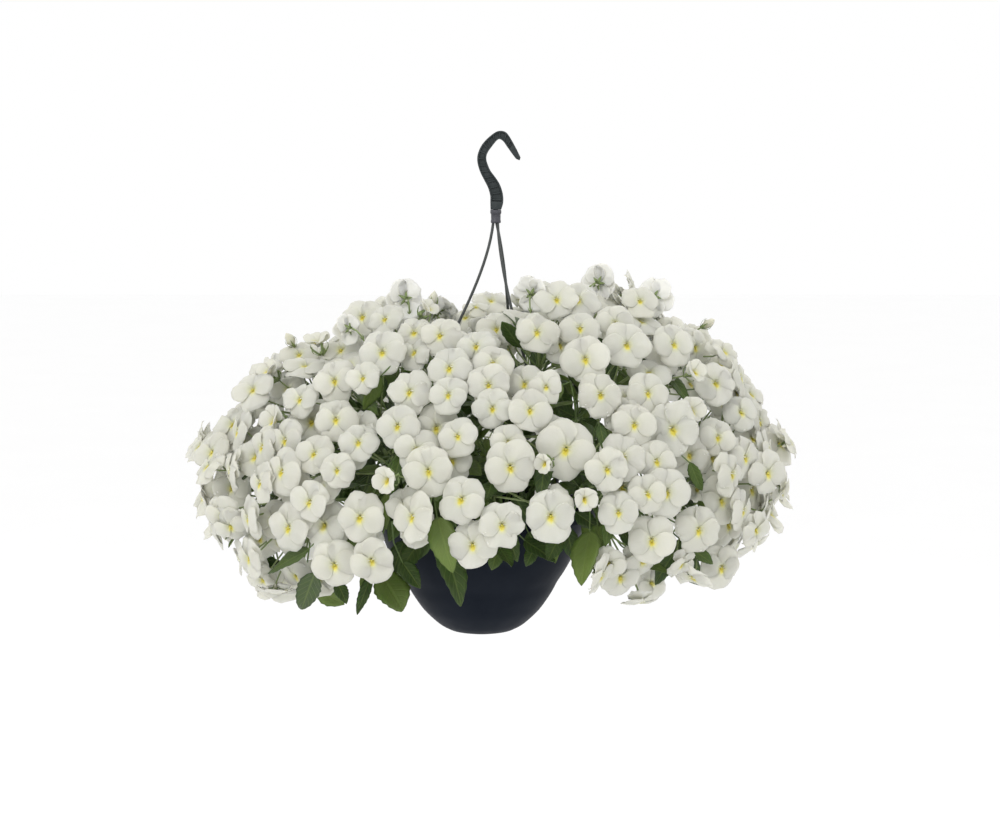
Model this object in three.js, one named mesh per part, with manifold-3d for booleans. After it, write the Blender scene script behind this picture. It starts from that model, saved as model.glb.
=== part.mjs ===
// Hanging basket of trailing violas.
// A thin-walled 23 cm hanging bowl filled with potting soil hangs from a
// three-strand moulded hanger with a hook; trailing shoots of a white viola
// grow out of the soil, arch over the rim and form a round mound.
// Millimetres, +Z up. Origin: the seat of the hook (the top of the inside of
// its curve). The hook lies in the XZ plane and its tip points to +X.
import * as THREE from 'three';
import { mergeVertices } from 'three/addons/utils/BufferGeometryUtils.js';
import Module from 'manifold-3d';

const wasm = await Module();
wasm.setup();

// ---- driving dimensions ----------------------------------------------------
const POT_X = -18.1;          // bowl axis, X (the basket hangs a little off the hook's seat)
const Z_BASE = -491.91;      // underside of the bowl's foot
const POT_H = 128.4;           // bowl height
const POT_SEG = 30;
const RIM_R = 116;            // outside radius of the rolled rim
const STRAND_HOLE_R = 110.6;  // pitch radius of the three strand holes in the rim
const STRAND_HOLE_D = 5.0;
const DRAIN_R = 15;           // pitch radius of the drain holes in the foot
const DRAIN_D = 8;
const DRAIN_N = 4;
const SOIL_BELOW_RIM = 16;
const Z_RIM = Z_BASE + POT_H;
const Z_SOIL = Z_RIM - SOIL_BELOW_RIM;
const STRAND_R = 1.45;
const BUTTON_R = 2.7;
const BUTTON_H = 2.6;
const HOOK_T = 6.5;           // hook thickness, across its plane
const HOOK_POCKET = 2.2;      // depth of the pockets on both faces
const HOOK_FLANGE = 1.7;      // flange left round each pocket
const HOOK_RIB = 0.75;        // half width of the ribs between the pockets
const COLLAR_X = -3.75;
const Z_COLLAR_TOP = -69.12;
const Z_COLLAR_BOT = -82.43;
const COLLAR_R_TOP = 5.5;
const COLLAR_R_BOT = 5.0;
const TENON_R = 2.5;
const TENON_L = 6;
const SOCKET_PITCH = 2.7;     // strand sockets about the collar's axis
const SOCKET_DEPTH = 6;
const FIT_GAP = 0.3;
const STEM_R = 1.9;
const CROWN_R = 2.6;          // stem foot in the soil
const CROWN_DEPTH = 14;
const PEDICEL_R = 1.15;
// Petal tips seen from the front: [degrees from the top, share of the radius].
const PETAL_TIPS = [[38, 1.0], [97, 1.0], [180, 1.02], [263, 1.0], [322, 1.0]];
const FLOWER_NECK = 5;        // depth of the flower, to where the stalk starts
// Leaf: where the blade is widest, as a share of its length, and its keel there.
const LEAF_WIDEST = 0.48;
const LEAF_KEEL = 1.4;
// Hook outline stations, [outer x, outer z, inner x, inner z], from the shank to the tip.
const HOOK_STATIONS = [
  [-9.0, -69.12, 1.58, -69.12],
  [-9.2, -61.73, 3.56, -62.22],
  [-9.29, -55.53, 3.26, -53.85],
  [-11.26, -48.05, 0.3, -44.51],
  [-15.21, -40.09, -4.15, -37.44],
  [-18.95, -32.63, -8.88, -31.15],
  [-21.31, -25.56, -11.54, -25.17],
  [-22.09, -19.29, -13.02, -20.27],
  [-21.1, -13.21, -12.82, -15.96],
  [-17.74, -5.97, -11.24, -12.23],
  [-13.01, -0.29, -8.28, -8.12],
  [-7.88, 4.2, -4.93, -3.72],
  [-3.15, 7.33, -2.17, -0.78],
  [0.79, 8.21, 0.0, 0.0],
  [4.53, 7.63, 2.36, -1.08],
  [7.58, 5.57, 4.53, -3.23],
  [11.33, 0.0, 6.9, -6.75],
  [15.87, -8.22, 11.04, -12.53],
  [18.54, -13.41, 14.0, -16.54],
  [20.71, -18.01, 16.18, -19.39]
];
const HOOK_TIP = [19.73, -20.76];

// Control points of the strands (left, right, back), from the collar to the rim.
const STRAND_PATHS = [
  [[-6.35, -0.74, -82.43], [-15.5, -2.23, -166.46], [-113.0, -26.92, -289.69], [-124.42, -30.49, -362.51]],
  [[-1.81, -1.88, -82.43], [1.36, -5.62, -166.46], [53.87, -67.83, -289.69], [61.46, -76.83, -362.51]],
  [[-3.1, 2.62, -82.43], [16.0, 13.85, -166.46], [10.0, 114.75, -289.69], [8.66, 107.31, -362.51]]
];

// One entry per trailing shoot.
// flowers: centre xyz, facing xyz, roll, diameter, kind (0 open, 1 half open, 2 bud, 3 turned away),
//          stalk start xyz, stalk bend xyz, stalk end xyz, stalk steps.
// leaves:  stalk start xyz, blade base xyz, blade tip xyz, blade normal xyz, blade width.
const SHOOTS = [
  { stem: [[-78.82,-31.63,-379.51],[-78.82,-31.63,-249.64],[-165.97,-93.59,-297.11],[-182.81,-94.46,-363.71]], steps: 4,
    flowers: [
      [-213.31,-131.25,-427.82,-0.048,-0.131,-0.99,0.087,43.7,3,-181.35,-93.82,-361.01,-197.21,-112.21,-391.94,-213.07,-130.6,-422.87,1],
      [-246.64,-126.31,-396.9,-0.821,-0.366,-0.438,-0.103,43.7,0,-173.05,-90.16,-345.67,-207.79,-107.32,-370.19,-242.53,-124.48,-394.71,1],
      [-192.74,-151.74,-407.04,-0.553,-0.708,-0.44,-0.425,42.9,0,-179.4,-92.96,-357.41,-184.69,-120.58,-381.13,-189.98,-148.2,-404.84,1],
      [-228.36,-102.53,-420.97,-0.449,-0.708,-0.545,-0.027,38.5,0,-176.53,-91.69,-352.09,-201.32,-95.34,-385.17,-226.12,-98.99,-418.24,1]],
    leaves: [
      [-142.72,-73.89,-310.37,-120.97,-148.43,-407.93,-134.58,-160.43,-441.74,-0.263,-0.871,0.415,11.1],
      [-134.42,-68.71,-305.94,-146.76,-72.85,-291.39,-180.2,-80.7,-269.33,0.35,0.578,0.737,20.7],
      [-134.9,-69.01,-306.2,-158.51,-79.94,-293.25,-192.01,-93.05,-288.99,0.147,-0.055,0.988,18.2]] },
  { stem: [[-57.37,55.42,-379.51],[-57.37,55.42,-258.02],[-127.75,136.39,-301.88],[-135.16,149.47,-365.99]], steps: 4,
    flowers: [
      [-164.13,163.6,-413.67,-0.537,0.422,-0.731,-0.092,42.5,0,-131.1,144.12,-355.08,-146.27,152.81,-382.55,-161.44,161.49,-410.02,1],
      [-101.26,216.03,-413.7,-0.168,0.884,-0.436,-0.259,47.8,0,-130.76,143.67,-354.17,-115.59,177.64,-382.84,-100.42,211.61,-411.52,1],
      [-207.08,125.55,-423.64,-0.651,0.641,-0.406,0.108,43.0,0,-134.2,148.2,-363.41,-187.74,106.51,-411.57,-203.82,122.34,-421.61,2],
      [-207.75,175.8,-372.96,-0.715,0.628,-0.306,0.277,44.0,0,-134.2,148.2,-363.41,-169.19,160.43,-367.42,-204.17,172.66,-371.43,1],
      [-164.5,206.26,-381.49,-0.279,0.952,-0.127,-0.009,21.6,2,-131.86,145.12,-357.12,-147.43,173.12,-368.96,-162.99,201.13,-380.8,1],
      [-128.03,187.68,-413.83,-0.392,0.654,-0.647,0.145,45.2,0,-134.2,148.2,-363.41,-130.13,166.31,-387.0,-126.07,184.41,-410.59,1]],
    leaves: [
      [-112.88,120.84,-318.62,-132.26,127.63,-313.66,-173.79,142.88,-308.2,0.251,0.362,0.898,23.2],
      [-77.02,78.27,-315.49,-96.02,84.15,-329.01,-119.55,98.07,-360.4,-0.706,0.277,0.652,18.7],
      [-75.98,77.06,-316.55,-75.69,74.46,-338.58,-70.54,66.52,-378.34,0.764,-0.607,0.22,22.7]] },
  { stem: [[18.63,-64.8,-379.51],[18.63,-64.8,-257.45],[73.7,-148.99,-298.22],[101.36,-186.59,-361.82]], steps: 5,
    flowers: [
      [137.05,-234.77,-357.29,0.104,-0.994,-0.035,0.052,46.8,0,97.31,-180.89,-354.48,116.92,-205.35,-355.8,136.53,-229.8,-357.12,1],
      [91.5,-245.12,-387.56,0.852,-0.31,-0.423,-0.094,39.5,3,96.55,-179.82,-353.09,91.89,-211.69,-369.27,87.24,-243.57,-385.45,1],
      [130.82,-185.79,-424.87,0.171,-0.296,-0.94,0.212,37.0,3,90.79,-171.72,-342.65,110.38,-178.01,-381.41,129.97,-184.31,-420.17,1],
      [110.47,-214.35,-395.68,0.328,-0.889,-0.319,0.014,42.8,0,99.94,-184.59,-359.25,104.38,-197.25,-376.67,108.83,-209.9,-394.08,1]],
    leaves: [
      [62.86,-131.27,-307.45,81.98,-217.75,-351.57,71.84,-252.88,-393.26,-0.342,-0.676,0.653,29.2],
      [80.57,-157.17,-326.35,168.86,-177.36,-368.21,143.62,-159.85,-414.2,-0.672,-0.735,0.089,19.4],
      [84.19,-162.43,-330.67,109.77,-206.43,-348.98,120.78,-222.63,-367.22,-0.233,-0.793,0.563,11.6],
      [87.26,-166.75,-336.24,101.94,-214.78,-329.11,95.55,-238.5,-361.5,0.159,-0.811,0.563,14.0],
      [54.69,-119.09,-305.6,130.47,-172.13,-388.04,154.69,-196.58,-394.5,-0.177,-0.412,0.894,13.0]] },
  { stem: [[-94.64,-8.0,-379.51],[-94.64,-8.0,-254.9],[-188.72,-38.92,-294.58],[-228.74,-49.94,-365.35]], steps: 5,
    flowers: [
      [-289.63,-54.81,-342.58,-0.961,-0.034,-0.276,0.174,43.1,0,-219.32,-47.19,-352.94,-252.07,-50.92,-347.07,-284.83,-54.64,-341.2,1],
      [-274.67,-97.79,-373.12,-0.922,-0.097,-0.375,0.092,42.3,0,-226.75,-49.36,-362.73,-248.41,-73.33,-366.99,-270.06,-97.31,-371.25,1],
      [-235.86,-57.54,-418.54,-0.754,-0.368,-0.544,0.088,44.6,0,-220.47,-47.52,-354.46,-208.81,-44.35,-399.04,-232.09,-55.7,-415.82,1],
      [-239.68,-20.33,-415.26,-0.237,-0.378,-0.895,0.027,37.5,0,-209.65,-44.36,-340.2,-224.07,-31.4,-375.49,-238.5,-18.44,-410.78,1],
      [-276.83,-49.24,-381.18,-0.83,-0.005,-0.558,-0.005,40.0,0,-226.75,-49.36,-362.73,-249.72,-49.29,-370.56,-272.68,-49.22,-378.39,1]],
    leaves: [
      [-219.95,-47.37,-353.78,-238.98,-51.54,-361.35,-270.57,-64.59,-385.09,-0.593,-0.028,0.805,22.4],
      [-221.72,-47.89,-356.11,-197.36,-35.64,-360.93,-160.77,-17.7,-378.21,-0.059,0.752,0.656,20.4],
      [-146.53,-24.75,-303.51,-160.21,-28.94,-312.54,-185.87,-34.75,-333.74,-0.632,-0.036,0.774,15.0]] },
  { stem: [[25.26,-38.39,-379.51],[25.26,-38.39,-274.42],[124.4,-101.58,-307.7],[185.18,-145.01,-353.4]], steps: 5,
    flowers: [
      [182.1,-203.34,-353.23,0.342,-0.94,0.0,0.147,45.6,0,175.11,-138.0,-346.99,177.75,-168.32,-350.11,180.39,-198.64,-353.23,1],
      [208.69,-153.1,-398.4,0.405,-0.908,-0.104,0.127,43.2,0,178.31,-140.23,-349.02,192.49,-144.39,-373.45,206.67,-148.56,-397.88,1],
      [178.11,-181.65,-402.18,-0.526,-0.369,-0.766,0.093,40.7,3,173.52,-136.89,-345.98,177.13,-158.35,-372.16,180.74,-179.81,-398.35,1],
      [227.53,-157.97,-343.41,0.858,-0.495,-0.139,0.073,41.0,0,163.52,-129.93,-339.61,193.38,-142.71,-341.16,223.24,-155.49,-342.71,1],
      [241.64,-146.35,-363.86,0.677,-0.677,-0.289,-0.081,38.2,0,182.51,-143.15,-351.7,210.38,-143.06,-357.06,238.25,-142.97,-362.42,1],
      [217.17,-129.76,-361.61,0.609,-0.786,-0.108,0.049,46.1,0,181.93,-142.75,-351.33,198.03,-134.29,-356.2,214.12,-125.83,-361.07,1]],
    leaves: [
      [129.83,-106.94,-322.54,176.43,-176.38,-375.92,198.67,-178.03,-389.72,0.256,-0.821,0.511,13.0],
      [74.58,-70.3,-310.9,143.83,-166.71,-276.26,138.75,-203.31,-300.61,0.281,-0.558,0.781,14.0],
      [146.52,-118.16,-329.47,161.77,-131.13,-321.66,191.38,-160.04,-306.0,-0.163,0.336,0.928,24.4]] },
  { stem: [[31.65,26.68,-379.51],[31.65,26.68,-273.49],[135.67,83.55,-304.81],[173.61,96.32,-351.59]], steps: 5,
    flowers: [
      [219.65,145.34,-361.99,0.845,0.527,-0.093,-0.148,37.5,0,171.27,95.34,-349.61,193.35,119.02,-355.57,215.43,142.71,-361.52,1],
      [242.2,90.94,-383.48,0.791,0.576,-0.206,-0.067,37.5,0,169.56,94.63,-348.16,207.77,65.86,-374.53,238.25,88.06,-382.45,1],
      [198.78,152.98,-396.4,0.657,0.663,-0.359,-0.172,41.9,0,164.51,92.52,-343.9,170.33,124.3,-380.86,195.49,149.67,-394.6,2],
      [231.05,134.57,-308.69,0.664,0.079,0.743,0.197,47.4,0,155.11,88.6,-335.95,191.42,111.39,-324.18,227.73,134.18,-312.41,1]],
    leaves: [
      [165.2,92.81,-344.48,186.85,99.05,-347.06,224.2,109.44,-353.79,0.107,0.24,0.965,18.9],
      [112.41,68.77,-312.99,109.58,64.92,-326.27,109.41,50.22,-366.82,0.974,0.212,-0.081,20.0],
      [139.26,81.78,-323.93,144.45,96.81,-330.91,152.45,128.66,-348.71,0.098,0.467,0.879,17.0]] },
  { stem: [[48.35,5.39,-379.51],[48.35,5.39,-274.36],[156.64,9.51,-305.55],[219.8,9.84,-348.62]], steps: 5,
    flowers: [
      [274.48,21.27,-332.18,0.865,0.489,-0.113,0.142,39.5,0,207.52,9.67,-341.7,242.44,3.14,-327.99,270.16,18.82,-331.61,1],
      [265.62,-26.37,-355.19,0.965,-0.264,0.001,-0.325,35.2,1,208.32,9.68,-342.15,231.87,-6.95,-348.67,255.43,-23.58,-355.2,1],
      [254.72,11.34,-385.28,0.907,0.162,-0.389,-0.311,38.2,0,216.85,9.8,-346.96,227.93,6.55,-373.79,250.19,10.53,-383.33,1],
      [257.8,54.98,-377.46,0.927,0.186,-0.326,-0.14,39.5,0,207.0,9.67,-341.4,219.47,47.3,-363.98,253.16,54.05,-375.83,1]],
    leaves: [
      [85.38,6.68,-315.78,100.62,11.63,-312.91,139.39,14.68,-314.02,0.04,-0.15,0.988,21.5],
      [94.45,6.98,-310.25,105.71,9.59,-319.42,134.44,15.21,-353.69,-0.014,0.989,0.151,21.9],
      [173.31,9.13,-323.98,185.59,9.31,-332.95,208.99,6.19,-355.87,0.691,-0.087,0.718,17.2]] },
  { stem: [[-64.72,-35.09,-379.51],[-64.72,-35.09,-272.84],[-158.96,-103.84,-303.4],[-185.09,-128.8,-338.27]], steps: 4,
    flowers: [
      [-233.46,-170.1,-348.15,-0.846,-0.529,-0.07,-0.116,42.7,0,-181.52,-125.81,-335.63,-205.37,-146.63,-341.72,-229.23,-167.46,-347.8,1],
      [-260.75,-140.53,-351.6,-0.315,-0.888,-0.336,0.006,40.8,0,-182.86,-126.93,-336.62,-221.02,-131.51,-343.27,-259.18,-136.09,-349.92,1],
      [-234.41,-165.93,-386.96,-0.81,-0.527,-0.256,-0.103,42.1,0,-177.14,-122.14,-332.39,-203.75,-142.72,-359.04,-230.36,-163.29,-385.68,1],
      [-211.51,-163.12,-351.27,-0.418,-0.902,0.107,0.123,39.0,0,-183.03,-127.08,-336.75,-196.23,-142.84,-344.28,-209.42,-158.61,-351.81,1]],
    leaves: [
      [-145.26,-95.84,-312.04,-170.65,-183.14,-397.18,-189.36,-135.55,-446.23,-0.271,-0.74,-0.615,22.5],
      [-138.44,-90.59,-310.9,-161.71,-100.31,-322.13,-184.75,-116.39,-344.6,-0.522,-0.344,0.781,17.0],
      [-172.86,-118.56,-329.24,-189.59,-120.54,-335.51,-215.11,-117.22,-358.28,-0.65,-0.341,0.679,17.6]] },
  { stem: [[35.56,-14.32,-379.51],[35.56,-14.32,-263.11],[146.2,-60.25,-293.92],[207.06,-83.7,-346.21]], steps: 5,
    flowers: [
      [273.2,-101.96,-329.35,0.97,-0.034,-0.242,-0.131,42.1,0,189.41,-76.76,-334.14,228.88,-89.27,-331.14,268.35,-101.79,-328.14,1],
      [254.31,-113.51,-354.85,0.93,-0.131,-0.342,0.062,41.9,0,204.15,-82.56,-344.22,226.91,-97.71,-348.68,249.66,-112.86,-353.14,1],
      [253.98,-127.45,-312.45,0.572,-0.82,0.028,-0.01,45.3,0,180.15,-73.12,-327.81,215.63,-98.23,-320.2,251.12,-123.35,-312.59,1],
      [250.79,-56.35,-394.52,0.567,-0.376,-0.733,-0.299,45.7,0,194.08,-78.6,-337.34,224.85,-33.81,-363.78,247.95,-54.47,-390.85,2],
      [226.1,-95.37,-390.35,0.755,-0.37,-0.541,0.169,48.8,0,197.03,-79.76,-339.35,209.68,-86.64,-363.5,222.32,-93.52,-387.64,1]],
    leaves: [
      [117.9,-48.12,-302.74,143.98,-49.91,-316.38,170.17,-52.49,-334.98,0.582,0.172,0.795,16.8],
      [181.68,-73.72,-328.86,187.89,-90.52,-328.53,196.18,-129.19,-332.02,0.189,-0.048,0.981,22.1],
      [180.57,-73.28,-328.1,200.04,-88.05,-321.21,239.22,-110.04,-318.17,0.05,0.224,0.973,23.7]] },
  { stem: [[-72.42,10.42,-379.51],[-72.42,10.42,-272.92],[-190.95,27.37,-301.53],[-216.59,27.3,-340.67]], steps: 4,
    flowers: [
      [-300.15,0.0,-299.23,-0.992,-0.069,-0.104,0.036,40.1,0,-212.04,26.92,-337.5,-260.47,16.71,-304.56,-295.19,0.35,-298.71,2],
      [-242.19,87.71,-397.99,-0.767,0.463,-0.443,-0.074,48.4,0,-214.14,27.1,-338.96,-205.94,65.82,-377.06,-238.35,85.39,-395.77,1],
      [-272.99,86.35,-325.77,-0.98,0.184,0.079,-0.017,45.6,0,-198.38,25.77,-327.98,-233.24,55.6,-327.07,-268.09,85.43,-326.16,1],
      [-252.66,18.11,-406.9,-0.955,0.103,-0.279,-0.034,45.1,0,-208.55,26.63,-335.06,-209.62,13.45,-394.31,-247.89,17.59,-405.5,1],
      [-284.25,-4.91,-346.83,-0.972,0.039,0.231,-0.195,40.4,0,-195.33,25.52,-325.85,-237.36,10.21,-336.92,-279.39,-5.11,-347.98,1],
      [-275.97,67.38,-364.21,-0.96,-0.272,-0.074,-0.22,42.0,0,-208.98,26.66,-335.36,-240.08,47.7,-349.6,-271.17,68.74,-363.84,1],
      [-280.76,27.62,-324.62,-0.957,0.18,0.228,0.374,45.6,0,-198.03,25.74,-327.73,-237.0,26.23,-326.74,-275.97,26.72,-325.76,1]],
    leaves: [
      [-128.12,18.0,-306.4,-145.13,14.33,-297.8,-180.32,-0.21,-292.28,0.062,0.221,0.973,21.0],
      [-179.55,24.19,-314.85,-198.17,11.27,-330.2,-220.42,0.28,-354.2,-0.76,0.169,0.627,18.8],
      [-100.47,14.28,-321.76,-115.89,24.59,-317.95,-150.36,50.76,-326.67,-0.534,-0.469,0.703,22.5]] },
  { stem: [[-52.07,-46.71,-379.51],[-52.07,-46.71,-279.56],[-105.99,-151.33,-307.11],[-127.58,-192.5,-340.48]], steps: 4,
    flowers: [
      [-171.22,-226.34,-323.75,-0.53,-0.848,0.035,0.212,39.7,0,-116.94,-172.05,-329.48,-142.76,-197.08,-326.7,-168.57,-222.1,-323.92,1],
      [-124.49,-247.61,-333.79,-0.173,-0.982,0.07,0.031,46.4,0,-125.11,-187.75,-337.93,-124.37,-215.23,-336.03,-123.62,-242.7,-334.14,1],
      [-192.2,-208.43,-350.2,-0.5,-0.866,0.0,0.175,45.5,0,-116.66,-171.52,-329.19,-153.18,-187.81,-339.7,-189.7,-204.1,-350.2,1],
      [-114.59,-253.5,-372.03,-0.138,-0.985,-0.104,-0.342,41.0,0,-118.51,-175.07,-331.1,-116.21,-211.82,-351.31,-113.9,-248.58,-371.51,1],
      [-149.18,-233.19,-379.87,-0.173,-0.984,-0.035,-0.232,45.0,0,-126.26,-189.95,-339.11,-137.28,-209.11,-359.4,-148.31,-228.27,-379.7,1],
      [-159.36,-212.54,-346.8,-0.415,-0.909,0.029,0.028,46.9,0,-126.26,-189.95,-339.11,-149.7,-193.2,-349.0,-157.28,-207.99,-346.94,2]],
    leaves: [
      [-78.45,-97.82,-312.64,-113.66,-127.22,-408.33,-90.51,-139.22,-442.53,0.445,-0.707,0.549,34.6],
      [-123.78,-185.2,-336.55,-89.94,-216.16,-283.12,-96.07,-242.26,-312.73,0.153,-0.757,0.635,13.2],
      [-69.42,-80.33,-320.79,-63.72,-96.19,-345.15,-53.52,-127.99,-375.79,-0.381,-0.702,0.602,21.1]] },
  { stem: [[-24.29,46.24,-379.51],[-24.29,46.24,-265.24],[-26.18,174.81,-293.98],[-23.53,203.19,-336.38]], steps: 5,
    flowers: [
      [-53.15,237.38,-292.49,-0.212,0.271,0.939,-0.074,43.3,0,-23.73,197.48,-332.01,-37.91,216.75,-314.59,-52.09,236.02,-297.18,1],
      [25.55,261.61,-337.33,-0.157,0.96,-0.23,-0.127,37.5,0,-24.26,182.49,-320.53,20.7,199.13,-326.02,26.34,256.81,-336.18,2],
      [-14.57,249.55,-384.31,-0.306,0.948,-0.092,0.093,42.4,0,-23.63,200.22,-334.11,-2.69,212.77,-380.74,-13.04,244.81,-383.85,1],
      [-88.78,256.23,-315.45,-0.246,0.852,0.462,-0.095,45.9,0,-23.66,199.57,-333.61,-55.6,225.77,-325.68,-87.55,251.97,-317.76,1],
      [-38.13,257.2,-322.32,-0.229,0.942,0.245,-0.141,48.4,0,-23.62,200.62,-334.42,-30.3,226.56,-328.98,-36.99,252.49,-323.55,1],
      [-48.48,231.34,-409.49,-0.015,0.958,-0.287,0.032,41.5,0,-23.81,195.17,-330.24,-47.77,185.16,-395.68,-48.41,226.55,-408.06,1],
      [30.89,220.23,-406.53,0.137,0.942,-0.307,-0.25,38.8,0,-23.84,194.3,-329.57,26.33,188.89,-396.31,30.21,215.52,-404.99,2],
      [14.62,248.02,-299.49,0.351,0.904,0.244,0.039,42.1,0,-24.12,186.52,-323.61,-5.63,215.01,-312.16,12.87,243.5,-300.71,1],
      [-92.9,246.64,-377.39,0.079,0.989,-0.128,-0.268,41.7,0,-23.72,197.92,-332.35,-58.51,219.81,-354.55,-93.3,241.7,-376.75,1]],
    leaves: [
      [-24.93,127.7,-299.57,-21.57,153.12,-296.07,-25.42,191.82,-302.06,-0.038,0.149,0.988,20.8],
      [-24.76,164.32,-308.97,-27.54,180.76,-312.01,-32.46,223.36,-322.43,-0.227,0.207,0.952,22.0],
      [-24.82,103.95,-303.08,-4.28,120.51,-292.86,25.81,153.92,-289.39,0.009,-0.111,0.994,19.9]] },
  { stem: [[13.91,39.48,-379.51],[13.91,39.48,-274.95],[79.17,145.48,-301.89],[111.2,185.0,-330.4]], steps: 5,
    flowers: [
      [154.14,186.44,-404.68,0.508,0.775,-0.375,0.111,40.5,0,100.58,170.56,-323.04,127.52,145.86,-385.03,151.6,182.57,-402.8,1],
      [83.66,245.98,-354.24,0.398,0.879,0.262,-0.034,19.0,2,107.16,179.52,-327.61,94.46,210.66,-341.55,81.76,241.8,-355.49,1],
      [178.53,194.4,-317.49,0.607,0.752,0.255,-0.092,43.9,0,104.86,176.38,-326.01,140.17,183.51,-322.39,175.49,190.64,-318.77,1],
      [128.96,231.53,-362.14,0.403,0.912,-0.081,-0.039,48.1,0,100.36,170.27,-322.9,113.65,198.62,-342.31,126.94,226.97,-361.73,1],
      [88.0,248.44,-311.37,0.418,0.813,0.406,-0.095,43.6,0,102.02,172.52,-324.04,66.79,223.71,-306.6,85.91,244.38,-313.4,2],
      [113.09,224.81,-286.26,0.544,0.74,0.397,0.03,42.7,0,109.36,182.5,-329.13,109.86,201.8,-308.68,110.37,221.11,-288.24,1],
      [97.22,219.75,-392.57,0.445,0.836,-0.321,0.074,46.3,0,99.3,168.83,-322.16,76.68,181.15,-377.77,95.0,215.57,-390.97,1],
      [176.47,200.24,-368.03,0.7,0.675,-0.234,-0.071,38.2,0,103.38,174.37,-324.98,138.17,185.62,-345.92,172.97,196.86,-366.86,1],
      [142.18,230.39,-324.45,0.589,0.772,0.239,0.154,34.0,1,101.92,172.39,-323.97,119.05,197.45,-325.43,136.17,222.51,-326.88,1]],
    leaves: [
      [85.3,149.63,-312.93,89.81,166.16,-317.75,101.41,203.31,-340.15,0.419,0.369,0.829,20.8],
      [32.53,69.18,-317.15,37.09,85.07,-325.53,46.01,117.33,-348.25,-0.476,0.591,0.652,22.2],
      [47.15,92.02,-307.79,49.67,107.99,-321.11,47.11,127.73,-350.3,0.189,0.821,0.539,16.2]] },
  { stem: [[-72.49,20.89,-379.51],[-72.49,20.89,-269.9],[-166.23,93.18,-296.47],[-195.62,112.92,-333.53]], steps: 4,
    flowers: [
      [-248.33,131.79,-308.94,-0.794,0.339,0.505,0.015,39.1,0,-193.41,111.33,-331.96,-218.89,120.71,-321.71,-244.36,130.09,-311.47,1],
      [-213.6,171.14,-316.76,-0.717,0.526,0.458,-0.245,33.3,1,-193.41,111.33,-331.96,-199.93,138.61,-326.65,-206.44,165.89,-321.34,1],
      [-252.93,112.94,-352.69,-0.924,0.279,-0.263,-0.048,46.6,0,-178.25,100.4,-321.21,-212.71,100.79,-341.26,-248.31,111.55,-351.38,1],
      [-233.04,134.86,-394.63,-0.658,0.717,-0.231,-0.186,38.0,0,-193.41,111.33,-331.96,-205.51,104.89,-384.99,-229.75,131.28,-393.48,1]],
    leaves: [
      [-161.35,88.21,-309.23,-189.76,93.93,-315.22,-229.08,98.91,-334.43,-0.447,-0.103,0.888,20.6],
      [-114.2,52.79,-304.67,-139.98,62.27,-301.58,-176.71,73.77,-310.18,-0.161,0.206,0.965,20.2],
      [-135.45,68.81,-304.58,-150.82,84.72,-301.25,-180.95,117.7,-311.82,-0.261,0.07,0.963,24.9]] },
  { stem: [[-17.31,-49.24,-379.51],[-17.31,-49.24,-279.97],[-6.41,-174.61,-300.32],[-4.75,-211.09,-321.56]], steps: 4,
    flowers: [
      [9.25,-257.14,-287.02,-0.035,-0.997,0.07,-0.118,47.8,0,-4.95,-208.11,-320.64,2.24,-230.13,-304.0,9.42,-252.15,-287.37,1],
      [-33.06,-272.05,-313.56,-0.07,-0.997,0.035,0.411,44.0,0,-6.8,-180.61,-312.07,-19.75,-223.84,-312.9,-32.71,-267.06,-313.73,1],
      [45.1,-269.65,-328.89,0.035,-0.999,0.035,-0.043,47.7,0,-6.41,-186.37,-313.86,19.26,-225.51,-321.46,44.93,-264.66,-329.06,1],
      [2.1,-276.26,-336.1,0.07,-0.995,0.07,0.004,42.3,0,-5.11,-205.75,-319.9,-4.16,-253.42,-334.22,1.75,-271.28,-336.45,2],
      [-23.95,-268.02,-355.29,-0.104,-0.992,-0.07,-0.067,44.1,0,-5.44,-200.77,-318.35,-14.44,-231.91,-336.64,-23.43,-263.06,-354.94,1]],
    leaves: [
      [-13.49,-94.43,-314.53,23.02,-140.68,-374.98,52.93,-152.68,-391.81,0.121,-0.694,0.71,19.1],
      [-12.0,-112.31,-306.34,0.4,-160.41,-378.92,11.55,-172.41,-393.65,0.379,-0.556,0.74,20.6],
      [-11.52,-118.39,-306.31,-39.16,-141.38,-370.07,-18.35,-153.38,-391.67,0.067,-0.844,0.533,15.3]] },
  { stem: [[-63.73,-17.46,-379.51],[-63.73,-17.46,-285.89],[-182.88,-58.92,-290.38],[-215.76,-74.41,-332.3]], steps: 4,
    flowers: [
      [-253.83,-134.71,-309.46,-0.951,-0.309,0.0,0.322,43.3,0,-211.14,-72.54,-329.61,-230.11,-102.85,-319.54,-249.07,-133.17,-309.46,1],
      [-251.23,-90.37,-277.54,-0.905,-0.403,0.139,0.121,42.3,0,-213.19,-73.37,-330.8,-229.95,-80.86,-304.52,-246.71,-88.36,-278.24,1],
      [-278.91,-75.03,-299.61,-0.56,-0.714,0.419,-0.343,44.1,0,-213.19,-73.37,-330.8,-244.65,-72.41,-316.25,-276.11,-71.46,-301.7,1],
      [-257.86,-89.82,-331.7,-0.453,-0.831,0.322,-0.153,44.6,0,-206.42,-70.62,-326.86,-231.01,-78.14,-330.09,-255.59,-85.66,-333.31,1],
      [-277.55,-113.64,-307.97,-0.636,-0.489,0.597,0.017,38.7,0,-203.32,-69.35,-325.05,-264.86,-101.19,-301.37,-274.37,-111.19,-310.95,2],
      [-249.0,-74.03,-290.37,-0.579,-0.531,0.619,-0.068,46.8,0,-205.75,-70.34,-326.47,-225.93,-70.86,-309.97,-246.11,-71.38,-293.47,1],
      [-273.88,-35.86,-295.03,-0.897,-0.059,0.438,0.248,39.6,0,-213.19,-73.37,-330.8,-235.49,-33.32,-313.79,-269.4,-35.56,-297.22,1]],
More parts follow.
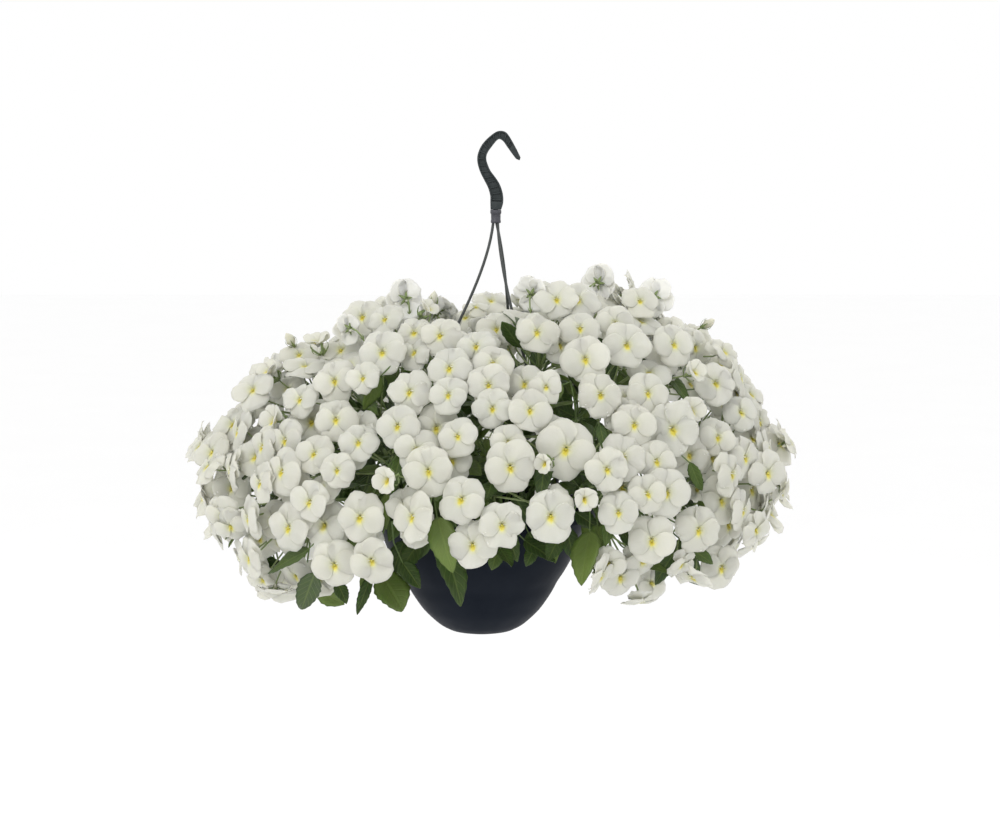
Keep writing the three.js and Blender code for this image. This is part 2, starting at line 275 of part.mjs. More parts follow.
    leaves: [
      [-121.18,-37.88,-307.01,-132.66,-37.65,-322.4,-150.74,-42.83,-348.55,-0.742,-0.336,0.58,17.4],
      [-110.4,-34.02,-313.05,-122.54,-27.71,-321.22,-152.32,-16.71,-347.65,-0.646,0.075,0.759,19.5],
      [-122.81,-38.46,-306.1,-135.86,-29.03,-320.91,-159.01,-8.07,-349.88,-0.811,-0.1,0.576,21.2]] },
  { stem: [[-30.73,-41.19,-379.51],[-30.73,-41.19,-292.58],[-58.77,-170.21,-294.94],[-63.46,-220.96,-317.77]], steps: 5,
    flowers: [
      [-74.04,-236.49,-274.59,-0.079,-0.954,0.289,0.242,41.1,0,-60.7,-201.17,-312.51,-67.18,-216.44,-294.27,-73.65,-231.72,-276.03,1],
      [-63.39,-255.71,-290.82,-0.104,-0.992,0.07,-0.206,44.3,0,-61.79,-208.95,-314.57,-62.33,-229.85,-302.87,-62.87,-250.75,-291.17,1],
      [-77.53,-264.49,-330.45,-0.612,-0.784,0.104,-0.056,44.2,0,-61.44,-206.44,-313.91,-67.95,-233.51,-322.44,-74.47,-260.57,-330.97,1],
      [-98.87,-253.64,-299.35,-0.497,-0.861,-0.104,0.002,35.5,1,-63.01,-217.75,-316.91,-78.29,-231.1,-307.57,-93.57,-244.46,-298.24,1]],
    leaves: [
      [-49.0,-131.05,-305.3,-55.72,-250.33,-333.97,-42.1,-267.78,-380.31,-0.126,-0.94,0.317,26.2],
      [-59.92,-195.53,-311.01,-75.71,-121.43,-378.53,-96.27,-133.43,-409.98,0.131,-0.952,0.278,17.8],
      [-56.65,-173.42,-306.2,-79.78,-178.13,-320.55,-109.51,-184.1,-350.64,-0.599,-0.429,0.676,22.9]] },
  { stem: [[-4.83,-46.46,-379.51],[-4.83,-46.46,-297.55],[68.42,-152.12,-293.84],[97.11,-196.68,-311.92]], steps: 5,
    flowers: [
      [122.11,-209.53,-255.3,0.048,-0.959,0.281,0.079,41.7,0,93.37,-191.03,-310.65,107.62,-197.88,-283.68,121.87,-204.74,-256.7,1],
      [110.0,-230.65,-281.57,0.128,-0.942,0.309,-0.003,44.9,0,82.16,-174.08,-306.84,95.76,-200.01,-294.98,109.36,-225.94,-283.12,1],
      [95.27,-247.83,-290.32,0.041,-0.952,0.303,-0.23,40.9,0,82.24,-174.2,-306.87,88.65,-208.63,-299.35,95.06,-243.07,-291.84,1],
      [150.75,-227.02,-314.64,0.241,-0.965,0.104,0.085,45.0,0,91.44,-188.11,-310.0,150.09,-205.03,-311.0,149.55,-222.2,-315.16,2],
      [132.32,-239.8,-313.81,0.303,-0.943,0.136,-0.232,37.5,0,95.31,-193.96,-311.31,113.06,-214.52,-312.9,130.8,-235.08,-314.49,1],
      [105.57,-252.71,-328.55,0.035,-0.985,0.171,-0.133,37.3,0,84.03,-176.9,-307.48,94.71,-212.34,-318.44,105.39,-247.79,-329.41,1],
      [91.58,-201.42,-228.91,0.169,-0.956,0.242,0.049,41.7,0,93.5,-191.22,-310.69,92.12,-193.93,-270.41,90.74,-196.64,-230.12,1],
      [141.9,-218.24,-287.74,0.308,-0.949,0.07,-0.09,37.9,0,94.49,-192.72,-311.03,117.42,-203.11,-299.56,140.36,-213.5,-288.09,1],
      [75.01,-260.58,-315.15,0.24,-0.961,-0.139,0.047,31.9,1,95.31,-193.96,-311.31,84.02,-222.68,-312.56,72.72,-251.39,-313.82,1]],
    leaves: [
      [76.79,-165.96,-305.02,56.96,-188.86,-221.64,39.46,-200.16,-244.14,-0.013,-0.89,0.456,13.4],
      [84.1,-177.01,-307.5,174.67,-186.86,-293.85,186.33,-183.18,-322.3,-0.163,-0.968,-0.192,12.3],
      [56.23,-135.48,-304.2,41.74,-226.43,-281.63,35.94,-253.24,-318.15,-0.181,-0.779,0.601,17.4],
      [78.86,-169.09,-305.72,91.17,-203.55,-257.44,95.57,-227.89,-278.7,0.165,-0.632,0.757,12.0],
      [88.57,-183.77,-309.02,56.34,-162.13,-366.29,44.95,-174.13,-387.65,0.122,-0.892,0.436,16.6]] },
  { stem: [[-36.46,-25.43,-379.51],[-36.46,-25.43,-295.13],[-144.93,-120.57,-290.86],[-166.34,-141.32,-315.22]], steps: 5,
    flowers: [
      [-168.2,-203.77,-282.77,-0.268,-0.892,0.364,0.253,38.2,0,-164.08,-139.25,-314.3,-165.47,-169.28,-299.45,-166.86,-199.31,-284.59,1],
      [-198.89,-197.95,-300.23,-0.641,-0.764,0.07,0.214,43.9,0,-147.42,-124.0,-307.55,-168.01,-158.17,-279.28,-195.68,-194.13,-300.58,2],
      [-210.06,-136.32,-261.68,-0.683,-0.683,0.259,-0.054,39.3,1,-155.08,-131.0,-310.65,-178.54,-129.63,-287.69,-202.0,-128.26,-264.73,1],
      [-221.34,-153.52,-283.72,-0.784,-0.612,0.104,0.293,39.1,0,-157.5,-133.22,-311.64,-187.46,-141.84,-297.94,-217.42,-150.46,-284.24,1],
      [-198.73,-168.56,-275.16,-0.691,-0.715,0.104,-0.092,40.7,0,-149.87,-126.24,-308.54,-172.57,-145.61,-292.11,-195.28,-164.98,-275.68,1],
      [-220.53,-184.5,-312.78,-0.808,-0.587,-0.035,-0.171,40.4,0,-164.08,-139.25,-314.3,-190.28,-160.41,-313.45,-216.49,-181.56,-312.61,1],
      [-192.23,-175.31,-315.41,-0.47,-0.848,0.244,-0.048,44.8,0,-150.71,-127.01,-308.88,-170.3,-149.04,-312.76,-189.88,-171.07,-316.63,1]],
    leaves: [
      [-149.72,-126.1,-308.48,-149.49,-195.12,-404.14,-139.82,-204.26,-421.86,0.224,-0.811,0.541,13.2],
      [-140.9,-118.03,-304.91,-173.44,-211.88,-370.16,-219.05,-171.77,-399.45,-0.735,-0.511,0.445,18.8],
      [-85.08,-68.27,-310.78,-79.48,-81.92,-330.65,-67.67,-101.22,-357.33,0.437,-0.626,0.646,17.3]] },
  { stem: [[-39.23,36.12,-379.51],[-39.23,36.12,-350.71],[-88.53,126.85,-335.83],[-115.08,175.7,-318.85]], steps: 4,
    flowers: [
      [-160.24,177.98,-268.34,-0.622,0.747,0.234,0.22,48.0,0,-97.95,144.17,-328.3,-129.73,141.32,-279.82,-157.13,174.24,-269.51,1],
      [-120.84,228.62,-301.34,-0.265,0.94,0.213,0.408,42.7,0,-112.44,170.84,-320.3,-112.03,197.37,-308.41,-119.51,223.92,-302.4,1],
      [-73.18,216.25,-243.04,-0.43,0.872,0.235,0.303,43.4,0,-113.87,173.47,-319.52,-60.11,189.79,-250.16,-71.03,211.89,-244.21,2],
      [-176.55,202.42,-295.71,-0.41,0.827,0.385,0.01,37.2,0,-111.45,169.02,-320.85,-142.98,183.65,-309.24,-174.5,198.29,-297.63,1],
      [-167.49,222.58,-325.82,-0.368,0.929,-0.026,-0.156,45.2,0,-107.08,160.97,-323.26,-136.36,189.45,-324.48,-165.65,217.93,-325.69,1]],
    leaves: [
      [-65.61,84.67,-346.3,-42.49,81.87,-348.07,-11.87,91.13,-365.55,0.181,0.702,0.689,16.4],
      [-87.9,125.68,-333.61,-101.63,138.42,-356.11,-113.36,155.19,-384.0,-0.659,0.49,0.571,16.3]] },
  { stem: [[12.17,11.91,-379.51],[12.17,11.91,-341.49],[133.34,28.0,-322.03],[198.59,36.67,-299.67]], steps: 4,
    flowers: [
      [247.16,93.65,-309.44,0.916,0.384,0.118,-0.019,41.9,0,182.32,34.51,-304.47,212.45,63.12,-307.25,242.58,91.73,-310.03,1],
      [244.63,41.94,-280.79,0.839,0.005,0.545,0.083,37.1,0,167.13,32.49,-308.95,203.78,37.2,-296.23,240.44,41.91,-283.51,1],
      [234.17,12.1,-253.48,0.935,0.023,0.354,-0.092,40.2,0,194.56,36.14,-300.86,212.03,24.06,-278.06,229.5,11.98,-255.25,1]],
    leaves: [
      [164.89,32.2,-309.61,170.19,41.91,-296.59,181.03,67.2,-279.38,0.267,-0.618,0.74,17.2],
      [88.15,22.0,-331.9,72.12,2.73,-328.84,49.56,-21.66,-340.87,-0.337,-0.147,0.93,16.0],
      [133.46,28.02,-318.62,149.53,25.09,-311.7,183.46,17.65,-305.61,0.042,0.741,0.67,16.7]] },
  { stem: [[15.66,-25.8,-379.51],[15.66,-25.8,-343.18],[111.45,-86.36,-323.57],[163.02,-118.96,-301.81]], steps: 4,
    flowers: [
      [204.15,-111.27,-228.42,0.274,-0.869,0.412,-0.206,43.6,0,159.98,-117.04,-302.93,181.38,-111.98,-266.7,202.78,-106.92,-230.48,1],
      [158.75,-187.2,-262.35,0.369,-0.913,0.174,0.101,53.1,0,157.1,-115.22,-303.98,144.1,-152.15,-266.97,156.91,-182.63,-263.22,2],
      [203.51,-155.1,-274.44,0.256,-0.941,0.223,0.201,39.1,0,151.81,-111.88,-305.91,177.02,-131.14,-290.73,202.23,-150.4,-275.56,1],
      [231.14,-137.24,-296.07,0.741,-0.667,0.07,-0.033,43.2,0,148.4,-109.72,-307.15,187.92,-121.81,-301.78,227.43,-133.9,-296.42,1],
      [215.42,-172.18,-306.64,0.766,-0.643,0.0,0.09,42.6,0,156.77,-115.01,-304.1,184.18,-141.99,-305.37,211.59,-168.97,-306.64,1],
      [176.27,-162.64,-248.79,0.432,-0.885,0.174,-0.026,37.0,1,160.64,-117.45,-302.68,166.06,-135.13,-276.7,171.47,-152.81,-250.72,1],
      [175.82,-168.65,-289.17,0.094,-0.977,0.191,0.103,41.8,0,160.59,-117.43,-302.7,167.97,-140.6,-296.41,175.35,-163.76,-290.13,1]],
    leaves: [
      [149.75,-110.57,-306.66,161.27,-88.57,-221.3,178.34,-138.01,-244.29,-0.223,-0.473,0.852,11.6],
      [156.62,-114.91,-304.15,163.34,-97.5,-293.43,175.68,-67.88,-279.12,0.462,-0.534,0.708,18.4]] },
  { stem: [[20.8,-4.1,-379.51],[20.8,-4.1,-342.17],[149.43,-43.62,-315.8],[218.7,-64.9,-291.02]], steps: 5,
    flowers: [
      [232.24,-72.42,-227.04,0.945,-0.253,0.208,-0.012,38.6,3,213.0,-63.15,-292.86,220.26,-67.15,-260.47,227.52,-71.15,-228.08,1],
      [280.76,-22.37,-295.12,0.992,-0.104,-0.07,0.341,41.5,0,213.66,-63.35,-292.65,244.73,-42.6,-293.71,275.8,-21.85,-294.77,1],
      [257.89,-94.52,-295.08,0.961,-0.276,0.035,0.087,40.4,0,215.53,-63.93,-292.04,234.31,-78.53,-293.65,253.09,-93.14,-295.25,1],
      [253.41,-55.02,-272.86,0.885,-0.432,0.174,0.032,41.0,0,209.85,-62.18,-293.88,229.42,-57.52,-283.8,248.98,-52.86,-273.73,1],
      [230.2,-102.23,-257.56,0.422,-0.798,0.431,-0.18,38.8,0,215.53,-63.93,-292.04,221.81,-81.08,-275.88,228.09,-98.24,-259.72,1],
      [273.09,-57.96,-293.62,0.663,-0.617,0.424,0.011,46.5,0,198.38,-58.66,-297.58,234.08,-56.77,-296.66,269.77,-54.88,-295.74,1],
      [229.42,-63.55,-242.74,0.62,-0.623,0.478,0.357,40.6,0,212.78,-63.08,-292.93,219.55,-61.76,-269.03,226.32,-60.44,-245.13,1]],
    leaves: [
      [138.94,-40.39,-315.98,190.06,-110.58,-234.22,214.05,-81.04,-247.26,0.738,-0.342,0.581,11.1],
      [163.92,-48.07,-308.45,190.53,-44.73,-313.85,222.51,-37.52,-332.38,0.452,0.217,0.865,20.7],
      [106.58,-30.45,-326.43,120.47,-38.2,-301.86,141.57,-48.42,-267.67,0.83,-0.113,-0.546,22.5]] },
  { stem: [[-30.54,-32.21,-379.51],[-30.54,-32.21,-344.56],[-78.69,-128.0,-319.2],[-104.61,-179.58,-295.74]], steps: 4,
    flowers: [
      [-127.56,-212.74,-270.96,-0.168,-0.912,0.374,-0.028,39.8,0,-103.4,-177.18,-296.72,-115.06,-192.68,-284.77,-126.72,-208.18,-272.83,1],
      [-146.14,-227.27,-294.22,-0.084,-0.949,0.306,-0.035,34.2,0,-91.25,-153.0,-306.53,-140.31,-193.31,-311.03,-145.72,-222.53,-295.75,2],
      [-91.64,-222.93,-254.95,-0.171,-0.97,0.174,0.028,39.6,0,-101.45,-173.29,-298.29,-96.12,-195.69,-277.06,-90.78,-218.08,-255.82,1],
      [-127.78,-196.74,-281.26,-0.612,-0.601,0.514,-0.162,39.3,0,-101.08,-172.57,-298.59,-112.9,-183.15,-291.21,-124.72,-193.73,-283.83,1]],
    leaves: [
      [-101.03,-172.45,-298.63,-92.11,-140.08,-396.17,-74.79,-152.08,-418.66,-0.105,-0.909,0.404,17.4],
      [-85.14,-140.84,-311.46,-92.54,-154.13,-290.57,-102.22,-180.64,-260.95,0.937,0.044,0.345,21.1]] },
  { stem: [[-21.83,-33.68,-379.51],[-21.83,-33.68,-340.85],[-37.89,-136.98,-307.29],[-46.54,-192.61,-279.2]], steps: 4,
    flowers: [
      [-45.95,-218.32,-227.14,-0.1,-0.954,0.285,0.084,36.0,0,-45.66,-186.97,-281.79,-45.56,-200.26,-255.18,-45.45,-213.55,-228.56,1],
      [-37.58,-240.4,-261.56,-0.139,-0.909,0.393,-0.256,37.5,0,-44.13,-177.13,-286.31,-40.51,-206.49,-274.92,-36.88,-235.86,-263.52,1],
      [-42.39,-233.02,-285.0,0.009,-0.979,0.202,-0.019,39.5,0,-46.13,-189.98,-280.41,-44.28,-209.05,-283.21,-42.44,-228.12,-286.01,1],
      [-56.59,-211.86,-258.37,0.105,-0.994,0.038,0.219,43.8,0,-44.45,-179.21,-285.35,-50.78,-193.05,-271.96,-57.12,-206.89,-258.56,1]],
    leaves: [
      [-29.29,-81.65,-332.0,-55.17,-141.89,-372.84,-32.5,-153.89,-434.55,0.564,-0.747,0.352,29.2],
      [-29.57,-83.48,-330.99,-33.31,-107.72,-326.06,-35.62,-150.99,-332.03,-0.055,-0.134,0.99,20.1]] },
  { stem: [[3.81,22.38,-379.51],[3.81,22.38,-336.13],[86.27,97.4,-303.85],[130.67,137.79,-274.43]], steps: 4,
    flowers: [
      [151.6,169.98,-247.0,0.792,0.562,0.238,-0.346,41.4,0,112.6,121.35,-285.14,130.12,144.26,-266.66,147.64,167.17,-248.19,1],
      [146.86,192.59,-291.21,0.488,0.813,0.318,-0.273,41.4,0,128.56,135.87,-275.68,130.37,165.11,-301.95,144.42,188.52,-292.8,1],
      [200.08,162.86,-305.61,0.714,0.68,0.17,0.16,46.0,0,118.62,126.83,-281.57,157.57,143.15,-294.01,196.51,159.46,-306.46,1],
      [145.29,137.67,-203.29,0.389,0.881,0.27,0.029,45.4,0,124.66,132.32,-277.99,128.77,100.25,-214.78,143.35,133.27,-204.64,1],
      [100.92,191.5,-232.69,0.487,0.734,0.474,-0.221,29.8,1,108.94,118.02,-287.3,102.75,151.48,-262.11,96.57,184.95,-236.92,1],
      [181.29,143.93,-259.95,0.633,0.674,0.382,-0.023,39.7,0,127.98,135.34,-276.03,153.05,137.95,-268.94,178.13,140.56,-261.86,1]],
    leaves: [
      [127.86,135.23,-276.1,145.26,117.34,-288.61,160.54,87.18,-301.24,0.594,-0.036,0.804,18.9],
      [56.64,70.44,-318.2,37.55,71.79,-305.64,7.93,66.36,-289.47,0.19,0.771,0.608,15.1],
      [77.05,89.01,-305.92,82.81,70.42,-318.71,92.2,46.47,-338.97,0.552,-0.402,0.731,17.6]] },
  { stem: [[-45.48,7.55,-379.51],[-45.48,7.55,-338.92],[-137.95,33.43,-303.61],[-187.74,47.37,-274.09]], steps: 4,
    flowers: [
      [-196.93,55.48,-210.56,-0.426,0.235,0.873,-0.373,44.1,0,-164.87,40.97,-286.41,-179.83,47.64,-250.67,-194.8,54.3,-214.93,1],
      [-244.25,24.21,-263.37,-0.581,-0.055,0.812,-0.234,44.3,0,-177.05,44.38,-279.85,-209.2,34.43,-273.64,-241.35,24.49,-267.43,1],
      [-222.73,70.79,-242.73,-0.74,0.456,0.495,0.095,45.9,0,-178.13,44.68,-279.26,-198.58,56.6,-262.23,-219.03,68.51,-245.2,1],
      [-240.5,74.0,-284.49,-0.856,0.293,0.426,0.144,46.3,0,-174.65,43.71,-281.14,-205.44,58.12,-283.88,-236.22,72.53,-286.62,1]],
    leaves: [
      [-163.92,40.7,-286.92,-176.73,37.92,-280.52,-207.49,27.69,-278.92,-0.058,0.321,0.945,15.1],
      [-79.98,17.2,-335.21,-100.92,31.74,-344.31,-125.55,49.71,-361.29,0.209,0.808,0.552,17.0]] },
  { stem: [[-39.3,15.05,-379.51],[-39.3,15.05,-324.09],[-101.77,72.73,-293.23],[-135.4,103.79,-259.67]], steps: 4,
    flowers: [
      [-190.74,135.11,-263.86,-0.627,0.427,0.651,-0.418,47.0,0,-110.59,80.88,-281.02,-149.1,106.93,-274.07,-187.61,132.97,-267.12,1],
      [-175.58,88.81,-216.02,-0.386,0.335,0.86,-0.084,37.0,0,-121.64,91.08,-271.51,-147.64,89.11,-245.92,-173.65,87.14,-220.32,1],
      [-126.96,173.03,-242.58,-0.458,0.79,0.407,-0.372,38.3,0,-123.05,92.39,-270.29,-106.17,137.11,-261.08,-124.67,169.08,-244.62,1],
      [-169.76,138.81,-234.0,-0.554,0.274,0.786,0.337,47.3,0,-119.14,88.77,-273.66,-143.06,113.11,-255.79,-166.99,137.44,-237.93,1]],
    leaves: [
      [-91.27,63.04,-297.26,-99.13,77.84,-280.12,-116.61,108.02,-262.06,0.347,-0.326,0.88,21.0],
      [-96.51,67.88,-292.88,-104.0,80.5,-281.76,-112.12,106.04,-261.53,0.16,-0.581,0.798,15.2]] },
  { stem: [[-14.72,-24.48,-379.51],[-14.72,-24.48,-331.65],[5.65,-128.96,-298.95],[16.62,-185.22,-267.62]], steps: 4,
    flowers: [
      [41.87,-212.55,-220.8,-0.068,-0.976,0.208,-0.106,30.6,0,11.78,-160.41,-279.85,27.0,-184.04,-250.84,42.21,-207.67,-221.84,1],
      [-6.15,-227.56,-238.29,0.042,-0.981,0.192,0.098,37.6,0,15.78,-180.88,-269.76,4.71,-201.77,-254.5,-6.36,-222.66,-239.25,1],
      [27.22,-230.84,-239.42,0.085,-0.961,0.262,0.055,41.1,0,15.37,-178.78,-270.79,21.08,-202.41,-255.76,26.79,-226.03,-240.73,1],
      [7.48,-244.23,-266.93,0.144,-0.974,0.175,0.141,33.9,0,12.17,-162.4,-278.86,9.47,-200.88,-273.33,6.76,-239.36,-267.8,1],
      [59.71,-239.26,-273.42,0.035,-0.994,0.104,0.324,56.2,0,15.43,-179.12,-270.63,61.51,-206.26,-267.21,59.54,-234.29,-273.94,2],
      [-5.41,-196.59,-200.7,0.0,-0.913,0.407,0.131,39.9,0,15.05,-177.16,-271.59,4.82,-184.59,-237.16,-5.41,-192.02,-202.73,1],
      [-10.02,-213.5,-218.57,-0.033,-0.951,0.309,-0.079,39.7,0,13.66,-170.02,-275.11,1.9,-189.38,-247.61,-9.85,-208.75,-220.11,1],
      [40.87,-253.15,-284.73,-0.503,-0.86,-0.087,0.062,26.6,1,16.04,-182.25,-269.09,30.47,-214.27,-276.56,44.89,-246.28,-284.04,1]],
    leaves: [
      [12.38,-163.47,-278.34,-0.91,-150.09,-260.94,-17.54,-126.17,-237.92,0.003,-0.692,0.722,19.0],
      [12.82,-165.74,-277.22,7.63,-184.05,-260.14,7.57,-215.97,-235.31,0.065,0.613,0.788,19.8],
      [2.07,-110.58,-304.0,11.64,-124.46,-280.18,16.86,-153.04,-246.96,-0.687,0.494,0.533,23.4]] },
  { stem: [[-39.62,-2.01,-379.51],[-39.62,-2.01,-336.18],[-133.92,-24.07,-297.77],[-184.7,-35.94,-265.98]], steps: 4,
    flowers: [
      [-204.45,-35.42,-196.41,-0.413,-0.492,0.766,-0.015,21.6,2,-169.77,-32.45,-274.49,-185.99,-32.61,-237.51,-202.22,-32.77,-200.54,1],
      [-222.69,-61.17,-224.22,-0.587,-0.492,0.643,0.04,34.9,1,-168.26,-32.1,-275.35,-192.4,-44.05,-253.15,-216.54,-56.01,-230.95,1],
      [-237.32,-82.55,-238.09,-0.328,-0.688,0.648,-0.416,46.3,0,-182.24,-35.37,-267.38,-223.98,-58.88,-260.51,-235.68,-79.11,-241.33,2],
      [-186.64,3.92,-212.51,-0.475,-0.39,0.789,-0.299,42.1,0,-176.64,-34.06,-270.57,-180.45,-14.09,-243.51,-184.26,5.87,-216.45,1],
      [-243.9,-23.3,-257.52,-0.388,-0.702,0.597,-0.5,39.2,0,-172.4,-33.07,-272.99,-207.18,-26.43,-266.75,-241.96,-19.79,-260.5,1]],
    leaves: [
      [-129.76,-23.09,-297.22,-157.97,-23.81,-289.57,-203.03,-23.18,-283.4,0.136,0.063,0.989,21.1],
      [-172.05,-32.99,-273.19,-183.88,-55.66,-262.79,-196.73,-91.85,-250.8,-0.129,0.353,0.927,22.2]] },
  { stem: [[-30.12,-18.38,-379.51],[-30.12,-18.38,-329.62],[-84.93,-95.31,-291.88],[-114.44,-136.73,-257.8]], steps: 4,
    flowers: [
      [-108.49,-158.14,-194.64,-0.153,-0.907,0.392,-0.107,44.4,0,-111.94,-133.22,-260.38,-109.83,-143.41,-228.49,-107.73,-153.6,-196.6,1],
      [-125.32,-176.34,-216.57,-0.181,-0.882,0.435,-0.048,33.0,0,-112.98,-134.68,-259.31,-118.7,-153.3,-239.03,-124.41,-171.93,-218.74,1],
      [-152.74,-161.29,-220.56,-0.103,-0.914,0.392,-0.13,42.5,0,-112.98,-134.68,-259.31,-132.6,-145.7,-240.91,-152.23,-156.72,-222.52,1],
      [-149.61,-190.72,-252.86,-0.078,-0.954,0.288,-0.04,42.0,0,-112.14,-133.51,-260.17,-130.68,-159.73,-257.23,-149.22,-185.95,-254.3,1],
      [-185.48,-153.31,-238.91,-0.537,-0.797,0.276,-0.032,37.2,0,-105.79,-124.59,-266.72,-144.29,-136.96,-253.51,-182.79,-149.33,-240.29,1]],
    leaves: [
      [-110.76,-131.56,-261.6,-135.2,-138.94,-228.17,-112.53,-179.32,-248.57,0.001,-0.451,0.893,15.8],
      [-93.61,-107.49,-279.29,-89.76,-103.74,-260.57,-80.7,-93.54,-219.69,-0.634,-0.705,0.317,23.6]] },
  { stem: [[9.29,3.75,-379.51],[9.29,3.75,-324.7],[105.51,39.34,-282.02],[157.32,58.5,-244.1]], steps: 4,
    flowers: [
      [223.91,54.56,-231.74,0.905,0.154,0.397,0.116,39.8,0,154.65,57.51,-245.85,189.54,48.72,-246.82,219.39,53.79,-233.72,1],
      [181.52,71.28,-196.12,0.786,0.111,0.608,-0.114,37.8,0,154.75,57.55,-245.79,166.17,64.14,-222.47,177.59,70.72,-199.16,1],
      [222.12,96.82,-263.39,0.811,0.506,0.294,0.268,37.1,0,140.62,52.32,-255.06,179.34,73.31,-259.96,218.07,94.29,-264.86,1],
      [195.32,107.16,-236.71,0.764,0.529,0.368,-0.189,44.1,0,143.4,53.35,-253.23,164.08,85.52,-251.75,191.5,104.51,-238.55,1],
      [147.35,70.11,-174.88,0.744,0.24,0.624,-0.091,47.9,0,154.75,57.55,-245.79,118.47,60.81,-199.1,143.63,68.91,-178.0,1]],
    leaves: [
      [129.97,48.39,-262.04,144.07,54.75,-251.89,178.01,69.92,-232.47,-0.465,-0.087,0.881,21.1],
      [89.55,33.43,-288.35,90.38,21.99,-271.59,93.76,-8.92,-254.43,0.121,0.492,0.862,18.8],
      [98.5,36.74,-282.56,99.63,21.26,-273.6,101.76,-12.17,-265.81,-0.029,0.225,0.974,15.6]] },
  { stem: [[-12.55,-36.61,-379.51],[-12.55,-36.61,-326.2],[-34.9,-118.43,-282.19],[-46.93,-162.49,-244.34]], steps: 4,
    flowers: [
      [-45.66,-199.22,-204.89,-0.165,-0.891,0.424,-0.037,43.5,0,-46.32,-160.25,-246.08,-45.58,-177.51,-226.54,-44.84,-194.77,-207.01,1],
      [-81.27,-207.68,-225.58,-0.154,-0.894,0.421,0.1,41.6,0,-44.12,-152.2,-252.31,-62.31,-177.7,-240.0,-80.5,-203.21,-227.68,1]],
    leaves: [
      [-25.6,-84.41,-305.45,-23.23,-71.25,-288.51,-24.81,-47.96,-264.1,-0.319,-0.696,0.643,15.5],
      [-24.32,-79.7,-310.15,-28.52,-85.2,-294.36,-31.08,-105.35,-265.67,0.045,0.816,0.577,16.1]] },
  { stem: [[-8.84,22.49,-379.51],[-8.84,22.49,-326.81],[15.4,92.66,-288.24],[28.45,130.44,-252.75]], steps: 4,
    flowers: [
      [-17.09,148.2,-188.38,0.198,-0.513,0.835,0.07,46.7,0,27.08,126.46,-256.07,4.5,138.61,-224.31,-18.08,150.77,-192.55,1],
      [-9.6,151.09,-169.75,0.03,-0.616,0.787,-0.186,43.7,0,27.78,128.48,-254.38,9.01,141.33,-214.03,-9.75,154.17,-173.69,1],
      [33.59,225.94,-250.57,0.154,0.942,0.298,-0.014,44.5,0,26.33,124.28,-257.88,28.28,198.4,-241.03,32.82,221.23,-252.06,2],
      [-17.91,212.03,-236.89,-0.059,0.959,0.275,-0.079,40.5,0,27.78,128.48,-254.38,-15.48,172.55,-248.22,-17.61,207.23,-238.27,2],
      [-10.05,97.36,-193.76,0.167,0.763,0.625,0.14,48.3,0,21.44,110.13,-269.7,-17.48,63.39,-221.57,-10.88,93.55,-196.88,1],
      [70.62,215.06,-259.26,0.208,0.911,0.355,0.139,42.1,0,27.78,128.48,-254.38,48.68,169.49,-257.71,69.58,210.5,-261.04,1],
      [101.59,113.97,-170.41,0.375,0.879,0.296,0.171,42.5,0,26.71,125.4,-256.95,83.54,71.7,-184.64,99.71,109.58,-171.89,2],
      [56.63,138.96,-184.47,0.336,0.777,0.532,0.016,48.7,0,22.84,114.2,-266.3,40.3,101.19,-210.35,54.95,135.08,-187.13,1],
      [32.0,194.06,-225.47,0.04,0.523,0.851,0.026,45.9,0,26.56,124.96,-257.32,29.18,158.2,-243.52,31.8,191.44,-229.73,1]],
    leaves: [
      [18.71,102.23,-276.29,6.5,114.57,-263.39,-29.09,132.03,-255.12,0.176,-0.104,0.979,21.9],
      [7.59,70.05,-303.01,-0.84,71.36,-288.34,-24.31,86.02,-265.4,0.432,-0.491,0.756,19.7]] },
  { stem: [[4.54,-14.68,-379.51],[4.54,-14.68,-312.82],[72.31,-73.23,-274.72],[108.81,-104.76,-233.97]], steps: 4,
    flowers: [
      [118.32,-148.89,-188.74,0.182,-0.915,0.36,0.11,46.4,0,95.65,-93.4,-246.65,103.87,-118.95,-205.9,117.41,-144.31,-190.54,2],
      [181.63,-129.14,-216.98,0.539,-0.77,0.342,-0.308,31.9,1,106.9,-103.12,-235.81,141.68,-112.44,-228.03,176.47,-121.77,-220.26,1],
      [135.98,-181.5,-229.83,0.233,-0.933,0.276,0.051,40.3,0,106.05,-102.38,-236.62,120.44,-139.61,-233.92,134.82,-176.84,-231.21,1],
      [107.96,-129.91,-170.17,0.156,-0.885,0.438,0.015,39.3,0,97.08,-94.63,-245.27,102.13,-110.06,-208.82,107.18,-125.48,-172.36,1],
      [164.2,-115.36,-191.1,0.377,-0.847,0.375,-0.072,43.4,0,102.57,-99.37,-239.98,132.44,-105.25,-216.48,162.31,-111.12,-192.97,1],
      [134.43,-80.53,-152.85,0.201,-0.804,0.559,0.142,38.3,0,106.64,-102.89,-236.06,120.03,-89.7,-195.85,133.43,-76.51,-155.65,1],
      [140.5,-131.45,-216.72,0.171,-0.69,0.704,0.222,43.2,0,96.26,-93.92,-246.07,117.95,-110.96,-233.15,139.65,-128.0,-220.24,1],
      [134.45,-85.09,-172.59,0.221,-0.49,0.843,0.022,46.4,0,84.21,-83.51,-257.68,128.4,-73.87,-179.88,133.34,-82.64,-176.81,2]],
    leaves: [
      [34.88,-40.89,-308.23,46.24,-48.95,-300.13,83.63,-67.15,-286.39,-0.447,-0.274,0.852,21.7],
      [90.22,-88.71,-251.89,69.91,-99.52,-248.65,39.17,-122.81,-253.89,-0.063,-0.14,0.988,18.7],
      [102.77,-99.55,-239.79,110.69,-117.24,-232.0,126.71,-148.77,-227.77,0.151,0.206,0.967,18.2]] },
  { stem: [[-40.82,-15.38,-379.51],[-40.82,-15.38,-312.34],[-98.11,-47.67,-278.97],[-128.96,-65.06,-239.87]], steps: 4,
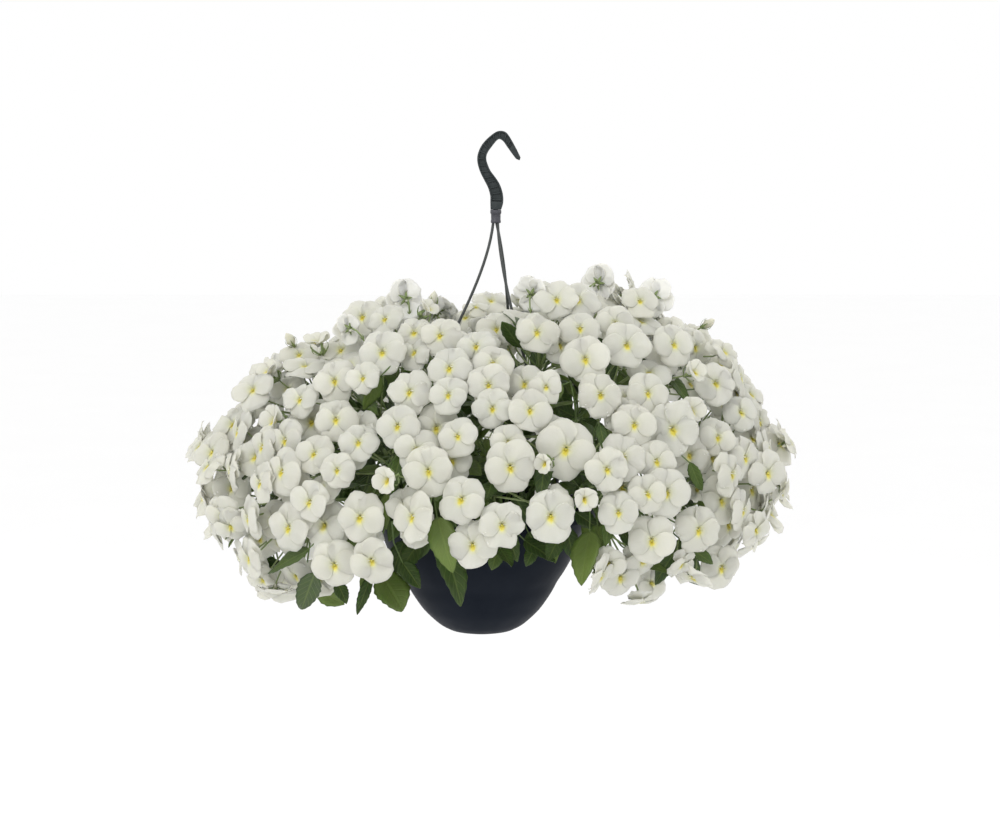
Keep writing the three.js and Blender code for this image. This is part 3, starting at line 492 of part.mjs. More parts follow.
    flowers: [
      [-132.18,-63.27,-169.2,-0.16,-0.852,0.498,-0.009,42.5,0,-117.94,-58.85,-251.7,-124.66,-58.93,-211.69,-131.38,-59.01,-171.69,1],
      [-146.15,-89.1,-180.65,-0.615,0.733,-0.289,-0.018,32.5,3,-119.2,-59.56,-250.35,-117.82,-122.86,-167.36,-143.07,-92.77,-179.21,2],
      [-174.04,-83.83,-193.87,-0.25,-0.433,0.866,-0.112,36.4,1,-119.17,-59.54,-250.37,-145.24,-69.32,-226.85,-171.31,-79.1,-203.33,1],
      [-109.03,-95.41,-168.91,-0.296,-0.814,0.5,-0.122,36.2,0,-120.96,-60.55,-248.46,-114.25,-75.95,-209.93,-107.55,-91.34,-171.41,1],
      [-186.44,-72.06,-216.68,-0.158,-0.338,0.928,0.045,45.8,0,-127.26,-64.1,-241.69,-156.46,-67.24,-231.5,-185.65,-70.37,-221.32,1],
      [-143.29,-100.67,-212.1,-0.026,-0.609,0.793,-0.262,45.7,0,-125.82,-63.29,-243.24,-134.49,-80.46,-229.65,-143.16,-97.63,-216.07,1],
      [-153.45,-19.1,-193.21,-0.382,-0.352,0.855,0.004,38.5,0,-127.26,-64.1,-241.69,-139.4,-40.72,-219.59,-151.54,-17.34,-197.48,1]],
    leaves: [
      [-62.15,-27.4,-316.47,-58.71,-30.67,-300.42,-51.32,-41.17,-267.09,0.976,0.131,-0.175,16.7],
      [-54.69,-23.2,-328.32,-67.53,-43.91,-334.13,-88.08,-75.19,-348.0,-0.434,-0.111,0.894,19.2]] },
  { stem: [[-32.02,20.31,-379.51],[-32.02,20.31,-309.41],[-63.48,73.97,-269.35],[-80.41,102.87,-226.5]], steps: 4,
    flowers: [
      [-63.1,59.89,-170.71,0.033,0.674,0.738,0.135,40.4,0,-75.87,95.11,-236.39,-64.44,32.46,-200.72,-63.26,56.52,-174.4,1],
      [-92.39,173.41,-211.35,-0.318,0.914,0.252,-0.107,40.8,0,-78.32,99.29,-231.06,-79.2,135.47,-221.82,-90.8,168.84,-212.61,1],
      [-80.72,116.12,-186.57,-0.61,0.678,0.409,-0.119,38.8,0,-70.77,86.42,-247.47,-58.15,91.03,-201.69,-77.67,112.73,-188.61,1],
      [-112.79,81.4,-185.23,-0.737,0.578,0.35,-0.198,45.5,0,-71.63,87.88,-245.61,-83.68,58.59,-199.07,-109.1,78.51,-186.98,1],
      [-130.61,111.6,-199.11,-0.698,0.658,0.284,0.218,45.5,0,-79.41,101.15,-228.69,-107.72,90.04,-208.41,-127.12,108.31,-200.53,1]],
    leaves: [
      [-69.3,83.9,-250.68,-50.88,88.42,-236.86,-18.72,92.98,-220.59,-0.454,0.019,0.891,16.5],
      [-76.09,95.48,-235.91,-95.95,112.85,-226.83,-121.18,138.18,-233.42,-0.151,0.105,0.983,18.1]] },
  { stem: [[-21.51,-17.37,-379.51],[-21.51,-17.37,-315.58],[-45.67,-83.85,-264.7],[-58.68,-119.65,-220.05]], steps: 4,
    flowers: [
      [-68.43,-112.33,-159.45,0.709,-0.41,0.574,0.163,28.3,1,-56.79,-114.43,-225.89,-65.62,-111.64,-195.1,-74.45,-108.85,-164.32,1],
      [-21.59,-175.58,-187.16,-0.15,-0.853,0.5,-0.075,38.5,0,-57.09,-115.28,-224.94,-38.97,-143.3,-207.3,-20.84,-171.32,-189.66,1],
      [-54.78,-154.19,-179.08,-0.209,-0.84,0.5,0.099,40.7,0,-55.12,-109.86,-231.0,-54.43,-129.92,-206.29,-53.73,-149.99,-181.58,1],
      [-79.97,-135.72,-178.31,-0.243,-0.849,0.469,-0.117,39.2,0,-55.82,-111.78,-228.85,-67.29,-121.63,-204.75,-78.75,-131.48,-180.66,1],
      [-18.5,-111.23,-190.4,-0.08,-0.719,0.69,-0.089,40.8,0,-55.81,-111.75,-228.88,-16.08,-89.47,-211.26,-18.1,-107.63,-193.85,1],
      [-54.26,-85.07,-187.15,0.232,-0.378,0.896,-0.212,40.5,0,-56.06,-112.43,-228.12,-55.74,-97.81,-209.88,-55.42,-83.18,-191.63,1]],
    leaves: [
      [-51.76,-100.6,-241.33,-109.93,-172.36,-216.08,-124.79,-173.84,-247.4,0.406,-0.902,-0.15,17.7],
      [-36.72,-59.23,-287.81,-33.97,-69.77,-264.83,-30.89,-93.75,-234.8,0.173,0.778,0.604,20.0]] },
  { stem: [[11.04,-8.53,-379.51],[11.04,-8.53,-306.76],[107.48,-19.47,-254.95],[159.41,-25.36,-206.51]], steps: 5,
    flowers: [
      [150.61,-54.48,-152.82,0.235,0.876,-0.421,-0.181,38.8,3,156.48,-25.03,-208.96,143.42,-81.3,-139.92,149.44,-58.86,-150.71,2],
      [206.44,0.0,-182.69,0.75,-0.433,0.5,-0.088,19.9,2,142.69,-23.46,-220.5,172.7,-10.65,-202.84,202.71,2.16,-185.18,1],
      [192.03,-43.71,-201.05,0.614,-0.782,0.104,0.458,43.8,0,156.71,-25.05,-208.77,177.35,-28.83,-197.26,188.96,-39.8,-201.57,2],
      [217.75,-52.63,-204.48,0.558,-0.574,0.6,-0.128,38.5,0,156.71,-25.05,-208.77,185.84,-37.41,-208.12,214.96,-49.76,-207.48,1],
      [156.53,-12.55,-171.3,0.826,-0.086,0.557,-0.035,43.7,0,147.83,-24.05,-216.19,134.88,-10.3,-185.88,152.4,-12.12,-174.08,1]],
    leaves: [
      [127.71,-21.76,-233.02,139.84,-22.06,-222.27,179.74,-29.06,-204.01,-0.402,0.087,0.911,24.3],
      [125.18,-21.48,-235.14,104.5,-18.45,-216.43,72.22,-15.91,-200.64,0.42,-0.185,0.888,17.9],
      [138.23,-22.96,-224.22,136.21,-24.1,-197.95,128.42,-19.72,-159.95,0.776,-0.589,0.227,20.4]] },
  { stem: [[-48.68,-12.12,-379.51],[-48.68,-12.12,-315.98],[-83.28,-12.43,-275.33],[-101.92,-12.59,-234.81]], steps: 3,
    flowers: [
      [-93.11,-60.61,-153.74,-0.488,0.846,-0.216,0.13,42.5,3,-99.56,-12.57,-239.23,-78.28,-86.3,-147.17,-90.67,-64.84,-152.66,2],
      [-148.76,34.1,-186.31,-0.841,0.292,0.456,0.055,43.3,0,-100.62,-12.58,-237.23,-111.08,20.99,-206.73,-144.56,32.64,-188.59,1],
      [-65.94,-1.99,-159.14,0.134,0.136,0.982,-0.051,20.9,2,-87.81,-12.47,-261.21,-70.36,1.88,-160.56,-66.64,-2.7,-164.27,2],
      [-112.54,-23.72,-176.73,-0.793,0.038,0.609,-0.039,45.6,0,-96.34,-12.54,-245.24,-82.11,-25.19,-200.1,-108.58,-23.91,-179.77,1],
      [-34.99,-35.45,-201.42,0.096,0.116,0.989,-0.045,44.9,0,-96.51,-12.55,-244.92,-65.99,-24.29,-225.64,-35.47,-36.03,-206.36,1],
      [-98.64,26.17,-169.22,-0.808,0.408,0.425,0.065,45.8,0,-100.81,-12.58,-236.88,-64.89,9.12,-186.99,-94.6,24.13,-171.35,1]],
    leaves: [
      [-95.11,-12.53,-247.55,-84.79,-22.92,-238.88,-54.76,-51.47,-232.12,-0.158,0.067,0.985,20.1],
      [-78.32,-12.38,-278.97,-67.98,-13.33,-256.2,-53.29,-5.5,-213.73,-0.637,-0.688,0.347,21.6]] },
  { stem: [[-3.21,-28.17,-379.51],[-3.21,-28.17,-309.91],[26.85,-82.84,-252.07],[43.03,-112.28,-202.51]], steps: 4,
    flowers: [
      [73.06,-114.88,-149.12,0.047,-0.791,0.61,-0.082,48.9,0,41.9,-110.23,-205.62,57.36,-110.58,-178.89,72.82,-110.92,-152.17,1],
      [74.63,-148.43,-172.95,0.103,-0.893,0.438,-0.015,39.0,0,42.14,-110.66,-204.97,58.13,-127.31,-190.05,74.11,-143.96,-175.14,1],
      [34.55,-159.65,-175.69,0.075,-0.929,0.362,0.074,42.5,0,37.85,-102.86,-216.77,36.02,-128.93,-197.14,34.18,-155.0,-177.5,1],
      [78.14,-181.09,-198.58,-0.1,-0.947,0.305,-0.191,47.6,0,35.29,-98.21,-223.82,86.24,-139.08,-197.8,78.64,-176.36,-200.11,2],
      [31.52,-103.8,-144.0,0.33,0.908,0.259,-0.117,37.4,3,39.54,-105.94,-212.12,26.21,-126.89,-151.61,29.87,-108.34,-145.29,2],
      [52.99,-125.14,-148.02,0.047,-0.878,0.476,-0.213,41.3,0,42.14,-110.66,-204.97,47.45,-115.7,-177.68,52.76,-120.75,-150.4,1],
      [14.32,-58.54,-177.09,0.313,-0.624,0.716,-0.271,43.9,0,36.45,-100.31,-220.64,3.29,-36.55,-202.35,12.76,-55.42,-180.67,1]],
    leaves: [
      [25.72,-80.8,-250.29,21.03,-73.02,-234.93,6.69,-47.02,-209.24,0.332,-0.564,0.756,21.1],
      [8.95,-50.27,-301.96,-3.3,-64.33,-281.63,-26.16,-85.55,-263.32,0.302,0.416,0.858,17.5],
      [24.64,-78.82,-253.33,28.54,-94.35,-239.85,33.48,-122.51,-224.48,-0.079,0.467,0.881,17.1]] },
  { stem: [[-0.58,7.43,-379.51],[-0.58,7.43,-297.0],[37.09,16.87,-252.77],[57.38,21.96,-203.47]], steps: 4,
    flowers: [
      [99.19,-11.53,-141.1,0.495,0.858,-0.139,-0.078,39.5,3,56.15,21.65,-206.0,76.03,-51.65,-134.59,96.71,-15.82,-140.4,1],
      [106.72,44.62,-143.75,0.77,0.305,0.561,0.024,47.9,0,52.18,20.66,-214.19,69.22,29.79,-171.04,102.87,43.1,-146.55,1],
      [40.46,66.83,-159.83,0.151,0.745,0.65,-0.12,40.5,0,55.61,21.52,-207.12,34.99,39.79,-183.44,39.71,63.11,-163.08,1],
      [53.7,12.13,-158.58,0.595,0.631,0.498,-0.096,40.9,0,56.15,21.65,-206.0,37.22,-5.36,-172.38,50.73,8.97,-161.07,1],
      [11.81,1.1,-186.29,0.357,0.095,0.929,-0.009,39.9,0,56.15,21.65,-206.0,1.34,-1.69,-213.52,10.02,0.62,-190.93,1]],
    leaves: [
      [16.37,11.68,-290.38,23.08,21.65,-279.81,39.6,39.55,-254.22,-0.589,-0.432,0.683,18.8],
      [6.86,9.29,-322.43,-8.29,21.15,-324.56,-37.74,36.18,-349.49,-0.703,-0.394,0.592,21.6]] }
];

// ---- helpers -----------------------------------------------------------------
const V = (x, y, z) => new THREE.Vector3(x, y, z);

function solidOf(geometry) {
  const g = geometry.index ? geometry.clone() : geometry.clone();
  for (const name of Object.keys(g.attributes)) if (name !== 'position') g.deleteAttribute(name);
  const m = mergeVertices(g, 1e-4);
  const pos = m.getAttribute('position').array;
  const idx = Array.from(m.getIndex().array);
  const tris = [];
  for (let i = 0; i < idx.length; i += 3) {
    const [a, b, c] = [idx[i], idx[i + 1], idx[i + 2]];
    if (a !== b && b !== c && c !== a) tris.push(a, b, c);
  }
  let vol = 0;
  for (let i = 0; i < tris.length; i += 3) {
    const [a, b, c] = [tris[i] * 3, tris[i + 1] * 3, tris[i + 2] * 3];
    vol += pos[a] * (pos[b + 1] * pos[c + 2] - pos[b + 2] * pos[c + 1])
      - pos[a + 1] * (pos[b] * pos[c + 2] - pos[b + 2] * pos[c])
      + pos[a + 2] * (pos[b] * pos[c + 1] - pos[b + 1] * pos[c]);
  }
  if (vol < 0) for (let i = 0; i < tris.length; i += 3) [tris[i + 1], tris[i + 2]] = [tris[i + 2], tris[i + 1]];
  return new wasm.Manifold(new wasm.Mesh({
    numProp: 3, vertProperties: Float32Array.from(pos), triVerts: Uint32Array.from(tris),
  }));
}

function join(solids) {
  let out = solids[0];
  for (let i = 1; i < solids.length; i++) out = out.add(solids[i]);
  return out;
}

function geometryOf(solid) {
  const mesh = solid.getMesh();
  const g = new THREE.BufferGeometry();
  const n = mesh.vertProperties.length / mesh.numProp;
  const pos = new Float32Array(n * 3);
  for (let i = 0; i < n; i++) for (let k = 0; k < 3; k++) pos[i * 3 + k] = mesh.vertProperties[i * mesh.numProp + k];
  g.setAttribute('position', new THREE.BufferAttribute(pos, 3));
  g.setIndex(new THREE.BufferAttribute(Uint32Array.from(mesh.triVerts), 1));
  g.computeVertexNormals();
  return g;
}

// A rod of regular section along a curve.
function rod(curve, radius, sides, steps) {
  const shape = new THREE.Shape();
  for (let i = 0; i < sides; i++) {
    const a = (i / sides) * 2 * Math.PI;
    if (i === 0) shape.moveTo(radius * Math.cos(a), radius * Math.sin(a));
    else shape.lineTo(radius * Math.cos(a), radius * Math.sin(a));
  }
  shape.closePath();
  return solidOf(new THREE.ExtrudeGeometry(shape, { steps, bevelEnabled: false, extrudePath: curve }));
}

// An upright cylinder between two heights.
function post(x, y, z0, z1, r0, r1, sides, turn = 0) {
  const g = new THREE.CylinderGeometry(r1, r0, z1 - z0, sides, 1);
  g.rotateX(Math.PI / 2);
  g.rotateZ(turn);
  g.translate(x, y, (z0 + z1) / 2);
  return solidOf(g);
}

// A closed loft over rings of k points each, from the first ring to the last,
// with a centre point on each end cap: a capped cylinder whose rings are moved.
function loft(rings, cap0, cap1) {
  const k = rings[0].length, rows = rings.length;
  const g = new THREE.CylinderGeometry(1, 1, 1, k, rows - 1);
  const p = g.getAttribute('position');
  for (let i = 0; i < p.count; i++) {
    const row = Math.round((0.5 - p.getY(i)) * (rows - 1));
    let at;
    if (Math.hypot(p.getX(i), p.getZ(i)) < 1e-6) at = row === 0 ? cap0 : cap1;
    else at = rings[row][((Math.round(Math.atan2(p.getX(i), p.getZ(i)) / (2 * Math.PI / k)) % k) + k) % k];
    p.setXYZ(i, at.x, at.y, at.z);
  }
  return solidOf(g);
}
// A ring about a point, from a frame whose axes are squared up to the direction.
function ringAt(centre, along, e1, radius, k) {
  const a = e1.clone().addScaledVector(along, -e1.dot(along)).normalize();
  const b = along.clone().cross(a);
  return Array.from({ length: k }, (_, i) => {
    const t = (i / k) * 2 * Math.PI;
    return centre.clone().addScaledVector(a, radius * Math.cos(t)).addScaledVector(b, radius * Math.sin(t));
  });
}

function frameOf(n, roll) {
  let up = V(0, 0, 1).addScaledVector(n, -n.z);
  if (up.length() < 0.15) up = V(0, 1, 0).addScaledVector(n, -n.y);
  up.normalize();
  const right = up.clone().cross(n);
  const u = up.clone().multiplyScalar(Math.cos(roll)).addScaledVector(right, Math.sin(roll)).normalize();
  return { u, r: u.clone().cross(n) };
}

// A flower with its stalk, from the front of the flower down to the stem.
function flowerSolid([px, py, pz, nx, ny, nz, roll, size, kind, bx, by, bz, cx, cy, cz, ex, ey, ez, steps]) {
  const n = V(nx, ny, nz).normalize();
  const { u, r } = frameOf(n, roll);
  const R = size / 2;
  const p = V(px, py, pz);
  let tips, front;
  if (kind === 0 || kind === 3) { tips = PETAL_TIPS.map(([a, k]) => [a, k * R]); front = 1.5; }
  else if (kind === 1) { tips = PETAL_TIPS.map(([a]) => [a, 0.62 * R]); front = R * 0.35; }
  else { tips = PETAL_TIPS.map(([a]) => [a, 0.42 * R]); front = R; }
  const rim = tips.map(([a, k]) => p.clone()
    .addScaledVector(r, k * Math.sin(a * Math.PI / 180)).addScaledVector(u, k * Math.cos(a * Math.PI / 180)));
  const start = V(bx, by, bz), end = V(ex, ey, ez);
  const stalk = new THREE.QuadraticBezierCurve3(start, V(cx, cy, cz), end);
  const pts = stalk.getSpacedPoints(steps).reverse();   // from the flower to the stem
  // The stalk's first point lines up with the first petal tip.
  const turn = r.clone().multiplyScalar(Math.sin(38 * Math.PI / 180)).addScaledVector(u, Math.cos(38 * Math.PI / 180));
  const rings = [rim];
  pts.forEach((q, i) => {
    const d = i === 0 ? n.clone().negate() : q.clone().sub(pts[i - 1]).normalize();
    rings.push(ringAt(q, d.negate(), turn, i === 0 ? PEDICEL_R * 1.15 : PEDICEL_R, 5).map((x) => x));
    turn.copy(rings[rings.length - 1][0]).sub(q).normalize();
  });
  // Rim order runs clockwise seen from the front; make the stalk's rings run the same way.
  for (let i = 1; i < rings.length; i++) rings[i] = [0, 4, 3, 2, 1].map((k) => rings[i][k]);
  return loft(rings, p.clone().addScaledVector(n, front), start);
}

// A leaf with its stalk: a three-sided loft from the stem to the blade's tip.
// Its section has a left edge, a right edge and a keel below.
function leafSolid(start, base, tip, normal, width) {
  const t = tip.clone().sub(base).normalize();
  const n = normal.clone().addScaledVector(t, -t.dot(normal)).normalize();
  const s = n.clone().cross(t);
  const widest = base.clone().lerp(tip, LEAF_WIDEST);
  const d = base.clone().sub(start).normalize();
  const sn = n.clone().addScaledVector(d, -d.dot(n)).normalize();
  const ss = sn.clone().cross(d);
  const rows = [
    { c: start, half: PEDICEL_R * 0.87, keel: PEDICEL_R, lift: PEDICEL_R * 0.5, s: ss, n: sn },
    { c: base, half: 0.9, keel: 1.0, lift: 0, s, n },
    { c: widest, half: width / 2, keel: LEAF_KEEL, lift: 0, s, n },
    { c: tip, half: 0.5, keel: 0.5, lift: 0, s, n },
  ];
  const rings = rows.map(({ c, half, keel, lift, s: a, n: b }) => [
    c.clone().addScaledVector(b, -keel),
    c.clone().addScaledVector(a, half).addScaledVector(b, lift),
    c.clone().addScaledVector(a, -half).addScaledVector(b, lift),
  ]);
  const mid = (ring) => ring[0].clone().add(ring[1]).add(ring[2]).multiplyScalar(1 / 3);
  return loft(rings, mid(rings[0]), mid(rings[rings.length - 1]));
}

// A stem: a square-sectioned loft from its crown in the soil to its tip.
function stemSolid(points, steps) {
  const [p0, p1, p2, p3] = points;
  const pts = new THREE.CubicBezierCurve3(p0, p1, p2, p3).getSpacedPoints(steps);
  const x = V(0, 0, 1), e = V(1, 0, 0);
  const rings = [
    ringAt(V(p0.x, p0.y, Z_SOIL - CROWN_DEPTH), x, e, CROWN_R, 4),
    ringAt(V(p0.x, p0.y, Z_SOIL + 1.5), x, e, CROWN_R, 4),
  ];
  const turn = e.clone();
  for (let i = 1; i < pts.length; i++) {
    const back = pts[i].clone().sub(pts[i - 1]).normalize();
    const on = i + 1 < pts.length ? pts[i + 1].clone().sub(pts[i]).normalize() : back;
    const d = back.clone().add(on).normalize();
    const ring = ringAt(pts[i], d, turn, STEM_R, 4);
    turn.copy(ring[0]).sub(pts[i]).normalize();
    rings.push(ring);
  }
  return loft(rings, V(p0.x, p0.y, Z_SOIL - CROWN_DEPTH), p3);
}

const group = new THREE.Group();
function addPart(name, solid, color, roughness, metalness = 0) {
  const mesh = new THREE.Mesh(geometryOf(solid), new THREE.MeshStandardMaterial({ color, roughness, metalness }));
  mesh.name = name;
  group.add(mesh);
}

// ---- bowl ----------------------------------------------------------------------
// Closed profile [radius, height above the foot]: up the outside, over the rim, down the inside.
const BOWL_PROFILE = [
  [0, 0], [26, 0], [42, 6.3], [59, 22.2], [72, 41.5], [84, 61.8], [99, 93.6], [106, 116.6], [107, 126.4],
  [114.4, 126.4], [114.4, 118.4], [RIM_R, 118.4], [RIM_R, POT_H], [105.2, POT_H],
  [104.2, 116.6], [97.2, 94.1], [82.2, 62.7], [70.3, 42.5], [57.5, 23.4], [41.2, 8.0], [26, 1.9], [0, 1.9],
];
function turned(profile, segments) {
  const g = new THREE.LatheGeometry(profile.map(([r, h]) => new THREE.Vector2(r, h)), segments);
  g.rotateX(Math.PI / 2);
  g.translate(POT_X, 0, Z_BASE);
  return solidOf(g);
}
let bowl = turned(BOWL_PROFILE, POT_SEG);
for (const path of STRAND_PATHS) {
  const [x, y] = path[3];
  bowl = bowl.subtract(post(x, y, Z_RIM - 5, Z_RIM + 3, STRAND_HOLE_D / 2, STRAND_HOLE_D / 2, 10));
}
for (let i = 0; i < DRAIN_N; i++) {
  const a = ((i + 0.5) / DRAIN_N) * 2 * Math.PI;
  bowl = bowl.subtract(post(POT_X + DRAIN_R * Math.cos(a), DRAIN_R * Math.sin(a), Z_BASE - 1, Z_BASE + 6, DRAIN_D / 2, DRAIN_D / 2, 10));
}
addPart('pot_bowl', bowl, 0x272a33, 0.5);

// ---- soil ----------------------------------------------------------------------
const SOIL_PROFILE = [
  [0, 2.4], [25.4, 2.4], [56.4, 24.2], [81.2, 63.6], [96.2, 94.7], [102.2, POT_H - SOIL_BELOW_RIM], [0, POT_H - SOIL_BELOW_RIM],
];
let soil = turned(SOIL_PROFILE, POT_SEG);
for (const s of SHOOTS) {
  const [x, y] = s.stem[0];
  const r = CROWN_R + FIT_GAP * 1.6;
  soil = soil.subtract(post(x, y, Z_SOIL - CROWN_DEPTH - FIT_GAP, Z_SOIL + 2, r, r, 4));
}
addPart('potting_soil', soil, 0x2b211a, 0.95);

// ---- hook ----------------------------------------------------------------------
const outline = new THREE.Shape();
HOOK_STATIONS.forEach(([ox, oz], i) => (i ? outline.lineTo(ox, oz) : outline.moveTo(ox, oz)));
outline.lineTo(HOOK_TIP[0], HOOK_TIP[1]);
[...HOOK_STATIONS].reverse().forEach(([, , ix, iz]) => outline.lineTo(ix, iz));
outline.closePath();
// Extrude in the XZ plane: shape y becomes Z, depth becomes -Y.
function plate(shape, y0, y1) {
  const g = new THREE.ExtrudeGeometry(shape, { depth: y1 - y0, bevelEnabled: false });
  g.rotateX(Math.PI / 2);
  g.translate(0, y1, 0);
  return solidOf(g);
}
let hook = plate(outline, -HOOK_T / 2, HOOK_T / 2);
for (let i = 1; i < HOOK_STATIONS.length - 3; i++) {
  const [ax, az, bx, bz] = HOOK_STATIONS[i];
  const [cx, cz, dx, dz] = HOOK_STATIONS[i + 1];
  // Corner points pulled in by the flange across and by the rib along.
  const corner = (ox, oz, ix, iz, nox, noz, nix, niz, side) => {
    const w = Math.hypot(ix - ox, iz - oz), k = HOOK_FLANGE / w, a = side ? 1 - k : k;
    const x0 = ox + (ix - ox) * a, z0 = oz + (iz - oz) * a;
    const x1 = nox + (nix - nox) * a, z1 = noz + (niz - noz) * a;
    const l = Math.hypot(x1 - x0, z1 - z0), q = Math.min(0.32, HOOK_RIB / l);
    return [x0 + (x1 - x0) * q, z0 + (z1 - z0) * q];
  };
  const q = [
    corner(ax, az, bx, bz, cx, cz, dx, dz, 0), corner(ax, az, bx, bz, cx, cz, dx, dz, 1),
    corner(cx, cz, dx, dz, ax, az, bx, bz, 1), corner(cx, cz, dx, dz, ax, az, bx, bz, 0),
  ];
  const pocket = new THREE.Shape();
  q.forEach(([x, z], k) => (k ? pocket.lineTo(x, z) : pocket.moveTo(x, z)));
  pocket.closePath();
  hook = hook.subtract(plate(pocket, HOOK_T / 2 - HOOK_POCKET, HOOK_T / 2 + 1));
  hook = hook.subtract(plate(pocket, -HOOK_T / 2 - 1, -HOOK_T / 2 + HOOK_POCKET));
}
hook = hook.add(post(COLLAR_X, 0, Z_COLLAR_TOP - TENON_L, Z_COLLAR_TOP + 3, TENON_R, TENON_R, 12));
addPart('hanger_hook', hook, 0x394040, 0.55);

// ---- collar ----------------------------------------------------------------------
let collar = post(COLLAR_X, 0, Z_COLLAR_BOT, Z_COLLAR_TOP - FIT_GAP, COLLAR_R_BOT, COLLAR_R_TOP, 18);
collar = collar.subtract(post(COLLAR_X, 0, Z_COLLAR_TOP - FIT_GAP - TENON_L - 0.1, Z_COLLAR_TOP + 1, TENON_R + FIT_GAP, TENON_R + FIT_GAP, 12));
for (const path of STRAND_PATHS) {
  const [x, y] = path[0];
  collar = collar.subtract(post(x, y, Z_COLLAR_BOT - 1, Z_COLLAR_BOT + SOCKET_DEPTH + FIT_GAP, STRAND_R + FIT_GAP, STRAND_R + FIT_GAP, 8));
}
addPart('strand_collar', collar, 0x58595e, 0.55);

// ---- strands ----------------------------------------------------------------------
['left', 'right', 'back'].forEach((side, i) => {
  const [a, b, c, d] = STRAND_PATHS[i].map((p) => V(...p));
  const body = rod(new THREE.CubicBezierCurve3(a, b, c, d), STRAND_R, 5, 11);
  const plug = post(a.x, a.y, a.z - 1.5, Z_COLLAR_BOT + SOCKET_DEPTH, STRAND_R, STRAND_R, 8);
  const foot = post(d.x, d.y, Z_RIM - 2 - FIT_GAP - BUTTON_H, d.z + 1.0, STRAND_R, STRAND_R, 8);
  const button = post(d.x, d.y, Z_RIM - 2 - FIT_GAP - BUTTON_H, Z_RIM - 2 - FIT_GAP, BUTTON_R, BUTTON_R, 10);
  addPart('strand_' + side, join([body, plug, foot, button]), 0x4a4f4e, 0.5);
});

// ---- shoots ----------------------------------------------------------------------
SHOOTS.forEach((s, i) => {
  const solids = [stemSolid(s.stem.map((p) => V(...p)), s.steps)];
  for (const f of s.flowers) solids.push(flowerSolid(f));
  for (const l of s.leaves) {
    solids.push(leafSolid(V(l[0], l[1], l[2]), V(l[3], l[4], l[5]), V(l[6], l[7], l[8]), V(l[9], l[10], l[11]), l[12]));
  }
  addPart('shoot_' + String(i + 1).padStart(2, '0'), join(solids), 0xe3e4da, 0.6);
});

export default group;
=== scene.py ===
import bpy, math
import numpy as np
from mathutils import Vector, Matrix


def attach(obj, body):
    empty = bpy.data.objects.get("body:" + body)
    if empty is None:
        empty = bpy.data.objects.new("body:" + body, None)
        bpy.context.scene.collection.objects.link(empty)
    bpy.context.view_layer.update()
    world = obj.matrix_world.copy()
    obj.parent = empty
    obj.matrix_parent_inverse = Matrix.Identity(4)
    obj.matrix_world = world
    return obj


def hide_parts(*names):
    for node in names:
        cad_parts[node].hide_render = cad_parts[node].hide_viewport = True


# Hanging basket of trailing white violas: the looks.
# The tables repeat the CAD's numbers, in millimetres, in the row frame.
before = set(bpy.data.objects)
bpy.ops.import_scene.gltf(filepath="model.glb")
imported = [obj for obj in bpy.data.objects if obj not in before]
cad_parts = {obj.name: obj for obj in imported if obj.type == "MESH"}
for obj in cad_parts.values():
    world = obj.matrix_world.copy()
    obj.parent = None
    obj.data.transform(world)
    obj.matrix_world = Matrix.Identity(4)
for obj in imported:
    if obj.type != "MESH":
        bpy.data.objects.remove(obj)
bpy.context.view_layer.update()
MM = 0.001

POT_X = -18.1
Z_BASE = -491.91
COLLAR_X = -3.75
Z_COLLAR_TOP = -69.12
Z_COLLAR_BOT = -82.43
HOOK_STATIONS = [[-9.0,-69.12,1.58,-69.12],[-9.2,-61.73,3.56,-62.22],[-9.29,-55.53,3.26,-53.85],[-11.26,-48.05,0.3,-44.51],[-15.21,-40.09,-4.15,-37.44],[-18.95,-32.63,-8.88,-31.15],[-21.31,-25.56,-11.54,-25.17],[-22.09,-19.29,-13.02,-20.27],[-21.1,-13.21,-12.82,-15.96],[-17.74,-5.97,-11.24,-12.23],[-13.01,-0.29,-8.28,-8.12],[-7.88,4.2,-4.93,-3.72],[-3.15,7.33,-2.17,-0.78],[0.79,8.21,0.0,0.0],[4.53,7.63,2.36,-1.08],[7.58,5.57,4.53,-3.23],[11.33,0.0,6.9,-6.75],[15.87,-8.22,11.04,-12.53],[18.54,-13.41,14.0,-16.54],[20.71,-18.01,16.18,-19.39]]
HOOK_TIP = [19.73,-20.76]
STRAND_PATHS = [[[-6.35,-0.74,-82.43],[-15.5,-2.23,-166.46],[-113.0,-26.92,-289.69],[-124.42,-30.49,-362.51]],[[-1.81,-1.88,-82.43],[1.36,-5.62,-166.46],[53.87,-67.83,-289.69],[61.46,-76.83,-362.51]],[[-3.1,2.62,-82.43],[16.0,13.85,-166.46],[10.0,114.75,-289.69],[8.66,107.31,-362.51]]]
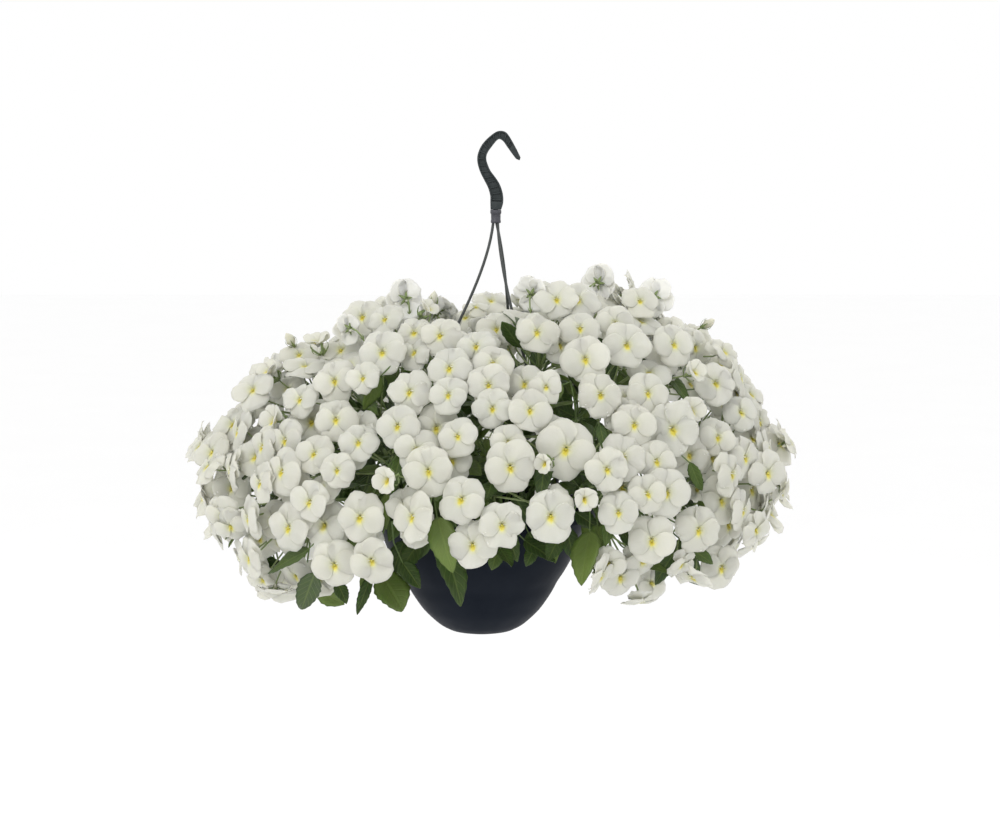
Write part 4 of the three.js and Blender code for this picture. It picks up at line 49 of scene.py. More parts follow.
# flowers: centre, facing, roll, diameter, kind, stalk start, bend, end, stalk steps, fine mesh
# leaves: stalk start, blade base, blade tip, blade normal, blade width
SHOOTS = [
 {"stem": [[-78.82,-31.63,-379.51],[-78.82,-31.63,-249.64],[-165.97,-93.59,-297.11],[-182.81,-94.46,-363.71]],
  "flowers": [
   [-213.31,-131.25,-427.82,-0.048,-0.131,-0.99,0.087,43.7,3,-181.35,-93.82,-361.01,-197.21,-112.21,-391.94,-213.07,-130.6,-422.87,1,1],
   [-246.64,-126.31,-396.9,-0.821,-0.366,-0.438,-0.103,43.7,0,-173.05,-90.16,-345.67,-207.79,-107.32,-370.19,-242.53,-124.48,-394.71,1,1],
   [-192.74,-151.74,-407.04,-0.553,-0.708,-0.44,-0.425,42.9,0,-179.4,-92.96,-357.41,-184.69,-120.58,-381.13,-189.98,-148.2,-404.84,1,0],
   [-228.36,-102.53,-420.97,-0.449,-0.708,-0.545,-0.027,38.5,0,-176.53,-91.69,-352.09,-201.32,-95.34,-385.17,-226.12,-98.99,-418.24,1,0]],
  "leaves": [
   [-142.72,-73.89,-310.37,-120.97,-148.43,-407.93,-134.58,-160.43,-441.74,-0.263,-0.871,0.415,11.1],
   [-134.42,-68.71,-305.94,-146.76,-72.85,-291.39,-180.2,-80.7,-269.33,0.35,0.578,0.737,20.7],
   [-134.9,-69.01,-306.2,-158.51,-79.94,-293.25,-192.01,-93.05,-288.99,0.147,-0.055,0.988,18.2]]},
 {"stem": [[-57.37,55.42,-379.51],[-57.37,55.42,-258.02],[-127.75,136.39,-301.88],[-135.16,149.47,-365.99]],
  "flowers": [
   [-164.13,163.6,-413.67,-0.537,0.422,-0.731,-0.092,42.5,0,-131.1,144.12,-355.08,-146.27,152.81,-382.55,-161.44,161.49,-410.02,1,0],
   [-101.26,216.03,-413.7,-0.168,0.884,-0.436,-0.259,47.8,0,-130.76,143.67,-354.17,-115.59,177.64,-382.84,-100.42,211.61,-411.52,1,0],
   [-207.08,125.55,-423.64,-0.651,0.641,-0.406,0.108,43.0,0,-134.2,148.2,-363.41,-187.74,106.51,-411.57,-203.82,122.34,-421.61,2,0],
   [-207.75,175.8,-372.96,-0.715,0.628,-0.306,0.277,44.0,0,-134.2,148.2,-363.41,-169.19,160.43,-367.42,-204.17,172.66,-371.43,1,0],
   [-164.5,206.26,-381.49,-0.279,0.952,-0.127,-0.009,21.6,2,-131.86,145.12,-357.12,-147.43,173.12,-368.96,-162.99,201.13,-380.8,1,0],
   [-128.03,187.68,-413.83,-0.392,0.654,-0.647,0.145,45.2,0,-134.2,148.2,-363.41,-130.13,166.31,-387.0,-126.07,184.41,-410.59,1,0]],
  "leaves": [
   [-112.88,120.84,-318.62,-132.26,127.63,-313.66,-173.79,142.88,-308.2,0.251,0.362,0.898,23.2],
   [-77.02,78.27,-315.49,-96.02,84.15,-329.01,-119.55,98.07,-360.4,-0.706,0.277,0.652,18.7],
   [-75.98,77.06,-316.55,-75.69,74.46,-338.58,-70.54,66.52,-378.34,0.764,-0.607,0.22,22.7]]},
 {"stem": [[18.63,-64.8,-379.51],[18.63,-64.8,-257.45],[73.7,-148.99,-298.22],[101.36,-186.59,-361.82]],
  "flowers": [
   [137.05,-234.77,-357.29,0.104,-0.994,-0.035,0.052,46.8,0,97.31,-180.89,-354.48,116.92,-205.35,-355.8,136.53,-229.8,-357.12,1,1],
   [91.5,-245.12,-387.56,0.852,-0.31,-0.423,-0.094,39.5,3,96.55,-179.82,-353.09,91.89,-211.69,-369.27,87.24,-243.57,-385.45,1,1],
   [130.82,-185.79,-424.87,0.171,-0.296,-0.94,0.212,37.0,3,90.79,-171.72,-342.65,110.38,-178.01,-381.41,129.97,-184.31,-420.17,1,1],
   [110.47,-214.35,-395.68,0.328,-0.889,-0.319,0.014,42.8,0,99.94,-184.59,-359.25,104.38,-197.25,-376.67,108.83,-209.9,-394.08,1,0]],
  "leaves": [
   [62.86,-131.27,-307.45,81.98,-217.75,-351.57,71.84,-252.88,-393.26,-0.342,-0.676,0.653,29.2],
   [80.57,-157.17,-326.35,168.86,-177.36,-368.21,143.62,-159.85,-414.2,-0.672,-0.735,0.089,19.4],
   [84.19,-162.43,-330.67,109.77,-206.43,-348.98,120.78,-222.63,-367.22,-0.233,-0.793,0.563,11.6],
   [87.26,-166.75,-336.24,101.94,-214.78,-329.11,95.55,-238.5,-361.5,0.159,-0.811,0.563,14.0],
   [54.69,-119.09,-305.6,130.47,-172.13,-388.04,154.69,-196.58,-394.5,-0.177,-0.412,0.894,13.0]]},
 {"stem": [[-94.64,-8.0,-379.51],[-94.64,-8.0,-254.9],[-188.72,-38.92,-294.58],[-228.74,-49.94,-365.35]],
  "flowers": [
   [-289.63,-54.81,-342.58,-0.961,-0.034,-0.276,0.174,43.1,0,-219.32,-47.19,-352.94,-252.07,-50.92,-347.07,-284.83,-54.64,-341.2,1,1],
   [-274.67,-97.79,-373.12,-0.922,-0.097,-0.375,0.092,42.3,0,-226.75,-49.36,-362.73,-248.41,-73.33,-366.99,-270.06,-97.31,-371.25,1,1],
   [-235.86,-57.54,-418.54,-0.754,-0.368,-0.544,0.088,44.6,0,-220.47,-47.52,-354.46,-208.81,-44.35,-399.04,-232.09,-55.7,-415.82,1,0],
   [-239.68,-20.33,-415.26,-0.237,-0.378,-0.895,0.027,37.5,0,-209.65,-44.36,-340.2,-224.07,-31.4,-375.49,-238.5,-18.44,-410.78,1,0],
   [-276.83,-49.24,-381.18,-0.83,-0.005,-0.558,-0.005,40.0,0,-226.75,-49.36,-362.73,-249.72,-49.29,-370.56,-272.68,-49.22,-378.39,1,0]],
  "leaves": [
   [-219.95,-47.37,-353.78,-238.98,-51.54,-361.35,-270.57,-64.59,-385.09,-0.593,-0.028,0.805,22.4],
   [-221.72,-47.89,-356.11,-197.36,-35.64,-360.93,-160.77,-17.7,-378.21,-0.059,0.752,0.656,20.4],
   [-146.53,-24.75,-303.51,-160.21,-28.94,-312.54,-185.87,-34.75,-333.74,-0.632,-0.036,0.774,15.0]]},
 {"stem": [[25.26,-38.39,-379.51],[25.26,-38.39,-274.42],[124.4,-101.58,-307.7],[185.18,-145.01,-353.4]],
  "flowers": [
   [182.1,-203.34,-353.23,0.342,-0.94,0.0,0.147,45.6,0,175.11,-138.0,-346.99,177.75,-168.32,-350.11,180.39,-198.64,-353.23,1,1],
   [208.69,-153.1,-398.4,0.405,-0.908,-0.104,0.127,43.2,0,178.31,-140.23,-349.02,192.49,-144.39,-373.45,206.67,-148.56,-397.88,1,1],
   [178.11,-181.65,-402.18,-0.526,-0.369,-0.766,0.093,40.7,3,173.52,-136.89,-345.98,177.13,-158.35,-372.16,180.74,-179.81,-398.35,1,1],
   [227.53,-157.97,-343.41,0.858,-0.495,-0.139,0.073,41.0,0,163.52,-129.93,-339.61,193.38,-142.71,-341.16,223.24,-155.49,-342.71,1,1],
   [241.64,-146.35,-363.86,0.677,-0.677,-0.289,-0.081,38.2,0,182.51,-143.15,-351.7,210.38,-143.06,-357.06,238.25,-142.97,-362.42,1,0],
   [217.17,-129.76,-361.61,0.609,-0.786,-0.108,0.049,46.1,0,181.93,-142.75,-351.33,198.03,-134.29,-356.2,214.12,-125.83,-361.07,1,0]],
  "leaves": [
   [129.83,-106.94,-322.54,176.43,-176.38,-375.92,198.67,-178.03,-389.72,0.256,-0.821,0.511,13.0],
   [74.58,-70.3,-310.9,143.83,-166.71,-276.26,138.75,-203.31,-300.61,0.281,-0.558,0.781,14.0],
   [146.52,-118.16,-329.47,161.77,-131.13,-321.66,191.38,-160.04,-306.0,-0.163,0.336,0.928,24.4]]},
 {"stem": [[31.65,26.68,-379.51],[31.65,26.68,-273.49],[135.67,83.55,-304.81],[173.61,96.32,-351.59]],
  "flowers": [
   [219.65,145.34,-361.99,0.845,0.527,-0.093,-0.148,37.5,0,171.27,95.34,-349.61,193.35,119.02,-355.57,215.43,142.71,-361.52,1,0],
   [242.2,90.94,-383.48,0.791,0.576,-0.206,-0.067,37.5,0,169.56,94.63,-348.16,207.77,65.86,-374.53,238.25,88.06,-382.45,1,0],
   [198.78,152.98,-396.4,0.657,0.663,-0.359,-0.172,41.9,0,164.51,92.52,-343.9,170.33,124.3,-380.86,195.49,149.67,-394.6,2,0],
   [231.05,134.57,-308.69,0.664,0.079,0.743,0.197,47.4,0,155.11,88.6,-335.95,191.42,111.39,-324.18,227.73,134.18,-312.41,1,0]],
  "leaves": [
   [165.2,92.81,-344.48,186.85,99.05,-347.06,224.2,109.44,-353.79,0.107,0.24,0.965,18.9],
   [112.41,68.77,-312.99,109.58,64.92,-326.27,109.41,50.22,-366.82,0.974,0.212,-0.081,20.0],
   [139.26,81.78,-323.93,144.45,96.81,-330.91,152.45,128.66,-348.71,0.098,0.467,0.879,17.0]]},
 {"stem": [[48.35,5.39,-379.51],[48.35,5.39,-274.36],[156.64,9.51,-305.55],[219.8,9.84,-348.62]],
  "flowers": [
   [274.48,21.27,-332.18,0.865,0.489,-0.113,0.142,39.5,0,207.52,9.67,-341.7,242.44,3.14,-327.99,270.16,18.82,-331.61,1,0],
   [265.62,-26.37,-355.19,0.965,-0.264,0.001,-0.325,35.2,1,208.32,9.68,-342.15,231.87,-6.95,-348.67,255.43,-23.58,-355.2,1,0],
   [254.72,11.34,-385.28,0.907,0.162,-0.389,-0.311,38.2,0,216.85,9.8,-346.96,227.93,6.55,-373.79,250.19,10.53,-383.33,1,0],
   [257.8,54.98,-377.46,0.927,0.186,-0.326,-0.14,39.5,0,207.0,9.67,-341.4,219.47,47.3,-363.98,253.16,54.05,-375.83,1,0]],
  "leaves": [
   [85.38,6.68,-315.78,100.62,11.63,-312.91,139.39,14.68,-314.02,0.04,-0.15,0.988,21.5],
   [94.45,6.98,-310.25,105.71,9.59,-319.42,134.44,15.21,-353.69,-0.014,0.989,0.151,21.9],
   [173.31,9.13,-323.98,185.59,9.31,-332.95,208.99,6.19,-355.87,0.691,-0.087,0.718,17.2]]},
 {"stem": [[-64.72,-35.09,-379.51],[-64.72,-35.09,-272.84],[-158.96,-103.84,-303.4],[-185.09,-128.8,-338.27]],
  "flowers": [
   [-233.46,-170.1,-348.15,-0.846,-0.529,-0.07,-0.116,42.7,0,-181.52,-125.81,-335.63,-205.37,-146.63,-341.72,-229.23,-167.46,-347.8,1,1],
   [-260.75,-140.53,-351.6,-0.315,-0.888,-0.336,0.006,40.8,0,-182.86,-126.93,-336.62,-221.02,-131.51,-343.27,-259.18,-136.09,-349.92,1,0],
   [-234.41,-165.93,-386.96,-0.81,-0.527,-0.256,-0.103,42.1,0,-177.14,-122.14,-332.39,-203.75,-142.72,-359.04,-230.36,-163.29,-385.68,1,0],
   [-211.51,-163.12,-351.27,-0.418,-0.902,0.107,0.123,39.0,0,-183.03,-127.08,-336.75,-196.23,-142.84,-344.28,-209.42,-158.61,-351.81,1,0]],
  "leaves": [
   [-145.26,-95.84,-312.04,-170.65,-183.14,-397.18,-189.36,-135.55,-446.23,-0.271,-0.74,-0.615,22.5],
   [-138.44,-90.59,-310.9,-161.71,-100.31,-322.13,-184.75,-116.39,-344.6,-0.522,-0.344,0.781,17.0],
   [-172.86,-118.56,-329.24,-189.59,-120.54,-335.51,-215.11,-117.22,-358.28,-0.65,-0.341,0.679,17.6]]},
 {"stem": [[35.56,-14.32,-379.51],[35.56,-14.32,-263.11],[146.2,-60.25,-293.92],[207.06,-83.7,-346.21]],
  "flowers": [
   [273.2,-101.96,-329.35,0.97,-0.034,-0.242,-0.131,42.1,0,189.41,-76.76,-334.14,228.88,-89.27,-331.14,268.35,-101.79,-328.14,1,1],
   [254.31,-113.51,-354.85,0.93,-0.131,-0.342,0.062,41.9,0,204.15,-82.56,-344.22,226.91,-97.71,-348.68,249.66,-112.86,-353.14,1,1],
   [253.98,-127.45,-312.45,0.572,-0.82,0.028,-0.01,45.3,0,180.15,-73.12,-327.81,215.63,-98.23,-320.2,251.12,-123.35,-312.59,1,0],
   [250.79,-56.35,-394.52,0.567,-0.376,-0.733,-0.299,45.7,0,194.08,-78.6,-337.34,224.85,-33.81,-363.78,247.95,-54.47,-390.85,2,0],
   [226.1,-95.37,-390.35,0.755,-0.37,-0.541,0.169,48.8,0,197.03,-79.76,-339.35,209.68,-86.64,-363.5,222.32,-93.52,-387.64,1,0]],
  "leaves": [
   [117.9,-48.12,-302.74,143.98,-49.91,-316.38,170.17,-52.49,-334.98,0.582,0.172,0.795,16.8],
   [181.68,-73.72,-328.86,187.89,-90.52,-328.53,196.18,-129.19,-332.02,0.189,-0.048,0.981,22.1],
   [180.57,-73.28,-328.1,200.04,-88.05,-321.21,239.22,-110.04,-318.17,0.05,0.224,0.973,23.7]]},
 {"stem": [[-72.42,10.42,-379.51],[-72.42,10.42,-272.92],[-190.95,27.37,-301.53],[-216.59,27.3,-340.67]],
  "flowers": [
   [-300.15,0.0,-299.23,-0.992,-0.069,-0.104,0.036,40.1,0,-212.04,26.92,-337.5,-260.47,16.71,-304.56,-295.19,0.35,-298.71,2,1],
   [-242.19,87.71,-397.99,-0.767,0.463,-0.443,-0.074,48.4,0,-214.14,27.1,-338.96,-205.94,65.82,-377.06,-238.35,85.39,-395.77,1,0],
   [-272.99,86.35,-325.77,-0.98,0.184,0.079,-0.017,45.6,0,-198.38,25.77,-327.98,-233.24,55.6,-327.07,-268.09,85.43,-326.16,1,0],
   [-252.66,18.11,-406.9,-0.955,0.103,-0.279,-0.034,45.1,0,-208.55,26.63,-335.06,-209.62,13.45,-394.31,-247.89,17.59,-405.5,1,0],
   [-284.25,-4.91,-346.83,-0.972,0.039,0.231,-0.195,40.4,0,-195.33,25.52,-325.85,-237.36,10.21,-336.92,-279.39,-5.11,-347.98,1,0],
   [-275.97,67.38,-364.21,-0.96,-0.272,-0.074,-0.22,42.0,0,-208.98,26.66,-335.36,-240.08,47.7,-349.6,-271.17,68.74,-363.84,1,0],
   [-280.76,27.62,-324.62,-0.957,0.18,0.228,0.374,45.6,0,-198.03,25.74,-327.73,-237.0,26.23,-326.74,-275.97,26.72,-325.76,1,0]],
  "leaves": [
   [-128.12,18.0,-306.4,-145.13,14.33,-297.8,-180.32,-0.21,-292.28,0.062,0.221,0.973,21.0],
   [-179.55,24.19,-314.85,-198.17,11.27,-330.2,-220.42,0.28,-354.2,-0.76,0.169,0.627,18.8],
   [-100.47,14.28,-321.76,-115.89,24.59,-317.95,-150.36,50.76,-326.67,-0.534,-0.469,0.703,22.5]]},
 {"stem": [[-52.07,-46.71,-379.51],[-52.07,-46.71,-279.56],[-105.99,-151.33,-307.11],[-127.58,-192.5,-340.48]],
  "flowers": [
   [-171.22,-226.34,-323.75,-0.53,-0.848,0.035,0.212,39.7,0,-116.94,-172.05,-329.48,-142.76,-197.08,-326.7,-168.57,-222.1,-323.92,1,1],
   [-124.49,-247.61,-333.79,-0.173,-0.982,0.07,0.031,46.4,0,-125.11,-187.75,-337.93,-124.37,-215.23,-336.03,-123.62,-242.7,-334.14,1,1],
   [-192.2,-208.43,-350.2,-0.5,-0.866,0.0,0.175,45.5,0,-116.66,-171.52,-329.19,-153.18,-187.81,-339.7,-189.7,-204.1,-350.2,1,1],
   [-114.59,-253.5,-372.03,-0.138,-0.985,-0.104,-0.342,41.0,0,-118.51,-175.07,-331.1,-116.21,-211.82,-351.31,-113.9,-248.58,-371.51,1,1],
   [-149.18,-233.19,-379.87,-0.173,-0.984,-0.035,-0.232,45.0,0,-126.26,-189.95,-339.11,-137.28,-209.11,-359.4,-148.31,-228.27,-379.7,1,1],
   [-159.36,-212.54,-346.8,-0.415,-0.909,0.029,0.028,46.9,0,-126.26,-189.95,-339.11,-149.7,-193.2,-349.0,-157.28,-207.99,-346.94,2,0]],
  "leaves": [
   [-78.45,-97.82,-312.64,-113.66,-127.22,-408.33,-90.51,-139.22,-442.53,0.445,-0.707,0.549,34.6],
   [-123.78,-185.2,-336.55,-89.94,-216.16,-283.12,-96.07,-242.26,-312.73,0.153,-0.757,0.635,13.2],
   [-69.42,-80.33,-320.79,-63.72,-96.19,-345.15,-53.52,-127.99,-375.79,-0.381,-0.702,0.602,21.1]]},
 {"stem": [[-24.29,46.24,-379.51],[-24.29,46.24,-265.24],[-26.18,174.81,-293.98],[-23.53,203.19,-336.38]],
  "flowers": [
   [-53.15,237.38,-292.49,-0.212,0.271,0.939,-0.074,43.3,0,-23.73,197.48,-332.01,-37.91,216.75,-314.59,-52.09,236.02,-297.18,1,0],
   [25.55,261.61,-337.33,-0.157,0.96,-0.23,-0.127,37.5,0,-24.26,182.49,-320.53,20.7,199.13,-326.02,26.34,256.81,-336.18,2,0],
   [-14.57,249.55,-384.31,-0.306,0.948,-0.092,0.093,42.4,0,-23.63,200.22,-334.11,-2.69,212.77,-380.74,-13.04,244.81,-383.85,1,0],
   [-88.78,256.23,-315.45,-0.246,0.852,0.462,-0.095,45.9,0,-23.66,199.57,-333.61,-55.6,225.77,-325.68,-87.55,251.97,-317.76,1,0],
   [-38.13,257.2,-322.32,-0.229,0.942,0.245,-0.141,48.4,0,-23.62,200.62,-334.42,-30.3,226.56,-328.98,-36.99,252.49,-323.55,1,0],
   [-48.48,231.34,-409.49,-0.015,0.958,-0.287,0.032,41.5,0,-23.81,195.17,-330.24,-47.77,185.16,-395.68,-48.41,226.55,-408.06,1,0],
   [30.89,220.23,-406.53,0.137,0.942,-0.307,-0.25,38.8,0,-23.84,194.3,-329.57,26.33,188.89,-396.31,30.21,215.52,-404.99,2,0],
   [14.62,248.02,-299.49,0.351,0.904,0.244,0.039,42.1,0,-24.12,186.52,-323.61,-5.63,215.01,-312.16,12.87,243.5,-300.71,1,0],
   [-92.9,246.64,-377.39,0.079,0.989,-0.128,-0.268,41.7,0,-23.72,197.92,-332.35,-58.51,219.81,-354.55,-93.3,241.7,-376.75,1,0]],
  "leaves": [
   [-24.93,127.7,-299.57,-21.57,153.12,-296.07,-25.42,191.82,-302.06,-0.038,0.149,0.988,20.8],
   [-24.76,164.32,-308.97,-27.54,180.76,-312.01,-32.46,223.36,-322.43,-0.227,0.207,0.952,22.0],
   [-24.82,103.95,-303.08,-4.28,120.51,-292.86,25.81,153.92,-289.39,0.009,-0.111,0.994,19.9]]},
 {"stem": [[13.91,39.48,-379.51],[13.91,39.48,-274.95],[79.17,145.48,-301.89],[111.2,185.0,-330.4]],
  "flowers": [
   [154.14,186.44,-404.68,0.508,0.775,-0.375,0.111,40.5,0,100.58,170.56,-323.04,127.52,145.86,-385.03,151.6,182.57,-402.8,1,0],
   [83.66,245.98,-354.24,0.398,0.879,0.262,-0.034,19.0,2,107.16,179.52,-327.61,94.46,210.66,-341.55,81.76,241.8,-355.49,1,0],
   [178.53,194.4,-317.49,0.607,0.752,0.255,-0.092,43.9,0,104.86,176.38,-326.01,140.17,183.51,-322.39,175.49,190.64,-318.77,1,0],
   [128.96,231.53,-362.14,0.403,0.912,-0.081,-0.039,48.1,0,100.36,170.27,-322.9,113.65,198.62,-342.31,126.94,226.97,-361.73,1,0],
   [88.0,248.44,-311.37,0.418,0.813,0.406,-0.095,43.6,0,102.02,172.52,-324.04,66.79,223.71,-306.6,85.91,244.38,-313.4,2,0],
   [113.09,224.81,-286.26,0.544,0.74,0.397,0.03,42.7,0,109.36,182.5,-329.13,109.86,201.8,-308.68,110.37,221.11,-288.24,1,0],
   [97.22,219.75,-392.57,0.445,0.836,-0.321,0.074,46.3,0,99.3,168.83,-322.16,76.68,181.15,-377.77,95.0,215.57,-390.97,1,0],
   [176.47,200.24,-368.03,0.7,0.675,-0.234,-0.071,38.2,0,103.38,174.37,-324.98,138.17,185.62,-345.92,172.97,196.86,-366.86,1,0],
   [142.18,230.39,-324.45,0.589,0.772,0.239,0.154,34.0,1,101.92,172.39,-323.97,119.05,197.45,-325.43,136.17,222.51,-326.88,1,0]],
  "leaves": [
   [85.3,149.63,-312.93,89.81,166.16,-317.75,101.41,203.31,-340.15,0.419,0.369,0.829,20.8],
   [32.53,69.18,-317.15,37.09,85.07,-325.53,46.01,117.33,-348.25,-0.476,0.591,0.652,22.2],
   [47.15,92.02,-307.79,49.67,107.99,-321.11,47.11,127.73,-350.3,0.189,0.821,0.539,16.2]]},
 {"stem": [[-72.49,20.89,-379.51],[-72.49,20.89,-269.9],[-166.23,93.18,-296.47],[-195.62,112.92,-333.53]],
  "flowers": [
   [-248.33,131.79,-308.94,-0.794,0.339,0.505,0.015,39.1,0,-193.41,111.33,-331.96,-218.89,120.71,-321.71,-244.36,130.09,-311.47,1,0],
   [-213.6,171.14,-316.76,-0.717,0.526,0.458,-0.245,33.3,1,-193.41,111.33,-331.96,-199.93,138.61,-326.65,-206.44,165.89,-321.34,1,0],
   [-252.93,112.94,-352.69,-0.924,0.279,-0.263,-0.048,46.6,0,-178.25,100.4,-321.21,-212.71,100.79,-341.26,-248.31,111.55,-351.38,1,0],
   [-233.04,134.86,-394.63,-0.658,0.717,-0.231,-0.186,38.0,0,-193.41,111.33,-331.96,-205.51,104.89,-384.99,-229.75,131.28,-393.48,1,0]],
  "leaves": [
   [-161.35,88.21,-309.23,-189.76,93.93,-315.22,-229.08,98.91,-334.43,-0.447,-0.103,0.888,20.6],
   [-114.2,52.79,-304.67,-139.98,62.27,-301.58,-176.71,73.77,-310.18,-0.161,0.206,0.965,20.2],
   [-135.45,68.81,-304.58,-150.82,84.72,-301.25,-180.95,117.7,-311.82,-0.261,0.07,0.963,24.9]]},
 {"stem": [[-17.31,-49.24,-379.51],[-17.31,-49.24,-279.97],[-6.41,-174.61,-300.32],[-4.75,-211.09,-321.56]],
  "flowers": [
   [9.25,-257.14,-287.02,-0.035,-0.997,0.07,-0.118,47.8,0,-4.95,-208.11,-320.64,2.24,-230.13,-304.0,9.42,-252.15,-287.37,1,1],
   [-33.06,-272.05,-313.56,-0.07,-0.997,0.035,0.411,44.0,0,-6.8,-180.61,-312.07,-19.75,-223.84,-312.9,-32.71,-267.06,-313.73,1,1],
   [45.1,-269.65,-328.89,0.035,-0.999,0.035,-0.043,47.7,0,-6.41,-186.37,-313.86,19.26,-225.51,-321.46,44.93,-264.66,-329.06,1,1],
   [2.1,-276.26,-336.1,0.07,-0.995,0.07,0.004,42.3,0,-5.11,-205.75,-319.9,-4.16,-253.42,-334.22,1.75,-271.28,-336.45,2,1],
   [-23.95,-268.02,-355.29,-0.104,-0.992,-0.07,-0.067,44.1,0,-5.44,-200.77,-318.35,-14.44,-231.91,-336.64,-23.43,-263.06,-354.94,1,1]],
  "leaves": [
   [-13.49,-94.43,-314.53,23.02,-140.68,-374.98,52.93,-152.68,-391.81,0.121,-0.694,0.71,19.1],
   [-12.0,-112.31,-306.34,0.4,-160.41,-378.92,11.55,-172.41,-393.65,0.379,-0.556,0.74,20.6],
   [-11.52,-118.39,-306.31,-39.16,-141.38,-370.07,-18.35,-153.38,-391.67,0.067,-0.844,0.533,15.3]]},
 {"stem": [[-63.73,-17.46,-379.51],[-63.73,-17.46,-285.89],[-182.88,-58.92,-290.38],[-215.76,-74.41,-332.3]],
  "flowers": [
   [-253.83,-134.71,-309.46,-0.951,-0.309,0.0,0.322,43.3,0,-211.14,-72.54,-329.61,-230.11,-102.85,-319.54,-249.07,-133.17,-309.46,1,1],
   [-251.23,-90.37,-277.54,-0.905,-0.403,0.139,0.121,42.3,0,-213.19,-73.37,-330.8,-229.95,-80.86,-304.52,-246.71,-88.36,-278.24,1,1],
   [-278.91,-75.03,-299.61,-0.56,-0.714,0.419,-0.343,44.1,0,-213.19,-73.37,-330.8,-244.65,-72.41,-316.25,-276.11,-71.46,-301.7,1,0],
   [-257.86,-89.82,-331.7,-0.453,-0.831,0.322,-0.153,44.6,0,-206.42,-70.62,-326.86,-231.01,-78.14,-330.09,-255.59,-85.66,-333.31,1,0],
   [-277.55,-113.64,-307.97,-0.636,-0.489,0.597,0.017,38.7,0,-203.32,-69.35,-325.05,-264.86,-101.19,-301.37,-274.37,-111.19,-310.95,2,0],
   [-249.0,-74.03,-290.37,-0.579,-0.531,0.619,-0.068,46.8,0,-205.75,-70.34,-326.47,-225.93,-70.86,-309.97,-246.11,-71.38,-293.47,1,0],
   [-273.88,-35.86,-295.03,-0.897,-0.059,0.438,0.248,39.6,0,-213.19,-73.37,-330.8,-235.49,-33.32,-313.79,-269.4,-35.56,-297.22,1,0]],
  "leaves": [
   [-121.18,-37.88,-307.01,-132.66,-37.65,-322.4,-150.74,-42.83,-348.55,-0.742,-0.336,0.58,17.4],
   [-110.4,-34.02,-313.05,-122.54,-27.71,-321.22,-152.32,-16.71,-347.65,-0.646,0.075,0.759,19.5],
   [-122.81,-38.46,-306.1,-135.86,-29.03,-320.91,-159.01,-8.07,-349.88,-0.811,-0.1,0.576,21.2]]},
 {"stem": [[-30.73,-41.19,-379.51],[-30.73,-41.19,-292.58],[-58.77,-170.21,-294.94],[-63.46,-220.96,-317.77]],
  "flowers": [
   [-74.04,-236.49,-274.59,-0.079,-0.954,0.289,0.242,41.1,0,-60.7,-201.17,-312.51,-67.18,-216.44,-294.27,-73.65,-231.72,-276.03,1,1],
   [-63.39,-255.71,-290.82,-0.104,-0.992,0.07,-0.206,44.3,0,-61.79,-208.95,-314.57,-62.33,-229.85,-302.87,-62.87,-250.75,-291.17,1,1],
   [-77.53,-264.49,-330.45,-0.612,-0.784,0.104,-0.056,44.2,0,-61.44,-206.44,-313.91,-67.95,-233.51,-322.44,-74.47,-260.57,-330.97,1,1],
   [-98.87,-253.64,-299.35,-0.497,-0.861,-0.104,0.002,35.5,1,-63.01,-217.75,-316.91,-78.29,-231.1,-307.57,-93.57,-244.46,-298.24,1,1]],
  "leaves": [
   [-49.0,-131.05,-305.3,-55.72,-250.33,-333.97,-42.1,-267.78,-380.31,-0.126,-0.94,0.317,26.2],
   [-59.92,-195.53,-311.01,-75.71,-121.43,-378.53,-96.27,-133.43,-409.98,0.131,-0.952,0.278,17.8],
   [-56.65,-173.42,-306.2,-79.78,-178.13,-320.55,-109.51,-184.1,-350.64,-0.599,-0.429,0.676,22.9]]},
 {"stem": [[-4.83,-46.46,-379.51],[-4.83,-46.46,-297.55],[68.42,-152.12,-293.84],[97.11,-196.68,-311.92]],
  "flowers": [
   [122.11,-209.53,-255.3,0.048,-0.959,0.281,0.079,41.7,0,93.37,-191.03,-310.65,107.62,-197.88,-283.68,121.87,-204.74,-256.7,1,1],
   [110.0,-230.65,-281.57,0.128,-0.942,0.309,-0.003,44.9,0,82.16,-174.08,-306.84,95.76,-200.01,-294.98,109.36,-225.94,-283.12,1,1],
   [95.27,-247.83,-290.32,0.041,-0.952,0.303,-0.23,40.9,0,82.24,-174.2,-306.87,88.65,-208.63,-299.35,95.06,-243.07,-291.84,1,1],
   [150.75,-227.02,-314.64,0.241,-0.965,0.104,0.085,45.0,0,91.44,-188.11,-310.0,150.09,-205.03,-311.0,149.55,-222.2,-315.16,2,1],
   [132.32,-239.8,-313.81,0.303,-0.943,0.136,-0.232,37.5,0,95.31,-193.96,-311.31,113.06,-214.52,-312.9,130.8,-235.08,-314.49,1,1],
   [105.57,-252.71,-328.55,0.035,-0.985,0.171,-0.133,37.3,0,84.03,-176.9,-307.48,94.71,-212.34,-318.44,105.39,-247.79,-329.41,1,1],
   [91.58,-201.42,-228.91,0.169,-0.956,0.242,0.049,41.7,0,93.5,-191.22,-310.69,92.12,-193.93,-270.41,90.74,-196.64,-230.12,1,1],
   [141.9,-218.24,-287.74,0.308,-0.949,0.07,-0.09,37.9,0,94.49,-192.72,-311.03,117.42,-203.11,-299.56,140.36,-213.5,-288.09,1,1],
   [75.01,-260.58,-315.15,0.24,-0.961,-0.139,0.047,31.9,1,95.31,-193.96,-311.31,84.02,-222.68,-312.56,72.72,-251.39,-313.82,1,1]],
  "leaves": [
   [76.79,-165.96,-305.02,56.96,-188.86,-221.64,39.46,-200.16,-244.14,-0.013,-0.89,0.456,13.4],
   [84.1,-177.01,-307.5,174.67,-186.86,-293.85,186.33,-183.18,-322.3,-0.163,-0.968,-0.192,12.3],
